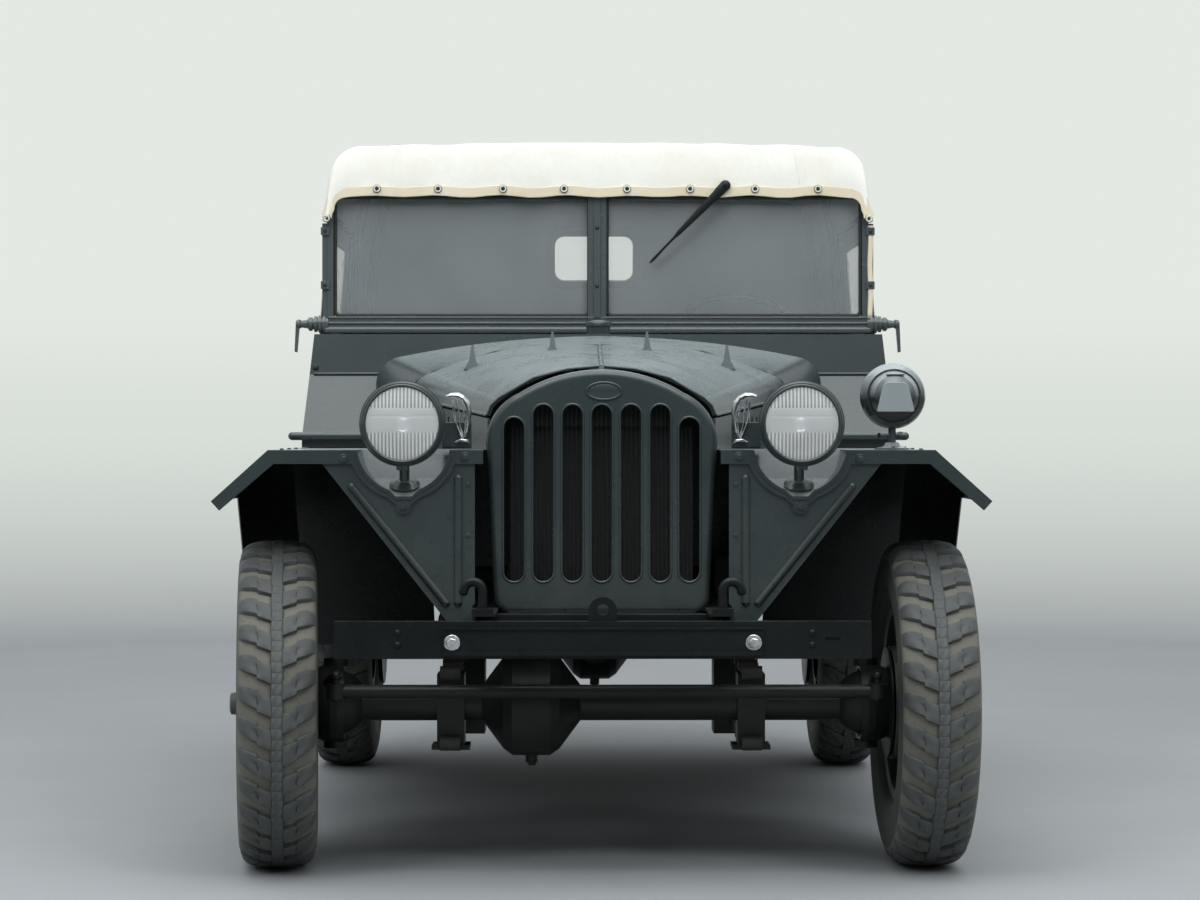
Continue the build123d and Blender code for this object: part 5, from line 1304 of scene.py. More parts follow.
@dataclass
class CanvasTop(Dressing):
    """The canvas roof with its front hem, rear quarters, back curtain and studs."""

    front_y: float = SCREEN_Y - 0.014
    bow_y: float = REAR_AXLE_Y + 0.250
    foot: Pair = (BACK_Y - 0.012, 1.023)
    top_z: float = 1.703
    crown_edge: Pair = (0.628, 1.691)
    # columns of the section at which the crown ends and the bend over its edge ends, and that bend's foot
    crown_last: int = 18
    bend_last: int = 26
    bend_z: float = 1.598
    # height where the back curtain starts, and where the sides change their lean
    slope_z: float = 1.620
    knee_z: float = 1.503
    flap_z: float = 1.540
    hem_z: float = 1.567
    door_end: float = 0.431
    stud_x: tuple = (-0.557, -0.403, -0.2395, -0.0857, 0.0731, 0.232, 0.396, 0.5547)
    stud_gap: float = 0.159
    window: Pair = (0.240, 0.140)
    window_z: float = 1.503

    def back_y(self, z: float) -> float:
        """Where the back curtain's plane is at a height."""
        part = (self.slope_z - z) / (self.slope_z - self.foot[1])
        return self.bow_y + 0.060 + (self.foot[0] - self.bow_y - 0.060) * part

    def side_x(self, z: float) -> float:
        """Half-width of the top at a height below its shoulder."""
        if z > self.knee_z:
            return 0.678 + (self.slope_z - z) * 0.018 / 0.117
        return 0.696 + (self.knee_z - z) * 0.042 / 0.480

    def crown_z(self, x: float) -> float:
        """Height of the crown's arc at a distance from the centre."""
        return self.top_z - 0.012 * (x / self.crown_edge[0]) ** 2

    def section(self, low: float) -> list[Pair]:
        """Half of the cross-section, from the centre out and down to a height.

        Args:
            low: height of the lower edge.

        Returns:
            X and Z of its points.
        """
        points = [(x, self.crown_z(x)) for x in steps(0.0, 0.600, self.crown_last)]
        start, pull, end = Vector(points[-1]), Vector((0.671, 1.689)), Vector((0.6815, self.bend_z))
        bend = steps(0.0, 1.0, self.bend_last - self.crown_last)
        points += [tuple(curve(start, pull, end, share)) for share in bend[1:]]
        return points + [(self.side_x(z), z) for z in steps(self.bend_z, low, 5)[1:]]

    def sag(self, x: float, y: float) -> float:
        """How far the roof hangs between its bows at a place."""
        supports = (self.front_y, DOOR_BOW_Y, self.bow_y - 0.020, self.bow_y + 0.06)
        for near, far in zip(supports, supports[1:]):
            if near <= y <= far:
                t = (y - near) / (far - near)
                span = 4 * t * (1 - t)
                return span * min(1.0, (far - near) / 0.6) * (0.009 - 0.004 * abs(x) / 0.6)
        return 0.0

    def beside(self, side: int, y: float, z: float, lift: float) -> Vector:
        """A point on one side of the top, lifted off its plane."""
        return Vector((side * (self.side_x(z) + lift), y, z))

    def behind(self, x: float, z: float, lift: float) -> Vector:
        """A point on the back of the top, lifted off its plane."""
        return Vector((x, self.back_y(z) + lift, z))

    def surface(self, column: int, y: float) -> Point:
        """A point of the roof, with its sag and creases.

        Args:
            column: place along the section, from the centre out; negative on the right.
            y: place along the car.

        Returns:
            The point.
        """
        low = self.flap_z if y > self.front_y + 0.040 else 1.506
        x, z = self.section(low)[abs(column)]
        side = -1 if column < 0 else 1
        spot = Vector((side * x, y, z))
        crease = 0.0016 * cloth_noise(spot, 7.0, 3.1)
        crease += 0.0008 * cloth_noise(Vector((spot.x * 3, spot.y, spot.z)), 16.0, 1.3)
        pull = max(0.0, 1.0 - (y - self.front_y) / 0.16)
        pull *= 0.0022 * math.cos(2 * math.pi * (x - 0.0731) / self.stud_gap) * (1 if x < 0.62 else 0)
        z -= self.sag(x, y) * (1 if z > 1.66 else 0.3) + pull * 0.6 - crease
        x -= self.sag(x, y) * (0.6 if z < 1.66 else 0.0) + 0.001
        limit = self.top_z - 0.001
        return (side * x, y, min(z, limit))

    def columns(self) -> range:
        """Columns of the roof from the right flap to the left."""
        last = len(self.section(self.flap_z)) - 1
        return range(-last, last + 1)

    def hem_point(self, column: int) -> Point:
        """A point of the front opening's edge.

        Args:
            column: place along the section.

        Returns:
            The point.
        """
        side = -1 if column < 0 else 1
        k = abs(column)
        if k <= self.crown_last:
            x = 0.628 * k / self.crown_last
            droop = 0.0026 * math.cos(2 * math.pi * (side * x - 0.0731 - 0.0795) / self.stud_gap)
            droop += 0.001 * math.sin(31 * x * side)
            return (side * x, self.front_y - 0.001, self.hem_z - droop)
        if k <= self.bend_last:
            turn = (k - self.crown_last) / (self.bend_last - self.crown_last) * math.pi / 2
            return (
                side * (0.628 + 0.040 * math.sin(turn)), self.front_y,
                self.hem_z - 0.040 * (1 - math.cos(turn))
            )
        t = (k - self.bend_last) / 5
        return (side * (0.668 + 0.012 * t), self.front_y, self.hem_z - 0.040 - 0.022 * t)

    def front_rows(self) -> list[list[Point]]:
        """Rows of the front face, from its hem up and round onto the roof."""
        rows = []
        for v in (0.0, 0.08, 0.18, 0.30, 0.45, 0.62, 0.80, 0.93):
            row = []
            for column in self.columns():
                low, (px, _, pz) = self.hem_point(column), self.surface(column, self.front_y)
                bent = abs(column) > self.crown_last
                inset = 0.5 if bent else 1.0
                px, pz = px - math.copysign(0.004 * inset, column) * bent, pz - 0.005 * inset
                scallop = math.cos(2 * math.pi * (low[0] - 0.1525) / self.stud_gap)
                bulge = math.sin(math.pi * v) * (0.0035 + 0.0022 * scallop)
                row.append(
                    (low[0] + (px - low[0]) * v, self.front_y - 0.0015 - bulge, low[2] + (pz - low[2]) * v)
                )
            rows.append(row)
        for y, inset in ((self.front_y - 0.0005, 0.0032), (self.front_y + 0.004, 0.0010)):
            row = []
            for column in self.columns():
                x, _, z = self.surface(column, self.front_y)
                row.append((x - math.copysign(inset, x) * (abs(column) > self.crown_last), y, z - inset))
            rows.append(row)
        return rows

    def roof(self) -> Form:
        """The whole cloth: front face, roof, flaps, back slope and back curtain.

        Returns:
            The form.
        """
        rows = self.front_rows()
        places = [self.front_y + step for step in (0.010, 0.024, 0.039, 0.046)]
        places += steps(self.front_y + 0.060, self.bow_y, 56)
        rows += [[self.surface(column, y) for column in self.columns()] for y in places]
        last = rows[-1]
        for part in (0.25, 0.5, 0.75, 1.0):
            row = []
            for x, y, z in last:
                low = min(z, 1.708 - 0.088 * part)
                row.append((x, y + (self.back_y(low) - y) * part, low))
            rows.append(row)
        form = Form().grid(rows)
        wide = [p for p in rows[-1] if p[2] > 1.58]
        form.join(self.curtain(wide))
        for side, _ in SIDES:
            form.join(self.quarter(side))
        return form

    def curtain(self, edge: list[Point]) -> Form:
        """The back curtain below the back slope, with its window cut out.

        Args:
            edge: the row of points that it hangs from.

        Returns:
            The form.
        """
        half_w, half_h = self.window[0] / 2, self.window[1] / 2
        heights = [edge[len(edge) // 2][2]] + steps(self.window_z + half_h, self.window_z - half_h, 6)
        heights += steps(1.433, self.foot[1], 18)[1:]
        shoulder = {round(0.68 * x / edge[-1][0], 5) for x, _, _ in edge if x > 0.601}
        plain = steps(0.0, half_w, 5) + steps(0.14, 0.68, 14)[:-2]
        halves = sorted({round(x, 5) for x in plain} | shoulder)
        spread = [-x for x in reversed(halves[1:])] + halves
        rows = []
        for n, z in enumerate(heights):
            wide = self.side_x(z) if n else edge[-1][0]
            row = []
            for x in spread:
                place = Vector((x * wide / halves[-1] if abs(x) > 0.14 else x, 0.0, z))
                wave = 0.0045 * cloth_noise(Vector((place.x * 2.2, 0.0, z)), 4.0, 8.0)
                wave *= min(1.0, (1.62 - z) * 4) * (abs(x) > 0.16)
                if n:
                    row.append((place.x, self.back_y(z) - 0.001 - abs(wave), z))
                else:
                    row.append(min(edge, key=lambda p: abs(p[0] - place.x)))
            rows.append(row)
        return Form().grid(rows).without(lambda m: abs(m.x) < half_w and abs(m.z - self.window_z) < half_h)

    def quarter(self, side: int) -> Form:
        """The curtain behind one door.

        Args:
            side: 1 on the left, -1 on the right.

        Returns:
            The form.
        """
        down, back = 22, 40
        rows = []
        for k, z in enumerate(steps(self.flap_z, self.foot[1] + 0.003, down)):
            row = []
            for n, y in enumerate(steps(self.door_end, self.back_y(z), back)):
                free = math.sin(math.pi * k / down) * math.sin(math.pi * n / back) ** 0.5
                fold = 0.0045 * cloth_noise(
                    Vector((0.0, y * 2.6 - (1.5 - z) * 0.8, z * 0.7)), 3.2, 5.0 + side
                ) * free
                row.append((side * (self.side_x(z) - 0.001 - 0.0025 * free + min(fold, 0.002)), y, z))
            rows.append(row)
        return Form().grid(rows)

    def ribbon(self, spots: list[tuple[Vector, Vector]], half: float, proud: float) -> Form:
        """A flat band along a line.

        Args:
            spots: place and outward direction along the band.
            half: half its width.
            proud: how far it stands off the cloth.

        Returns:
            The form.
        """
        rows = []
        for n, (place, out) in enumerate(spots):
            ahead = spots[min(n + 1, len(spots) - 1)][0] - spots[max(n - 1, 0)][0]
            across = ahead.cross(out).normalized() * half
            section = ((-1.0, 0.0), (-0.92, 1.0), (0.0, 1.15), (0.92, 1.0), (1.0, 0.0))
            rows.append([place + across * a + out * proud * b for a, b in section])
        return Form().grid(rows)

    def seams(self) -> bpy.types.Object:
        """The felled seams along the roof and round the back."""
        form = Form()
        length = 1.13 * (self.bow_y - self.front_y) / 1.16
        for column in (15, -15):
            line = [
                Vector(self.surface(column, y))
                for y in steps(self.front_y + 0.012, self.front_y + 0.012 + length, 50)
            ]
            line = [(p + Vector((0, 0, -0.0005)), Vector(UPWARD)) for p in line if p.y < self.bow_y]
            form.join(self.ribbon(line, 0.009, 0.0022))
            low, high = Vector(self.hem_point(column)), Vector(self.surface(column, self.front_y))
            face = []
            for v in (0.12, 0.3, 0.5, 0.7, 0.9):
                spot = low.lerp(high, v)
                spot.y = self.front_y - 0.0020 - 0.0035 * math.sin(math.pi * v)
                face.append((spot, Vector(FORWARD)))
            form.join(self.ribbon(face, 0.009, 0.0016))
        for side, _ in SIDES:
            out = Vector((side * 0.4, 0.9, 0.3)).normalized()
            line = [
                (Vector((side * (self.side_x(z) - 0.006), self.back_y(z) - 0.002, z)), out)
                for z in steps(1.60, 1.03, 20)
            ]
            form.join(self.ribbon(line, 0.010, 0.003))
            out = Vector((side, 0, 0.1)).normalized()
            line = [
                (self.beside(side, y, 1.552, -0.0005), out)
                for y in steps(self.door_end, self.door_end + 0.76, 20)
            ]
            form.join(self.ribbon(line, 0.010, 0.002))
        return self.fit(form, "roof_seams", "roof_canvas", "canvas", smooth=50)

    def hems(self) -> bpy.types.Object:
        """The doubled hems of the front opening, the flaps and the curtains."""
        form = Form()
        line = []
        for column in self.columns():
            x, y, z = self.hem_point(column)
            side = math.copysign(1, column)
            toward = Vector(UPWARD) if abs(column) <= self.crown_last else Vector((side * 0.7, 0, 0.7))
            place = Vector((x, y - 0.0025, z)) + toward * 0.012
            widest = self.side_x(place.z) - 0.011
            place.x = max(-widest, min(widest, place.x))
            line.append((place, Vector(FORWARD)))
        form.join(self.ribbon(line, 0.0125, 0.0028))
        for side, _ in SIDES:
            out = Vector((side, 0, 0.15)).normalized()
            flap = []
            for k, y in enumerate(steps(self.front_y + 0.05, self.door_end, 30)):
                flap.append(
                    (self.beside(side, y, 1.549, -0.0005) + Vector((0, 0, 0.0015 * math.sin(k * 0.9))), out)
                )
            form.join(self.ribbon(flap, 0.011, 0.0025))
            out = Vector((side, 0, 0.05)).normalized()
            places = steps(self.door_end + 0.004, self.back_y(1.037) - 0.004, 30)
            form.join(
                self.ribbon([(self.beside(side, y, 1.037, -0.001), out) for y in places], 0.012, 0.0025)
            )
            heights = steps(1.535, 1.030, 20)
            post = [(self.beside(side, self.door_end + 0.011, z, -0.001), out) for z in heights]
            form.join(self.ribbon(post, 0.010, 0.0025))
        back = [(self.behind(x, 1.037, -0.001), Vector((0, 0.95, 0.31))) for x in steps(-0.72, 0.72, 40)]
        form.join(self.ribbon(back, 0.012, 0.0025))
        return self.fit(form, "top_hems", "hem_canvas", "canvas", smooth=50)

    def window_frame(self) -> bpy.types.Object:
        """The doubled cloth sewn round the back window, on both faces."""
        slope = Vector((0.0, self.foot[0] - self.bow_y - 0.060, self.foot[1] - self.slope_z)).normalized()
        out = Vector((1, 0, 0)).cross(slope).normalized()
        out = out if out.y > 0 else -out
        middle = Vector((0.0, self.back_y(self.window_z) - 0.002, self.window_z))
        # half width, half height, corner radius and lift off the cloth
        section = (
            (0.145, 0.095, 0.045, 0.0), (0.144, 0.094, 0.045, 0.0028), (0.1215, 0.0715, 0.031, 0.0030),
            (0.1185, 0.0685, 0.029, 0.0), (0.1215, 0.0715, 0.031, -0.0050), (0.144, 0.094, 0.045, -0.0048),
        )
        rings = []
        for half_w, half_h, corner, lift in section:
            ring = []
            for turn in around(48):
                c, s = math.cos(turn), math.sin(turn)
                sx = math.copysign(half_w - corner, c) + corner * c
                sz = math.copysign(half_h - corner, s) + corner * s
                ring.append(middle + Vector((sx, 0, 0)) - slope * sz + out * lift)
            rings.append(ring)
        frame = Form().grid(rings, closed_across=True, closed_along=True)
        return self.fit(frame, "back_window_frame", "hem_canvas", "canvas", smooth=50)

    def studs(self) -> list[bpy.types.Object]:
        """The press studs: pale rings with dark middles, each inside a thin black ring painted as its shadow.
        """
        rings, middles_and_shadow_rings = Form(), Form()
        spots = [(Vector((x, self.front_y - 0.0075, 1.5855)), (0, -1, 0.05)) for x in self.stud_x]
        for side, _ in SIDES:
            spots.append((Vector((side * 0.6835, self.front_y - 0.004, 1.511)), (side * 0.25, -1, 0)))
            spots += [(self.beside(side, 0.50 + 0.145 * k, 1.040, 0.002), (side, 0, 0)) for k in range(7)]
            spots += [
                (self.beside(side, self.door_end + 0.012, z, 0.002), (side, 0, 0)) for z in (1.16, 1.30, 1.44)
            ]
        spots += [(self.behind(x, 1.040, 0.0022), (0, 0.95, 0.31)) for x in steps(-0.60, 0.60, 6)]
        for place, out in spots:
            rings.turned(
                [(-0.001, 0.0092), (0.0024, 0.0092), (0.0040, 0.0078), (0.0038, 0.0054), (0.0012, 0.0050)],
                place, out, sides=18
            )
            middles_and_shadow_rings.turned(
                [(0.0002, 0.0052), (0.0020, 0.0036), (0.0028, 0.0020), (0.0030, 0.0)], place, out, sides=12
            )
            # a thin black ring round each stud: painted shadow
            middles_and_shadow_rings.turned(
                [(-0.0008, 0.0090), (0.0006, 0.0090), (0.0008, 0.0104), (-0.0008, 0.0106)], place, out,
                sides=18
            )
        return [
            self.fit(rings, "top_stud_rings", "stud_brass", "canvas", smooth=45),
            self.fit(middles_and_shadow_rings, "top_stud_caps_and_shadow_rings", "black_enamel", "canvas", smooth=45),
        ]

    def pillar_strip(self) -> bpy.types.Object:
        """The canvas strip that closes the gap behind the left windscreen post."""
        out = Vector((0.2, -1, 0)).normalized()
        spots = []
        for k, z in enumerate(steps(1.495, 1.260, 16)):
            spots.append((Vector((0.6885 + 0.001 * math.sin(k * 0.7), SCREEN_Y + 0.0004, z)), out))
        strip = self.ribbon(spots, 0.0055, 0.003)
        return self.fit(strip, "pillar_strip", "hem_canvas", "canvas", smooth=50, thick=0.002)

    def build(self) -> None:
        """Makes the top."""
        form = self.roof()
        top = self.fit(form, "canvas_top", "roof_canvas", "canvas", smooth=65, thick=0.002)
        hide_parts("soft_top")
        extra = [self.seams(), self.hems(), self.window_frame(), *self.studs()]
        strip = self.pillar_strip()


# ---------------------------------------------------------------------------- small fittings
def hex_bolt(
    form: Form, place: Sequence[float], out: Point, size: float = 0.008, washer: bool = True
) -> None:
    """Adds a hexagon head, on a washer where wanted.

    Args:
        form: the form to add it to.
        place: the point it stands on.
        out: which way it faces.
        size: radius of the head.
        washer: whether it has a washer.
    """
    lift = 0.0
    if washer:
        form.turned(
            [(-0.001, size * 1.6), (0.0012, size * 1.6), (0.0018, size * 1.5), (0.0018, 0.0)], place, out,
            sides=20
        )
        lift = 0.0015
    head = size * 0.72
    form.turned(
        [(lift - 0.0005, size), (lift + head * 0.85, size), (lift + head, size * 0.84), (lift + head, 0.0)],
        place, out, sides=6
    )


def screw_head(form: Form, place: Sequence[float], out: Point, size: float) -> None:
    """Adds a domed screw head.

    Args:
        form: the form to add it to.
        place: the point it stands on.
        out: which way it faces.
        size: radius of the head.
    """
    profile = [
        (-0.0005, size), (0.0008, size), (size * 0.42, size * 0.72), (size * 0.56, size * 0.3),
        (size * 0.58, 0.0)
    ]
    form.turned(profile, place, out, sides=18)


def screw_slot(form: Form, place: Sequence[float], out: Point, size: float) -> None:
    """Adds a black bar as the slot of a domed screw head: painted shade in the slot.

    Args:
        form: the form to add it to.
        place: the point the head stands on.
        out: which way it faces.
        size: radius of the head.
    """
    along = Vector(out).normalized()
    side = along.orthogonal().normalized()
    up = along.cross(side)
    middle = Vector(place) + along * size * 0.50
    long, thick = side * size * 0.74, size * 0.13
    ends = (-1, 1)
    bar = [middle + long * a + up * b * thick + along * c * thick for a in ends for b in ends for c in ends]
    form.add(bar, BOX_FACES)


def rounded_loop(half_w: float, half_h: float, corner: float, count: int = 8) -> list[Pair]:
    """A rounded rectangle about the origin.

    Args:
        half_w: half its width.
        half_h: half its height.
        corner: radius of its corners.
        count: steps in each corner.

    Returns:
        Its points, once round.
    """
    loop = []
    for quarter, (sx, sy) in enumerate(((1, 1), (-1, 1), (-1, -1), (1, -1))):
        for k in range(count + 1):
            turn = math.pi / 2 * (quarter + k / count)
            loop.append((
                sx * (half_w - corner) + corner * math.cos(turn),
                sy * (half_h - corner) + corner * math.sin(turn),
            ))
    return loop


# ---------------------------------------------------------------------------- doors
@dataclass
class Doors(Dressing):
    """Canvas doors on tube frames, with sewn window borders, handles and hinge straps."""

    # height and X of the outer face
    face: tuple = ((0.560, 0.737), (0.955, 0.737), (1.112, 0.721), (1.215, 0.710), (1.530, 0.688))
    top: float = 1.530
    foot: float = 0.560
    knee: float = 0.670
    step: float = 1.232
    front: float = -0.235
    nose: float = -0.295
    back: float = 0.425
    cut: float = 0.090
    window_y: Pair = (-0.185, 0.335)
    window_z: Pair = (1.260, 1.470)
    hinge: Pair = (0.757, -0.262)
    hinge_z: Pair = (0.725, 0.905)

    def face_x(self, z: float) -> float:
        """X of the door's outer face at a height."""
        return along_profile(self.face, z)

    def reach(self, z: float) -> Pair:
        """Front and back edge of the door at a height."""
        front, back = (self.nose if z > self.step else self.front), self.back
        if z < self.knee:
            back -= self.cut * (self.knee - z) / (self.knee - self.foot)
            front += self.cut * (self.knee - z) / (self.knee - self.foot)
        return front, back

    def outline(self, inset: float) -> list[Point]:
        """The door's edge, once round from the front foot, brought in by an amount."""
        i, low = inset, inset * 0.55
        waist = 6
        corners = [
            (self.front + self.cut + low, self.foot + i), (self.back - self.cut - low, self.foot + i),
            (self.back - i, self.knee + low), (self.back - i, self.top - i), (self.nose + i, self.top - i),
            (self.nose + i, self.step + i), (self.front + i, self.step + i),
            (self.front + i, self.knee + low),
        ]
        path = []
        for n, here in enumerate(corners):
            spot = Vector(here)
            before, after = Vector(corners[n - 1]), Vector(corners[(n + 1) % len(corners)])
            radius = 0.008 if n == waist else 0.022
            start = spot + (before - spot).normalized() * radius
            end = spot + (after - spot).normalized() * radius
            path += [curve(start, spot, end, k / 5) for k in range(6)]
        return [(self.face_x(p.y), p.x, p.y) for p in path]

    def skin(self) -> Form:
        """The canvas, pulled in a little between the tubes, with the window cut out.

        Returns:
            The form.
        """
        levels = steps(0.560, 0.670, 4)[:-1] + steps(0.670, self.step, 22)[:-1]
        levels += [self.step + 1e-6, 1.2325, 1.246]
        levels += steps(1.260, 1.470, 8) + [1.485, 1.500, 1.515, 1.530]
        rows = []
        for z in levels:
            front, back = self.reach(z)
            near, far = max(self.window_y[0], front + 0.05), min(self.window_y[1], back - 0.05)
            row = []
            for y in steps(front, near, 4)[:-1] + steps(near, far, 18)[:-1] + steps(far, back, 4):
                edges = ((z - self.foot) / 0.10, abs(z - 1.223) / 0.07, (y - front) / 0.07, (back - y) / 0.07)
                panel = max(0.0, (1.0 if z < self.step else 0.25) * min(1.0, *edges))
                fold = 0.003 * cloth_noise(Vector((0.4, y * 2.1 + z * 0.7, z * 1.1)), 4.2, 2.2)
                fold += 0.0012 * cloth_noise(Vector((0.1, y, z * 2.5)), 15.0, 6.0)
                row.append((self.face_x(z) - 0.0022 + panel * (min(fold, 0.0015) - 0.0035), y, z))
            rows.append(row)
        (y0, y1), (z0, z1) = self.window_y, self.window_z
        return Form().grid(rows).without(lambda m: y0 < m.y < y1 and z0 < m.z < z1)

    def frame(self) -> Form:
        """The tube frame with its waist bar.

        Returns:
            The form.
        """
        form = Form().tube([(x - 0.0135, y, z) for x, y, z in self.outline(0.0085)], 0.0075, 12, closed=True)
        x, front = self.face_x(1.223) - 0.0125, self.front + 0.009
        return form.tube([(x, y, 1.223) for y in steps(front, front + 0.642, 8)], 0.0065, 12)

    def band(self, loop: list[Point], half: float, proud: float) -> Form:
        """A flat band of doubled cloth along a closed loop on the door's face.

        Args:
            loop: its middle line.
            half: half its width.
            proud: how far it stands off the cloth.

        Returns:
            The form.
        """
        out = Vector((1.0, 0.0, 0.06)).normalized()
        # share of the half width, share of the height: a sewn line sinks in near either edge
        left = ((-1.0, 0.0), (-0.9, 1.0), (-0.62, 1.25), (-0.55, 0.7), (-0.48, 1.25))
        section = left + tuple((-a, b) for a, b in reversed(left))
        rows = []
        for n, place in enumerate(loop):
            along = (Vector(loop[(n + 1) % len(loop)]) - Vector(loop[n - 1])).normalized()
            across = along.cross(out).normalized() * half
            row = [Vector(place) + across * a + out * proud * b for a, b in section]
            row[0], row[-1] = Vector(place) - across + out * 0.0002, Vector(place) + across + out * 0.0002
            rows.append(row)
        return Form().grid(rows, closed_along=True)

    def window_border(self) -> Form:
        """The doubled cloth sewn round the window opening, outside and in."""
        (y0, y1), (z0, z1) = self.window_y, self.window_z
        form = Form()
        loop = rounded_loop((y1 - y0) / 2 + 0.012, (z1 - z0) / 2 + 0.012, 0.028)
        spots = [((y0 + y1) / 2 + a, (z0 + z1) / 2 + b) for a, b in loop]
        form.join(self.band([(self.face_x(z) - 0.0026, y, z) for y, z in spots], 0.0165, 0.0016))
        inner = self.band([(-self.face_x(z) + 0.0110, y, z) for y, z in spots], 0.0165, 0.0012)
        return form.join(inner.mirror())

    def straps(self) -> Form:
        """Hinge straps with their knuckles, and the edges' bolts.

        Returns:
            The form.
        """
        knuckle = (
            (-0.010, 0.0), (-0.010, 0.0072), (-0.009, 0.008), (0.009, 0.008), (0.010, 0.0072), (0.010, 0.0)
        )
        form = Form()
        x, y = self.hinge
        for z in self.hinge_z:
            form.box((0.738, y + 0.004, z - 0.010), (0.7425, -0.098, z + 0.010))
            form.box((0.7425, y + 0.004, z - 0.009), (0.760, y + 0.030, z + 0.009))
            form.turned(knuckle, (x, y, z), UPWARD, sides=24)
            for step in (0.060, 0.100, 0.140):
                hex_bolt(form, (0.7424, y + step, z), LEFTWARD, 0.0055, False)
        return form

    def handle(self) -> Form:
        """The outside handle on its round plate, near the back edge.

        Returns:
            The form.
        """
        plate = (
            (0.0, 0.024), (0.003, 0.024), (0.005, 0.020), (0.006, 0.012), (0.020, 0.009), (0.026, 0.009),
            (0.027, 0.0)
        )
        z, y = 1.158, 0.372
        x = self.face_x(z) - 0.002
        # how far from the plate's middle, in X, Y and Z
        lever = (
            (0.022, 0.008, 0.0), (0.025, -0.018, 0.001), (0.025, -0.050, 0.002), (0.022, -0.078, 0.001),
            (0.018, -0.088, 0.0)
        )
        form = Form().turned(plate, (x, y, z), (1, 0, 0.07), sides=28)
        return form.tube(
            [(x + a, y + b, z + c) for a, b, c in lever], [0.0075, 0.0072, 0.0062, 0.0056, 0.003], 14
        )

    def build(self) -> None:
        """Makes both doors."""
        slot = "canvas_door"
        for body, name in ((Body.DOOR_LEFT, "left"), (Body.DOOR_RIGHT, "right")):
            def part(form: Form, what: str, finish: str, **edges: float) -> bpy.types.Object:
                """Makes one piece of this door from its form on the left door."""
                return self.fit(form.on(name), f"door_{what}_{name}", finish, slot, body, **edges)

            frame = part(self.frame(), "tubes", "body_paint", smooth=50)
            skin = part(self.skin(), "skin", "door_canvas", smooth=70, thick=0.002)
            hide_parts(f"door_{name}")
            border = part(self.window_border(), "window_border", "hem_canvas", smooth=50)
            edge = [(x - 0.0026, y, z) for x, y, z in self.outline(0.013)]
            hem = part(self.band(edge, 0.0115, 0.0016), "hem", "hem_canvas", smooth=50)
            part(self.straps(), "straps", "body_paint", bevel=0.001, smooth=40)
            part(self.handle(), "handle", "black_enamel", smooth=50)
        log.info("two canvas doors")


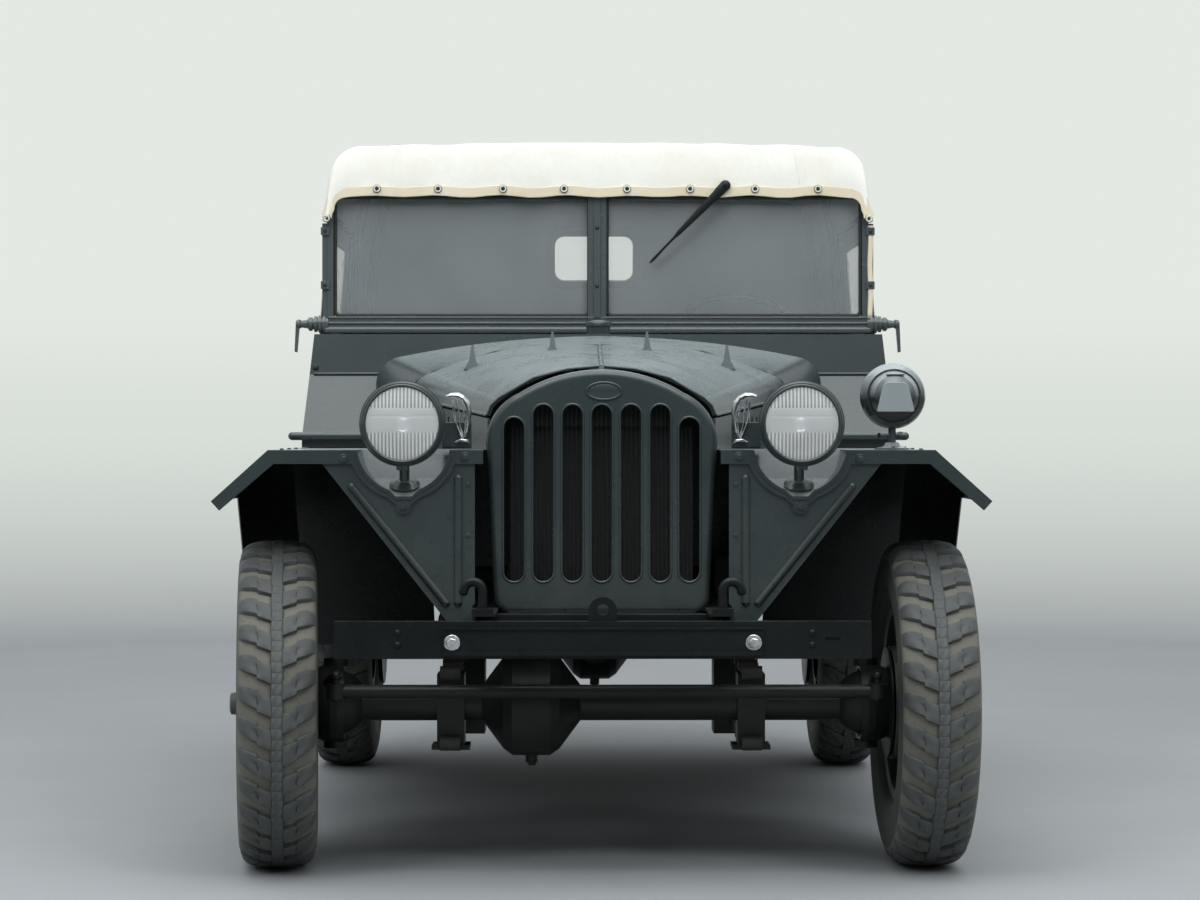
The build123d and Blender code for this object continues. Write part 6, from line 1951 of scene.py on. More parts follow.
# ---------------------------------------------------------------------------- seats
@dataclass
class Seats(Dressing):
    """Stuffed seat cushions: inflated by cloth simulation, then quilted and piped."""

    voxel: float = 0.009
    travel: float = 0.016
    inset: float = 0.011
    # how far the piping runs inside the cushion's sides and below its face
    pipe_in: float = 0.0125
    pipe_down: float = 0.019
    # name, low corner, high corner, axis the quilted face looks along, flutes across
    cushions: tuple = (
        ("front_base", (0.152, 0.053, 0.7615), (0.552, 0.410, 0.849), 2, 6),
        ("front_back", (0.152, 0.414, 0.766), (0.552, 0.4875, 1.185), 1, 6),
        ("rear_base", (-0.572, 0.851, 0.7535), (0.572, 1.197, 0.849), 2, 14),
        ("rear_back", (-0.572, 1.203, 0.758), (0.572, 1.281, 1.175), 1, 14),
    )

    def block(self, low: Point, high: Point) -> bpy.types.Object:
        """A rounded closed block, a little smaller than the cushion will be.

        Args:
            low: lowest corner.
            high: highest corner.

        Returns:
            The block, remeshed evenly.
        """
        mesh = bpy.data.meshes.new("cushion_start")
        bm = bmesh.new()
        bmesh.ops.create_cube(bm, size=1.0)
        shrink = Vector((self.inset,) * 3)
        a, b = Vector(low) + shrink, Vector(high) - shrink
        for v in bm.verts:
            v.co = Vector(((a.x, b.x)[v.co.x > 0], (a.y, b.y)[v.co.y > 0], (a.z, b.z)[v.co.z > 0]))
        bmesh.ops.bevel(bm, geom=list(bm.edges), offset=0.016, segments=3, affect="EDGES", profile=0.6)
        bm.to_mesh(mesh)
        bm.free()
        piece = bpy.data.objects.new("cushion_start", mesh)
        bpy.context.scene.collection.objects.link(piece)
        remesh = piece.modifiers.new("even", "REMESH")
        remesh.mode = "VOXEL"
        remesh.voxel_size = self.voxel
        return self.applied(piece)

    def applied(self, piece: bpy.types.Object) -> bpy.types.Object:
        """Bakes an object's modifiers into its mesh.

        Args:
            piece: the object.

        Returns:
            The same object without modifiers.
        """
        graph = bpy.context.evaluated_depsgraph_get()
        mesh = bpy.data.meshes.new_from_object(piece.evaluated_get(graph))
        piece.modifiers.clear()
        piece.data = mesh
        return piece

    def inflate(self, piece: bpy.types.Object) -> None:
        """Blows the block up as stuffed cloth and keeps every point near its start.

        Args:
            piece: the remeshed block.
        """
        start = [v.co.copy() for v in piece.data.vertices]
        cloth = piece.modifiers.new("stuffing", "CLOTH")
        cloth.settings.use_pressure = True
        cloth.settings.uniform_pressure_force = 4.0
        cloth.settings.tension_stiffness = cloth.settings.compression_stiffness = 12.0
        cloth.settings.effector_weights.gravity = 0.0
        cloth.settings.quality = 5
        for frame in range(1, 21):
            bpy.context.scene.frame_set(frame)
        graph = bpy.context.evaluated_depsgraph_get()
        swollen = bpy.data.meshes.new_from_object(piece.evaluated_get(graph))
        piece.modifiers.clear()
        for vertex, old, new in zip(piece.data.vertices, start, swollen.vertices):
            move = new.co - old
            vertex.co = old + move * min(1.0, self.travel / max(move.length, 1e-6))
        bpy.data.meshes.remove(swollen)
        bpy.context.scene.frame_set(1)

    def quilt(self, piece: bpy.types.Object, low: Point, high: Point, facing: int, flutes: int) -> None:
        """Presses the sewn channels into the facing side and keeps the cushion inside its box.

        Args:
            piece: the cushion.
            low: its box's lowest corner.
            high: its box's highest corner.
            facing: axis that the quilted side looks along, 1 towards the front, 2 up.
            flutes: how many flutes there are.
        """
        width = high[0] - low[0]
        for vertex in piece.data.vertices:
            spot = vertex.co
            depth = (high[2] - spot.z) if facing == 2 else (spot.y - low[1])
            side = min(spot.x - low[0], high[0] - spot.x)
            ends = (
                min(spot.y - low[1], high[1] - spot.y) if facing == 2
                else min(spot.z - low[2], high[2] - spot.z)
            )
            shown = max(0.0, 1.0 - depth / 0.045) * min(1.0, side / 0.05) * min(1.0, ends / 0.05)
            away = (spot.x - low[0]) / width * flutes
            away = abs(away - round(away)) * width / flutes
            press = 0.0085 * math.exp(-((away / 0.0085) ** 2)) * shown
            press += 0.0015 * max(0.0, cloth_noise(spot, 9.0, 4.0)) * shown
            if facing == 2:
                spot.z -= press
            else:
                spot.y += press
            for axis in range(3):
                spot[axis] = min(max(spot[axis], low[axis]), high[axis])

    def piping(self, low: Point, high: Point, facing: int) -> Form:
        """The round piping sewn along the edge of the facing side.

        Args:
            low: the cushion's lowest corner.
            high: its highest corner.
            facing: axis that the facing side looks along.

        Returns:
            The form.
        """
        middle = [(a + b) / 2 for a, b in zip(low, high)]
        half_w, half_y, half_z = ((b - a) / 2 - self.pipe_in for a, b in zip(low, high))
        if facing == 2:
            loop = rounded_loop(half_w, half_y, 0.030)
            path = [(middle[0] + a, middle[1] + b, high[2] - self.pipe_down) for a, b in loop]
        else:
            loop = rounded_loop(half_w, half_z, 0.030)
            path = [(middle[0] + a, low[1] + self.pipe_down, middle[2] + b) for a, b in loop]
        return Form().tube(path, 0.0048, 8, closed=True)

    def build(self) -> None:
        for name, low, high, facing, flutes in self.cushions:
            piece = self.block(low, high)
            self.inflate(piece)
            finer = piece.modifiers.new("finer", "SUBSURF")
            finer.levels = finer.render_levels = 1
            self.applied(piece)
            self.quilt(piece, low, high, facing, flutes)
            pipe = self.piping(low, high, facing)
            paired = name.startswith("front")
            twins = [("left" if paired else "both", piece)]
            if paired:
                other = bpy.data.objects.new("twin", piece.data.copy())
                bpy.context.scene.collection.objects.link(other)
                other.data.transform(Matrix.Scale(-1, 4, (1, 0, 0)))
                other.data.flip_normals()
                twins.append(("right", other))
            for which, cushion in twins:
                cushion.name = cushion.data.name = f"cushion_{name}_{which}"
                cushion.data.materials.clear()
                cushion.data.materials.append(self.finishes["seat_cloth"])
                cushion.data.shade_smooth()
                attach(cushion, Body.CHASSIS.value)
                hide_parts("seat_cushions")
                edge = pipe.mirror() if which == "right" else pipe
                self.fit(edge, f"piping_{name}_{which}", "black_enamel", "seat_leathercloth", smooth=60)
            log.info("cushion %s", name)


# ---------------------------------------------------------------------------- lamps
@dataclass
class Lamps(Dressing):
    """Ribbed headlamp glasses with their reflectors, the marker lamp's face and the tail lamp's red glass."""

    x: float = 0.429
    y: float = FRONT_AXLE_Y - 0.300
    z: float = 0.991
    radius: float = 0.0785
    flute: float = 0.0078
    marker: Point = (0.648, FRONT_AXLE_Y - 0.100, 1.053)
    tail: Point = (0.613, BACK_Y + 0.042, 0.770)

    @property
    def centre(self) -> Point:
        """The middle of the left headlamp's opening."""
        return (self.x, self.y, self.z)

    def glass(self) -> Form:
        """A domed lens with its pressed flutes and steps.

        Returns:
            The form.
        """
        r, step = self.radius, 0.0013
        rows = []
        for k in range(-46, 47):
            v = math.sin(k / 46 * math.pi / 2) * 0.9995
            z, half = v * r, r * math.sqrt(max(0.0, 1.0 - v * v))
            row = []
            for j in range(-61, 62):
                x = max(-half, min(half, j * step))
                u = math.hypot(x, z) / r
                dome = -0.0195 + 0.0095 * u * u
                if v > 0.43 or v < -0.25:
                    dome += 0.0009 * math.cos(2 * math.pi * x / self.flute) * max(0.0, 1.0 - u ** 6)
                for line in (0.70, 0.43, 0.20, -0.25):
                    dome += 0.0008 * math.exp(-(((v - line) / 0.012) ** 2)) * max(0.0, 1.0 - u ** 8)
                row.append((self.x + x, self.y + dome, self.z + z))
            rows.append(row)
        return Form().grid(rows)

    def bowl(self) -> Form:
        """The silvered reflector inside the shell."""
        profile = [
            (-0.004, 0.0772), (0.006, 0.0765), (0.024, 0.0700), (0.044, 0.0590), (0.062, 0.0450),
            (0.076, 0.0290), (0.084, 0.0150), (0.086, 0.0)
        ]
        return Form().turned(profile, self.centre, BACKWARD, sides=64)

    def bulb(self) -> Form:
        """The bulb's shield and its stem."""
        shield = [
            (0.018, 0.0), (0.019, 0.012), (0.024, 0.0175), (0.032, 0.019), (0.034, 0.0185), (0.030, 0.0160),
            (0.026, 0.0)
        ]
        stem = [(0.026, 0.006), (0.050, 0.007), (0.082, 0.010)]
        form = Form().turned(shield, self.centre, BACKWARD, sides=36)
        return form.turned(stem, self.centre, BACKWARD, sides=20)

    def rim(self) -> Form:
        """The bright bead round the glass and the clamp with its screw at the foot."""
        bead = [(-0.0100, 0.0782), (-0.0128, 0.0800), (-0.0132, 0.0826), (-0.0112, 0.0846), (-0.0086, 0.0852)]
        clamp = [(0.0015, 0.0905), (0.0020, 0.0928), (0.0060, 0.0928), (0.0066, 0.0905)]
        form = Form()
        for profile in (bead, clamp):
            form.turned(profile, self.centre, BACKWARD, sides=72)
        x, y, z = self.centre
        for x0, x1 in ((x - 0.010, x - 0.003), (x + 0.003, x + 0.010)):
            form.box((x0, y - 0.004, z - 0.1005), (x1, y + 0.010, z - 0.0900))
        hex_bolt(form, (x + 0.010, y + 0.003, z - 0.0955), LEFTWARD, 0.0042, False)
        return form

    def headlamps(self) -> None:
        """Makes both headlamps' glass, bowl, bulb and rim."""
        slot = "lens_glass"
        for _, name in SIDES:
            glass = self.fit(self.glass().on(name), f"lamp_glass_{name}", "lens_glass", slot, smooth=60)
            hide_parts("headlamp_lenses")
            self.fit(self.bowl().on(name), f"lamp_reflector_{name}", "reflector", slot, smooth=70)
            self.fit(self.bulb().on(name), f"lamp_bulb_{name}", "bright_plate", slot, smooth=50)
            self.fit(self.rim().on(name), f"lamp_rim_{name}", "body_paint", "body_paint", smooth=50)

    def marker_pane(self) -> Form:
        """The pale pane on the marker lamp's hood: narrow and rounded above, wide and square below."""
        right = [(0.0160, 0.0300), (0.0240, 0.0272), (0.0290, 0.0190), (0.0410, -0.0325), (0.0385, -0.0354)]
        outline = right + [(-x, z) for x, z in reversed(right)]
        x0, y0, z0 = self.marker
        front = [(x0 + x, y0 - 0.0436 + 0.05 * z, z0 + z) for x, z in outline]
        back = [(x, y0 - 0.0140, z) for x, _, z in front]
        count = len(outline)
        pane = Form()
        pane.add(front + back, [tuple(range(count)), tuple(reversed(range(count, 2 * count)))])
        pane.faces += [(k, k + count, (k + 1) % count + count, (k + 1) % count) for k in range(count)]
        return pane

    def marker_face(self) -> None:
        """Makes the marker lamp's black face, painted shade under its hood, its ring, a black bar painted as
        the shade of its slit, and the post's bolts.
        """
        x, y, z = self.marker
        # a black disc painted as the shade in the recess under the hood
        dish = [(-0.0042, 0.0540), (-0.0056, 0.0520), (-0.0064, 0.0300), (-0.0066, 0.0)]
        face = Form().turned(dish, self.marker, BACKWARD, sides=56)
        self.fit(face, "marker_lamp_face", "black_enamel", "body_paint", smooth=60)
        pane = self.marker_pane()
        self.fit(pane, "marker_lamp_glass", "marker_glass", "lens_glass", bevel=0.0012, smooth=50)
        bead = [(-0.0038, 0.0600), (-0.0052, 0.0592), (-0.0056, 0.0575), (-0.0050, 0.0556), (-0.0036, 0.0548)]
        ring = Form().turned(bead, self.marker, BACKWARD, sides=64)
        # a black bar painted as the shade of the slit near the top
        ring.box((x - 0.020, y - 0.0345, z + 0.0445), (x + 0.020, y - 0.0290, z + 0.0475))
        self.fit(ring, "marker_lamp_ring", "black_rubber", "body_paint", smooth=50)
        bolts = Form()
        post_y = y + 0.034
        for sx, sy in ((0.027, 0.0), (-0.027, 0.0), (0.0, 0.027), (0.0, -0.027)):
            hex_bolt(bolts, (x + sx, post_y + sy, 0.9372), UPWARD, 0.0048, False)
        hex_bolt(bolts, (x - 0.0275, post_y, 0.965), (-1, 0, 0), 0.0065, False)
        self.fit(bolts, "marker_lamp_bolts", "chassis_paint", "body_paint", smooth=30)

    def tail_glass(self) -> None:
        """Makes the tail lamp's red glass in its ring, with two screws."""
        x, y, z = self.tail
        dome = [(0.0, 0.0325), (0.0045, 0.0315), (0.0090, 0.0250), (0.0112, 0.0130), (0.0118, 0.0)]
        glass = Form().turned(dome, self.tail, BACKWARD, sides=48)
        self.fit(glass, "tail_lamp_glass", "red_glass", "lens_glass", smooth=60)
        bead = [(-0.004, 0.0392), (0.0012, 0.0392), (0.0036, 0.0372), (0.0036, 0.0330), (0.0006, 0.0322)]
        ring = Form().turned(bead, self.tail, BACKWARD, sides=56)
        for side, _ in SIDES:
            screw_head(ring, (x + side * 0.0352, y + 0.0034, z), BACKWARD, 0.0026)
        self.fit(ring, "tail_lamp_ring", "body_paint", "body_paint", smooth=50)

    def build(self) -> None:
        """Makes every lamp's fittings."""
        self.headlamps()
        self.marker_face()
        self.tail_glass()


# ---------------------------------------------------------------------------- front and cowl
@dataclass
class FrontTrim(Dressing):
    """Rolled slot edges, bare badge ring, latches, bolts and beads on the sheet metal ahead of the doors."""

    grille_y: float = FRONT_AXLE_Y - 0.200
    wing_y: float = FRONT_AXLE_Y - 0.260
    slot_half: float = 0.024
    slot_foot: float = 0.645
    slot_tops: tuple = (1.006, 1.034, 1.034, 1.034, 1.034, 1.034, 1.006)
    badge: Pair = (0.005, 1.0625)
    latch_y: float = -1.3440

    def slot_lips(self) -> Form:
        """The rolled edge round each slot of the grille."""
        form = Form()
        for number, top in enumerate(self.slot_tops):
            x, r = (number - 3) * 0.0638, self.slot_half
            path = [(x + r * math.cos(t), top - r + r * math.sin(t)) for t in steps(0.0, math.pi, 12)]
            foot = self.slot_foot + r
            path += [(x + r * math.cos(t), foot + r * math.sin(t)) for t in steps(math.pi, 2 * math.pi, 12)]
            form.tube([(a, self.grille_y - 0.0002, b) for a, b in path], 0.0026, 8, closed=True)
        return form

    def badge_ring(self) -> Form:
        """The bare oval badge: a rolled ring on a plain plate."""

        def oval(share: float, lift: float) -> list[Point]:
            """The badge's outline, scaled about its middle and lifted off the grille."""
            x, z = self.badge
            wide, high = 0.0375 * share, 0.0185 * share
            return [
                (x + wide * math.cos(t), self.grille_y - lift, z + high * math.sin(t)) for t in around(48)
            ]

        form = Form().tube(oval(1.0, 0.0020), 0.0026, 10, closed=True)
        dome = ((0.0, 0.0034), (0.45, 0.0032), (0.85, 0.0020), (1.0, 0.0004))
        return form.grid([oval(share, lift) for share, lift in dome], closed_across=True)

    def latch(self) -> Form:
        """One plated hood latch: a curled lever over four sprung strands, a little knocked about."""
        form = Form()
        # outer edge, inner edge and how far the lever stands forward there, in X and Z
        spine = (
            ((0.3420, 1.0546), (0.3390, 1.0470), 0.004), ((0.3310, 1.0590), (0.3270, 1.0490), 0.008),
            ((0.3146, 1.0600), (0.3140, 1.0465), 0.011), ((0.3000, 1.0530), (0.3060, 1.0400), 0.011),
            ((0.2900, 1.0400), (0.3010, 1.0290), 0.009), ((0.2858, 1.0200), (0.2975, 1.0130), 0.007),
            ((0.2868, 0.9950), (0.2965, 0.9940), 0.009), ((0.2900, 0.9720), (0.2985, 0.9750), 0.008),
            ((0.3000, 0.9560), (0.3060, 0.9600), 0.005),
        )
        rows = []
        for number, (low, high, lift) in enumerate(spine):
            knock = 0.0016 * math.sin(number * 2.3)
            front = []
            for t in (0.0, 0.2, 0.5, 0.8, 1.0):
                x, z = (a + (b - a) * t for a, b in zip(low, high))
                front.append((x, self.latch_y - lift * (0.35 + 2.6 * t * (1 - t)) + knock * t, z))
            rows.append(front + [(x, y + 0.0016, z) for x, y, z in reversed(front)])
        form.grid(rows, closed_across=True)
        strands = (
            ((0.3260, 1.0440), (0.3238, 1.0200), (0.3212, 0.9964), (0.3140, 0.9770), (0.3070, 0.9610)),
            ((0.3190, 1.0450), (0.3135, 1.0160), (0.3120, 0.9900), (0.3065, 0.9720), (0.3050, 0.9590)),
            ((0.3065, 1.0400), (0.3020, 1.0150), (0.2995, 0.9900), (0.3000, 0.9730), (0.3030, 0.9600)),
        )
        for number, strand in enumerate(strands):
            path = []
            for k, (x, z) in enumerate(strand):
                path.append((x, self.latch_y - 0.0040 - 0.0015 * math.sin(k * 1.7 + number), z))
            form.tube(path, (0.0030, 0.0022, 0.0020)[number], 8)
        loop = (
            (0.2900, 0.003, 0.9500), (0.2950, -0.006, 0.9540), (0.3080, -0.007, 0.9555),
            (0.3200, 0.003, 0.9505)
        )
        return form.tube([(x, self.latch_y + step, z) for x, step, z in loop], 0.0032, 8)

    def catch_plate(self) -> Form:
        """The painted bracket that a latch is riveted to."""
        form = Form().box((0.286, -1.3405, 0.940), (0.350, -1.3375, 0.9945))
        return form.box((0.286, -1.3375, 0.937), (0.350, -1.300, 0.940))

    def bolts(self) -> tuple[Form, Form, Form]:
        """Bolts and rivets on the bumper, wings and aprons.

        Returns:
            Bright bolts, painted bolts and painted rivets.
        """
        bright, painted, rivets = Form(), Form(), Form()
        rivet = ((-0.0005, 0.0075), (0.0020, 0.0066), (0.0042, 0.0040), (0.0048, 0.0))
        bumper_y = FRONT_AXLE_Y - 0.4755
        for side, _ in SIDES:
            hex_bolt(bright, (side * 0.3155, bumper_y - 0.0005, 0.5324), FORWARD, 0.0105)
            for x, z in ((0.558, 0.9146), (0.2963, 0.919)):
                hex_bolt(painted, (side * x, self.wing_y, z), FORWARD, 0.0065)
            hex_bolt(painted, (side * 0.429, self.wing_y - 0.001, 0.8115), FORWARD, 0.0070)
            for z in (0.640, 0.750, 0.860):
                hex_bolt(painted, (side * 0.2900, self.wing_y + 0.006, z), FORWARD, 0.0048, False)
            for y in (-1.37, -1.20, -1.03):
                hex_bolt(painted, (side * 0.700, y, 0.934), UPWARD, 0.0045, False)
            for z in (0.5525, 0.5270):
                x = 0.4387 if side > 0 else -0.4300
                rivets.turned(rivet, (x, bumper_y + 0.0055, z), FORWARD, sides=18)
        return bright, painted, rivets

    def beads(self) -> Form:
        """Pressed beads along the cowl's joint, the scuttle's edge and the wing's inner joint."""
        form = Form()
        # Y from the front axle, tube radius, then X and Z of the left half of each bead
        arches = (
            (0.6965, 0.0035, (
                (0.5465, 1.094), (0.5300, 1.136), (0.488, 1.159), (0.330, 1.186), (0.165, 1.203),
                (0.0, 1.209),
            )),
            (0.4530, 0.0028, (
                (0.4585, 1.055), (0.438, 1.0945), (0.398, 1.1175), (0.250, 1.1655), (0.125, 1.1775),
                (0.0, 1.1815),
            )),
        )
        for side, _ in SIDES:
            form.tube([(side * x, FRONT_AXLE_Y + 0.6706, 1.1165) for x in steps(0.542, 0.702, 6)], 0.0032, 8)
            for away, radius, arch in arches:
                form.tube([(side * x, FRONT_AXLE_Y + away, z) for x, z in arch], radius, 8)
        return form

    def hood_hems(self, side: int, body: Body, name: str) -> None:
        """Rolled lower and front edges of one hood half.

        Args:
            side: 1 on the left.
            body: the hood half that they ride on.
            name: which half.
        """
        front, back = Vector((0.2525, -1.3275, 1.0105)), Vector((0.4583, -0.7470, 1.0565))
        edge = [front.lerp(back, k / 10) for k in range(11)]
        form = Form().tube([(side * p.x, p.y, p.z) for p in edge], 0.0032, 10)
        nose = (
            (0.2515, 1.0105), (0.2435, 1.0312), (0.2265, 1.0472), (0.150, 1.0922), (0.075, 1.1115),
            (0.006, 1.1178)
        )
        form.tube([(side * x, -1.3290, z) for x, z in nose], 0.0030, 10)
        self.fit(form, f"hood_hems_{name}", "body_paint", "body_paint", smooth=60, body=body)

    def cap(self) -> Form:
        """The filler cap's domed lid with its finger lobes."""
        # height over the neck, radius and how much the lobes show
        section = (
            (0.0, 0.0300, 0.0), (0.001, 0.0325, 0.3), (0.009, 0.0330, 1.0), (0.012, 0.0310, 1.0),
            (0.0140, 0.0240, 0.4), (0.0165, 0.0120, 0.0), (0.0172, 0.0, 0.0),
        )
        rows = []
        for rise, r, lobe in section:
            row = []
            for t in around(48):
                reach = r + 0.0012 * lobe * math.cos(6 * t)
                row.append((reach * math.cos(t), -0.460 + reach * math.sin(t), 1.2346 + rise))
            rows.append(row)
        return Form().grid(rows, closed_across=True)

    def build(self) -> None:
        """Makes all the front fittings."""
        paint = "body_paint"
        self.fit(self.slot_lips().join(self.badge_ring()), "grille_lips_and_badge", paint, paint, smooth=60)
        for (side, name), lid in zip(SIDES, (Body.HOOD_LEFT, Body.HOOD_RIGHT)):
            latch = self.latch().on(name)
            self.fit(latch, f"hood_latch_{name}", "bright_plate", "spring_steel", smooth=45)
            self.fit(self.catch_plate().on(name), f"latch_bracket_{name}", paint, paint, bevel=0.001)
            self.hood_hems(side, lid, name)
        bright, painted, rivets = self.bolts()
        self.fit(bright, "bumper_bolts", "bright_plate", "chassis_paint", smooth=30)
        self.fit(painted, "wing_bolts", paint, paint, smooth=30)
        self.fit(rivets, "bumper_rivets", "bumper_paint", "chassis_paint", smooth=50)
        self.fit(self.beads().join(self.cap()), "cowl_beads_and_cap", paint, paint, smooth=60)
        places = [((side * 0.698, FRONT_AXLE_Y + 0.6725, 1.133), (0, -1, 0.1), 0.0075) for side, _ in SIDES]
        self.screws("cowl", places)
        log.info("front fittings")


# ---------------------------------------------------------------------------- windscreen
@dataclass
class ScreenTrim(Dressing):
    """Gaskets, centre strip, edge flanges, screws and the wiper of the windscreen."""

    y: float = SCREEN_Y
    pane_x: Pair = (0.0192, 0.668)
    pane_z: Pair = (1.264, 1.570)

    def gaskets(self) -> Form:
        """The rubber round both panes."""
        form = Form()
        (x0, x1), (z0, z1) = self.pane_x, self.pane_z
        loop = rounded_loop((x1 - x0) / 2 - 0.0035, (z1 - z0) / 2 - 0.0035, 0.012, 5)
        for side, _ in SIDES:
            path = [(side * ((x0 + x1) / 2 + a), self.y + 0.0105, (z0 + z1) / 2 + b) for a, b in loop]
            form.tube(path, 0.0048, 8, closed=True)
        return form

    def metal(self) -> Form:
        """The centre post's cover and strip, the foot's beads and the side flanges."""
        y = self.y
        form = Form().box((-0.0257, y - 0.0025, 1.256), (0.0213, y + 0.0004, 1.572))
        form.box((-0.0105, y - 0.0058, 1.262), (0.0062, y - 0.0020, 1.566))
        for z, r in ((1.2620, 0.0030), (1.2480, 0.0034)):
            form.tube([(x, y - 0.0004, z) for x in steps(-0.682, 0.682, 8)], r, 8)
        for side, _ in SIDES:
            low, high = sorted((side * 0.6842, side * 0.6965))
            form.box((low, y + 0.001, 1.252), (high, y + 0.016, 1.500))
            for z in (1.344, 1.480):
                low, high = sorted((side * 0.6780, side * 0.6995))
                form.box((low, y - 0.0055, z - 0.010), (high, y + 0.0012, z + 0.010))
        return form

    def wiper(self) -> tuple[Form, Form]:
        """The wiper's motor head and arm, and its blade.

        Returns:
            The metal parts and the blade.
        """
        y = self.y
        cap = [
            (0.006, 0.013), (-0.002, 0.0135), (-0.006, 0.011), (-0.008, 0.006), (-0.012, 0.005), (-0.013, 0.0)
        ]
        arm = Form().turned(cap, (0.3207, y - 0.024, 1.594), BACKWARD, sides=24)
        # place, half width and half thickness of the pressed arm
        spine = (
            ((0.3240, 1.5975), 0.0090, 0.0050), ((0.3180, 1.5915), 0.0130, 0.0065),
            ((0.3050, 1.5780), 0.0125, 0.0065), ((0.2960, 1.5690), 0.0108, 0.0060),
            ((0.2620, 1.5345), 0.0092, 0.0055), ((0.2250, 1.4970), 0.0072, 0.0048),
            ((0.2020, 1.4735), 0.0058, 0.0042), ((0.1960, 1.4675), 0.0040, 0.0034),
        )
        across, out = Vector((0.705, 0.0, -0.709)), Vector(FORWARD)
        rows = []
        for (x, z), wide, thick in spine:
            middle = Vector((x, y - 0.0265 + 0.010 * (1.594 - z) / 0.13, z))
            rows.append(
                [middle + across * wide * math.cos(t) + out * thick * math.sin(t) for t in around(14)]
            )
        arm.grid(rows, closed_across=True)
        # X, distance ahead of the frame, and Z
        wire = (
            (0.204, 0.0165, 1.4755), (0.180, 0.0125, 1.4510), (0.155, 0.0090, 1.4250), (0.136, 0.0075, 1.4050)
        )
        edge = (
            (0.166, 0.0060, 1.4362), (0.152, 0.0035, 1.4218), (0.140, 0.0030, 1.4092), (0.131, 0.0035, 1.4000)
        )
        arm.tube([(x, y - ahead, z) for x, ahead, z in wire], [0.0036, 0.0032, 0.0030, 0.0026], 10)
        blade = Form().tube([(x, y - ahead, z) for x, ahead, z in edge], [0.0026, 0.0038, 0.0038, 0.0024], 8)
        return arm, blade

    def build(self) -> None:
        """Makes the windscreen's fittings."""
        self.fit(self.gaskets(), "screen_gaskets", "black_rubber", "rubber_tyre", smooth=60)
        self.fit(self.metal(), "screen_strips", "screen_lit_paint", "body_paint", bevel=0.0008, smooth=40)
        arm, blade = self.wiper()
        self.fit(arm, "wiper_arm", "chassis_paint", "body_paint", smooth=50)
        self.fit(blade, "wiper_blade", "black_rubber", "rubber_tyre", smooth=50)
        places = [((-0.0022, self.y - 0.0058, z), FORWARD, 0.0052) for z in (1.489, 1.342)]
        for side, _ in SIDES:
            places += [((side * 0.689, self.y - 0.0055, z), FORWARD, 0.0050) for z in (1.344, 1.480)]
        self.screws("screen", places)
        log.info("windscreen fittings")


# ---------------------------------------------------------------------------- inside, below and behind
@dataclass
class Cabin(Dressing):
    """Instrument faces, pedal rubbers, lever knobs and the glove lid's lock."""

    board_y: float = SCREEN_Y + 0.058
    dial_z: float = 1.140
    dials: tuple = ((0.0, 0.046), (-0.095, 0.028), (0.095, 0.028), (-0.165, 0.024), (0.165, 0.024))

    def build(self) -> None:
        """Makes the cabin's fittings."""
        rings, faces, marks = Form(), Form(), Form()
        y, z = self.board_y, self.dial_z
        for x, r in self.dials:
            ring = [
                (-0.004, r + 0.0012), (0.0010, r + 0.0012), (0.0030, r - 0.0010), (0.0028, r - 0.0040),
                (0.0005, r - 0.0046)
            ]
            rings.turned(ring, (x, y, z), BACKWARD, sides=40)
            faces.turned([(0.0006, r - 0.0035), (0.0007, 0.0)], (x, y, z), BACKWARD, sides=40)
            for k in range(11):
                turn = math.radians(-130 + 26 * k)
                line = [
                    (x - math.sin(turn) * r * far, y + 0.0012, z + math.cos(turn) * r * far)
                    for far in (0.66, 0.82)
                ]
                marks.tube(line, 0.0007, 4)
            hand = [(x + 0.10 * r, y + 0.0020, z - 0.18 * r), (x - 0.35 * r, y + 0.0020, z + 0.55 * r)]
            marks.tube(hand, [0.0014, 0.0005], 5)
        self.fit(rings, "dial_rings", "bright_plate", "black_plastic", smooth=50)
        self.fit(faces, "dial_faces", "black_enamel", "black_plastic", smooth=50)
        self.fit(marks, "dial_marks", "roof_canvas", "black_plastic", smooth=50)
        lock = [(-0.001, 0.0085), (0.004, 0.0080), (0.006, 0.0050), (0.006, 0.0)]
        lid = Form().turned(lock, (-0.465, SCREEN_Y + 0.053, 1.160), BACKWARD, sides=24)
        for x in (-0.560, -0.370):
            lid.box((x - 0.018, SCREEN_Y + 0.0526, 1.070), (x + 0.018, SCREEN_Y + 0.0560, 1.079))
        knob = [(-0.001, 0.0065), (0.006, 0.0060), (0.012, 0.0095), (0.016, 0.0095), (0.018, 0.0)]
        for k in range(4):
            lid.turned(knob, (0.215 + 0.034 * k, SCREEN_Y + 0.050, 1.098), BACKWARD, sides=20)
        self.fit(lid, "dash_knobs", "black_enamel", "black_plastic", smooth=50)
        pads = Form()
        turn = Matrix.Rotation(math.radians(35.0), 4, "X")
        for x in (0.242, 0.332, 0.442):
            pad = Form().box((-0.026, 0.0035, -0.037), (0.026, 0.0085, 0.037))
            for k in range(5):
                pad.box((-0.024, 0.0080, -0.031 + 0.014 * k), (0.024, 0.0110, -0.025 + 0.014 * k))
            pads.join(pad.moved(Matrix.Translation((x, FRONT_AXLE_Y + 0.792, 0.690)) @ turn))
        self.fit(pads, "pedal_rubbers", "black_rubber", "rubber_tyre", bevel=0.001)
        log.info("cabin fittings")


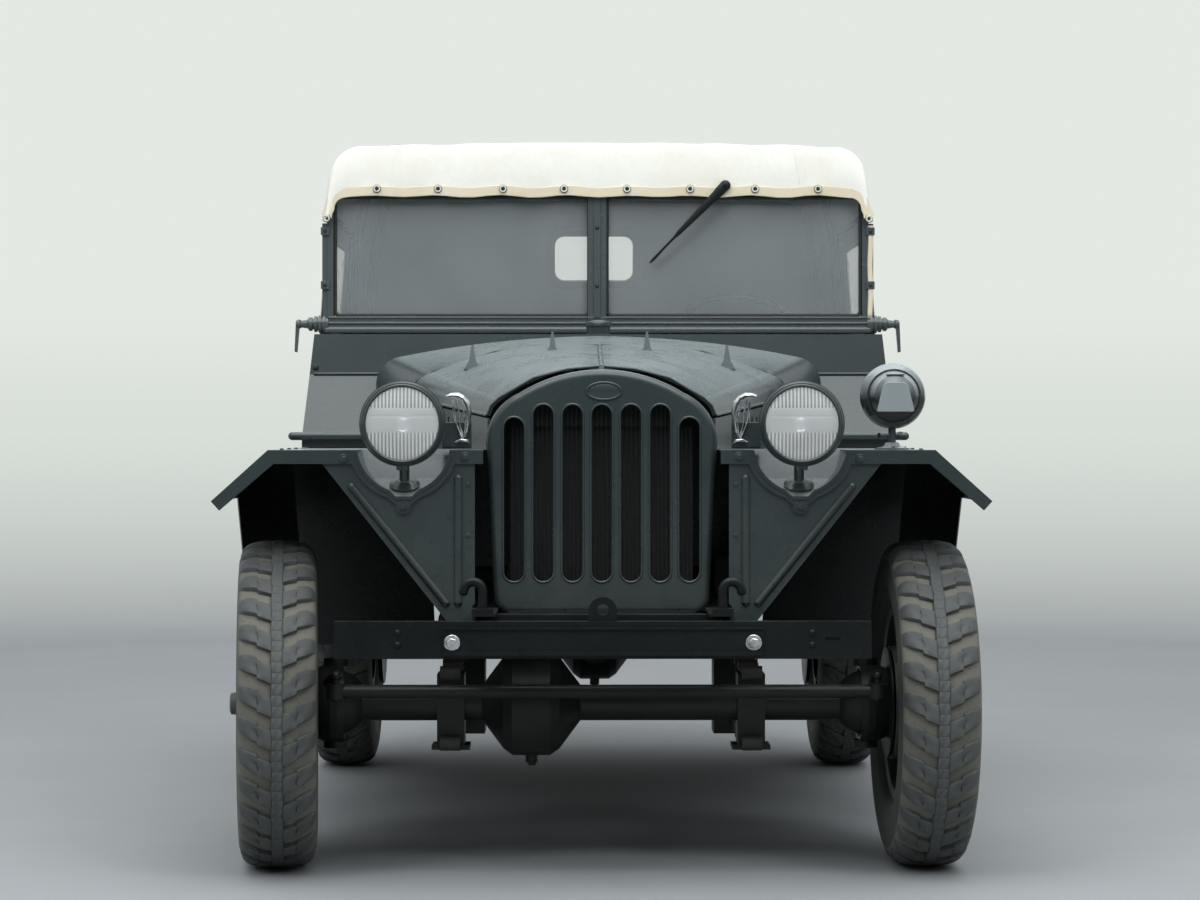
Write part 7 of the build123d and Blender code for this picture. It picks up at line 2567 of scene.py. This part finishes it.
@dataclass
class Underbody(Dressing):
    """Differential cover bolts and spring clips."""

    axle_z: float = 0.365
    # radius of the bolt circle round a differential's housing
    cover: float = 0.0965
    spring_x: float = 0.336

    def covers(self) -> Form:
        """Bolt circles round both differential housings."""
        form = Form()
        for x, y, sign in ((-0.156, FRONT_AXLE_Y, 1), (0.0, REAR_AXLE_Y, -1)):
            for k in range(12):
                turn = 2 * math.pi * (k + 0.5) / 12
                z = self.axle_z + self.cover * math.sin(turn)
                if z > self.axle_z - 0.09:
                    for face, _ in SIDES:
                        spot = (x + face * 0.0600, y + self.cover * math.cos(turn), z)
                        hex_bolt(form, spot, (face, 0, 0), 0.0062, False)
            for turn in around(8):
                spot = (x + 0.053 * math.cos(turn), y + sign * 0.1195, self.axle_z + 0.053 * math.sin(turn))
                hex_bolt(form, spot, (0, sign, 0), 0.0058, False)
            hex_bolt(form, (x, y, self.axle_z - 0.1335), (0, 0, -1), 0.0100, False)
        return form

    def clips(self) -> Form:
        """Rebound clips round the leaf packs."""
        form = Form()
        x = self.spring_x
        for side, _ in SIDES:
            for step in (-0.27, -0.15, 0.15, 0.27):
                low = 0.413 + 0.052 * (step / 0.44) ** 2
                a, b = sorted((side * x - 0.0265, side * x + 0.0265))
                y = REAR_AXLE_Y + step
                top = low + 0.048
                for x0, x1 in ((a, a + 0.0035), (b - 0.0035, b)):
                    form.box((x0, y - 0.010, low - 0.003), (x1, y + 0.010, top))
                form.box((a, y - 0.010, low - 0.0035), (b, y + 0.010, low))
                hex_bolt(form, (b, y, top - 0.008), LEFTWARD, 0.0045, False)
            for z in (0.440, 0.283):
                for step in (0.16, 0.30):
                    count = 1 + int((step + 0.063) / 0.130)
                    y = FRONT_AXLE_Y + step
                    a, b = side * x - 0.0260, side * x + 0.0260
                    for x0, x1 in ((a, a + 0.0030), (b - 0.0030, b)):
                        form.box((x0, y - 0.009, z - 0.0115), (x1, y + 0.009, z + 0.008 * count - 0.0005))
                    form.box((a, y - 0.009, z - 0.0115), (b, y + 0.009, z - 0.0080))
        return form

    def build(self) -> None:
        """Makes the underbody's fittings."""
        self.fit(self.covers(), "axle_cover_bolts", "chassis_paint", "chassis_paint", smooth=30)
        self.fit(self.clips(), "spring_clips", "spring_steel", "spring_steel", bevel=0.0006)
        log.info("underbody fittings")


@dataclass
class RearTrim(Dressing):
    """The blank number plate in its frame, body rivets and four bolts low on the back."""

    y: float = BACK_Y
    plate_x: float = 0.456
    plate_z: float = 0.770
    rivet: tuple = ((-0.0005, 0.0062), (0.0018, 0.0055), (0.0036, 0.0032), (0.0040, 0.0))

    def build(self) -> None:
        """Makes the fittings at the back."""
        plate = Form().box((0.372, self.y + 0.0060, 0.7150), (0.540, self.y + 0.0078, 0.8250))
        self.fit(plate, "blank_plate", "black_enamel", "body_paint", bevel=0.0007)
        loop = rounded_loop(0.0850, 0.0560, 0.006, 4)
        path = [(self.plate_x + a, self.y + 0.0072, self.plate_z + b) for a, b in loop]
        frame = Form().tube(path, 0.0022, 8, closed=True)
        for x in (self.plate_x + 0.050, self.plate_x - 0.050):
            frame.box((x - 0.010, self.y - 0.0002, 0.760), (x + 0.010, self.y + 0.0062, 0.780))
        self.fit(frame, "plate_frame", "body_paint", "body_paint", bevel=0.0006)
        places = [(x, 0.620 + 0.072 * k) for x in (-0.690, 0.690) for k in range(6)]
        places += [(x, 0.985) for x in steps(-0.60, 0.60, 10)]
        rivets = Form()
        for x, z in places:
            rivets.turned(self.rivet, (x, self.y, z), BACKWARD, sides=16)
        for side, _ in SIDES:
            for x in (0.43, 0.61):
                hex_bolt(rivets, (side * x, self.y + 0.046, 0.545), BACKWARD, 0.0095)
        self.fit(rivets, "rear_rivets", "body_paint", "body_paint", smooth=45)
        log.info("rear fittings")


def main() -> None:
    """Builds every piece of the dressing, in order."""
    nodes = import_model()["nodes"]
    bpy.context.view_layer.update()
    finishes = Finishes()
    Studio().build()
    Panels(finishes).build(nodes)
    for kind in (Tyres, CanvasTop, Doors, Seats, Lamps, FrontTrim, ScreenTrim, Cabin, Underbody, RearTrim):
        kind(finishes).build()
        log.info("built %s", kind.__name__)


if __name__ == "__main__":
    logging.basicConfig(level=logging.INFO)
    main()
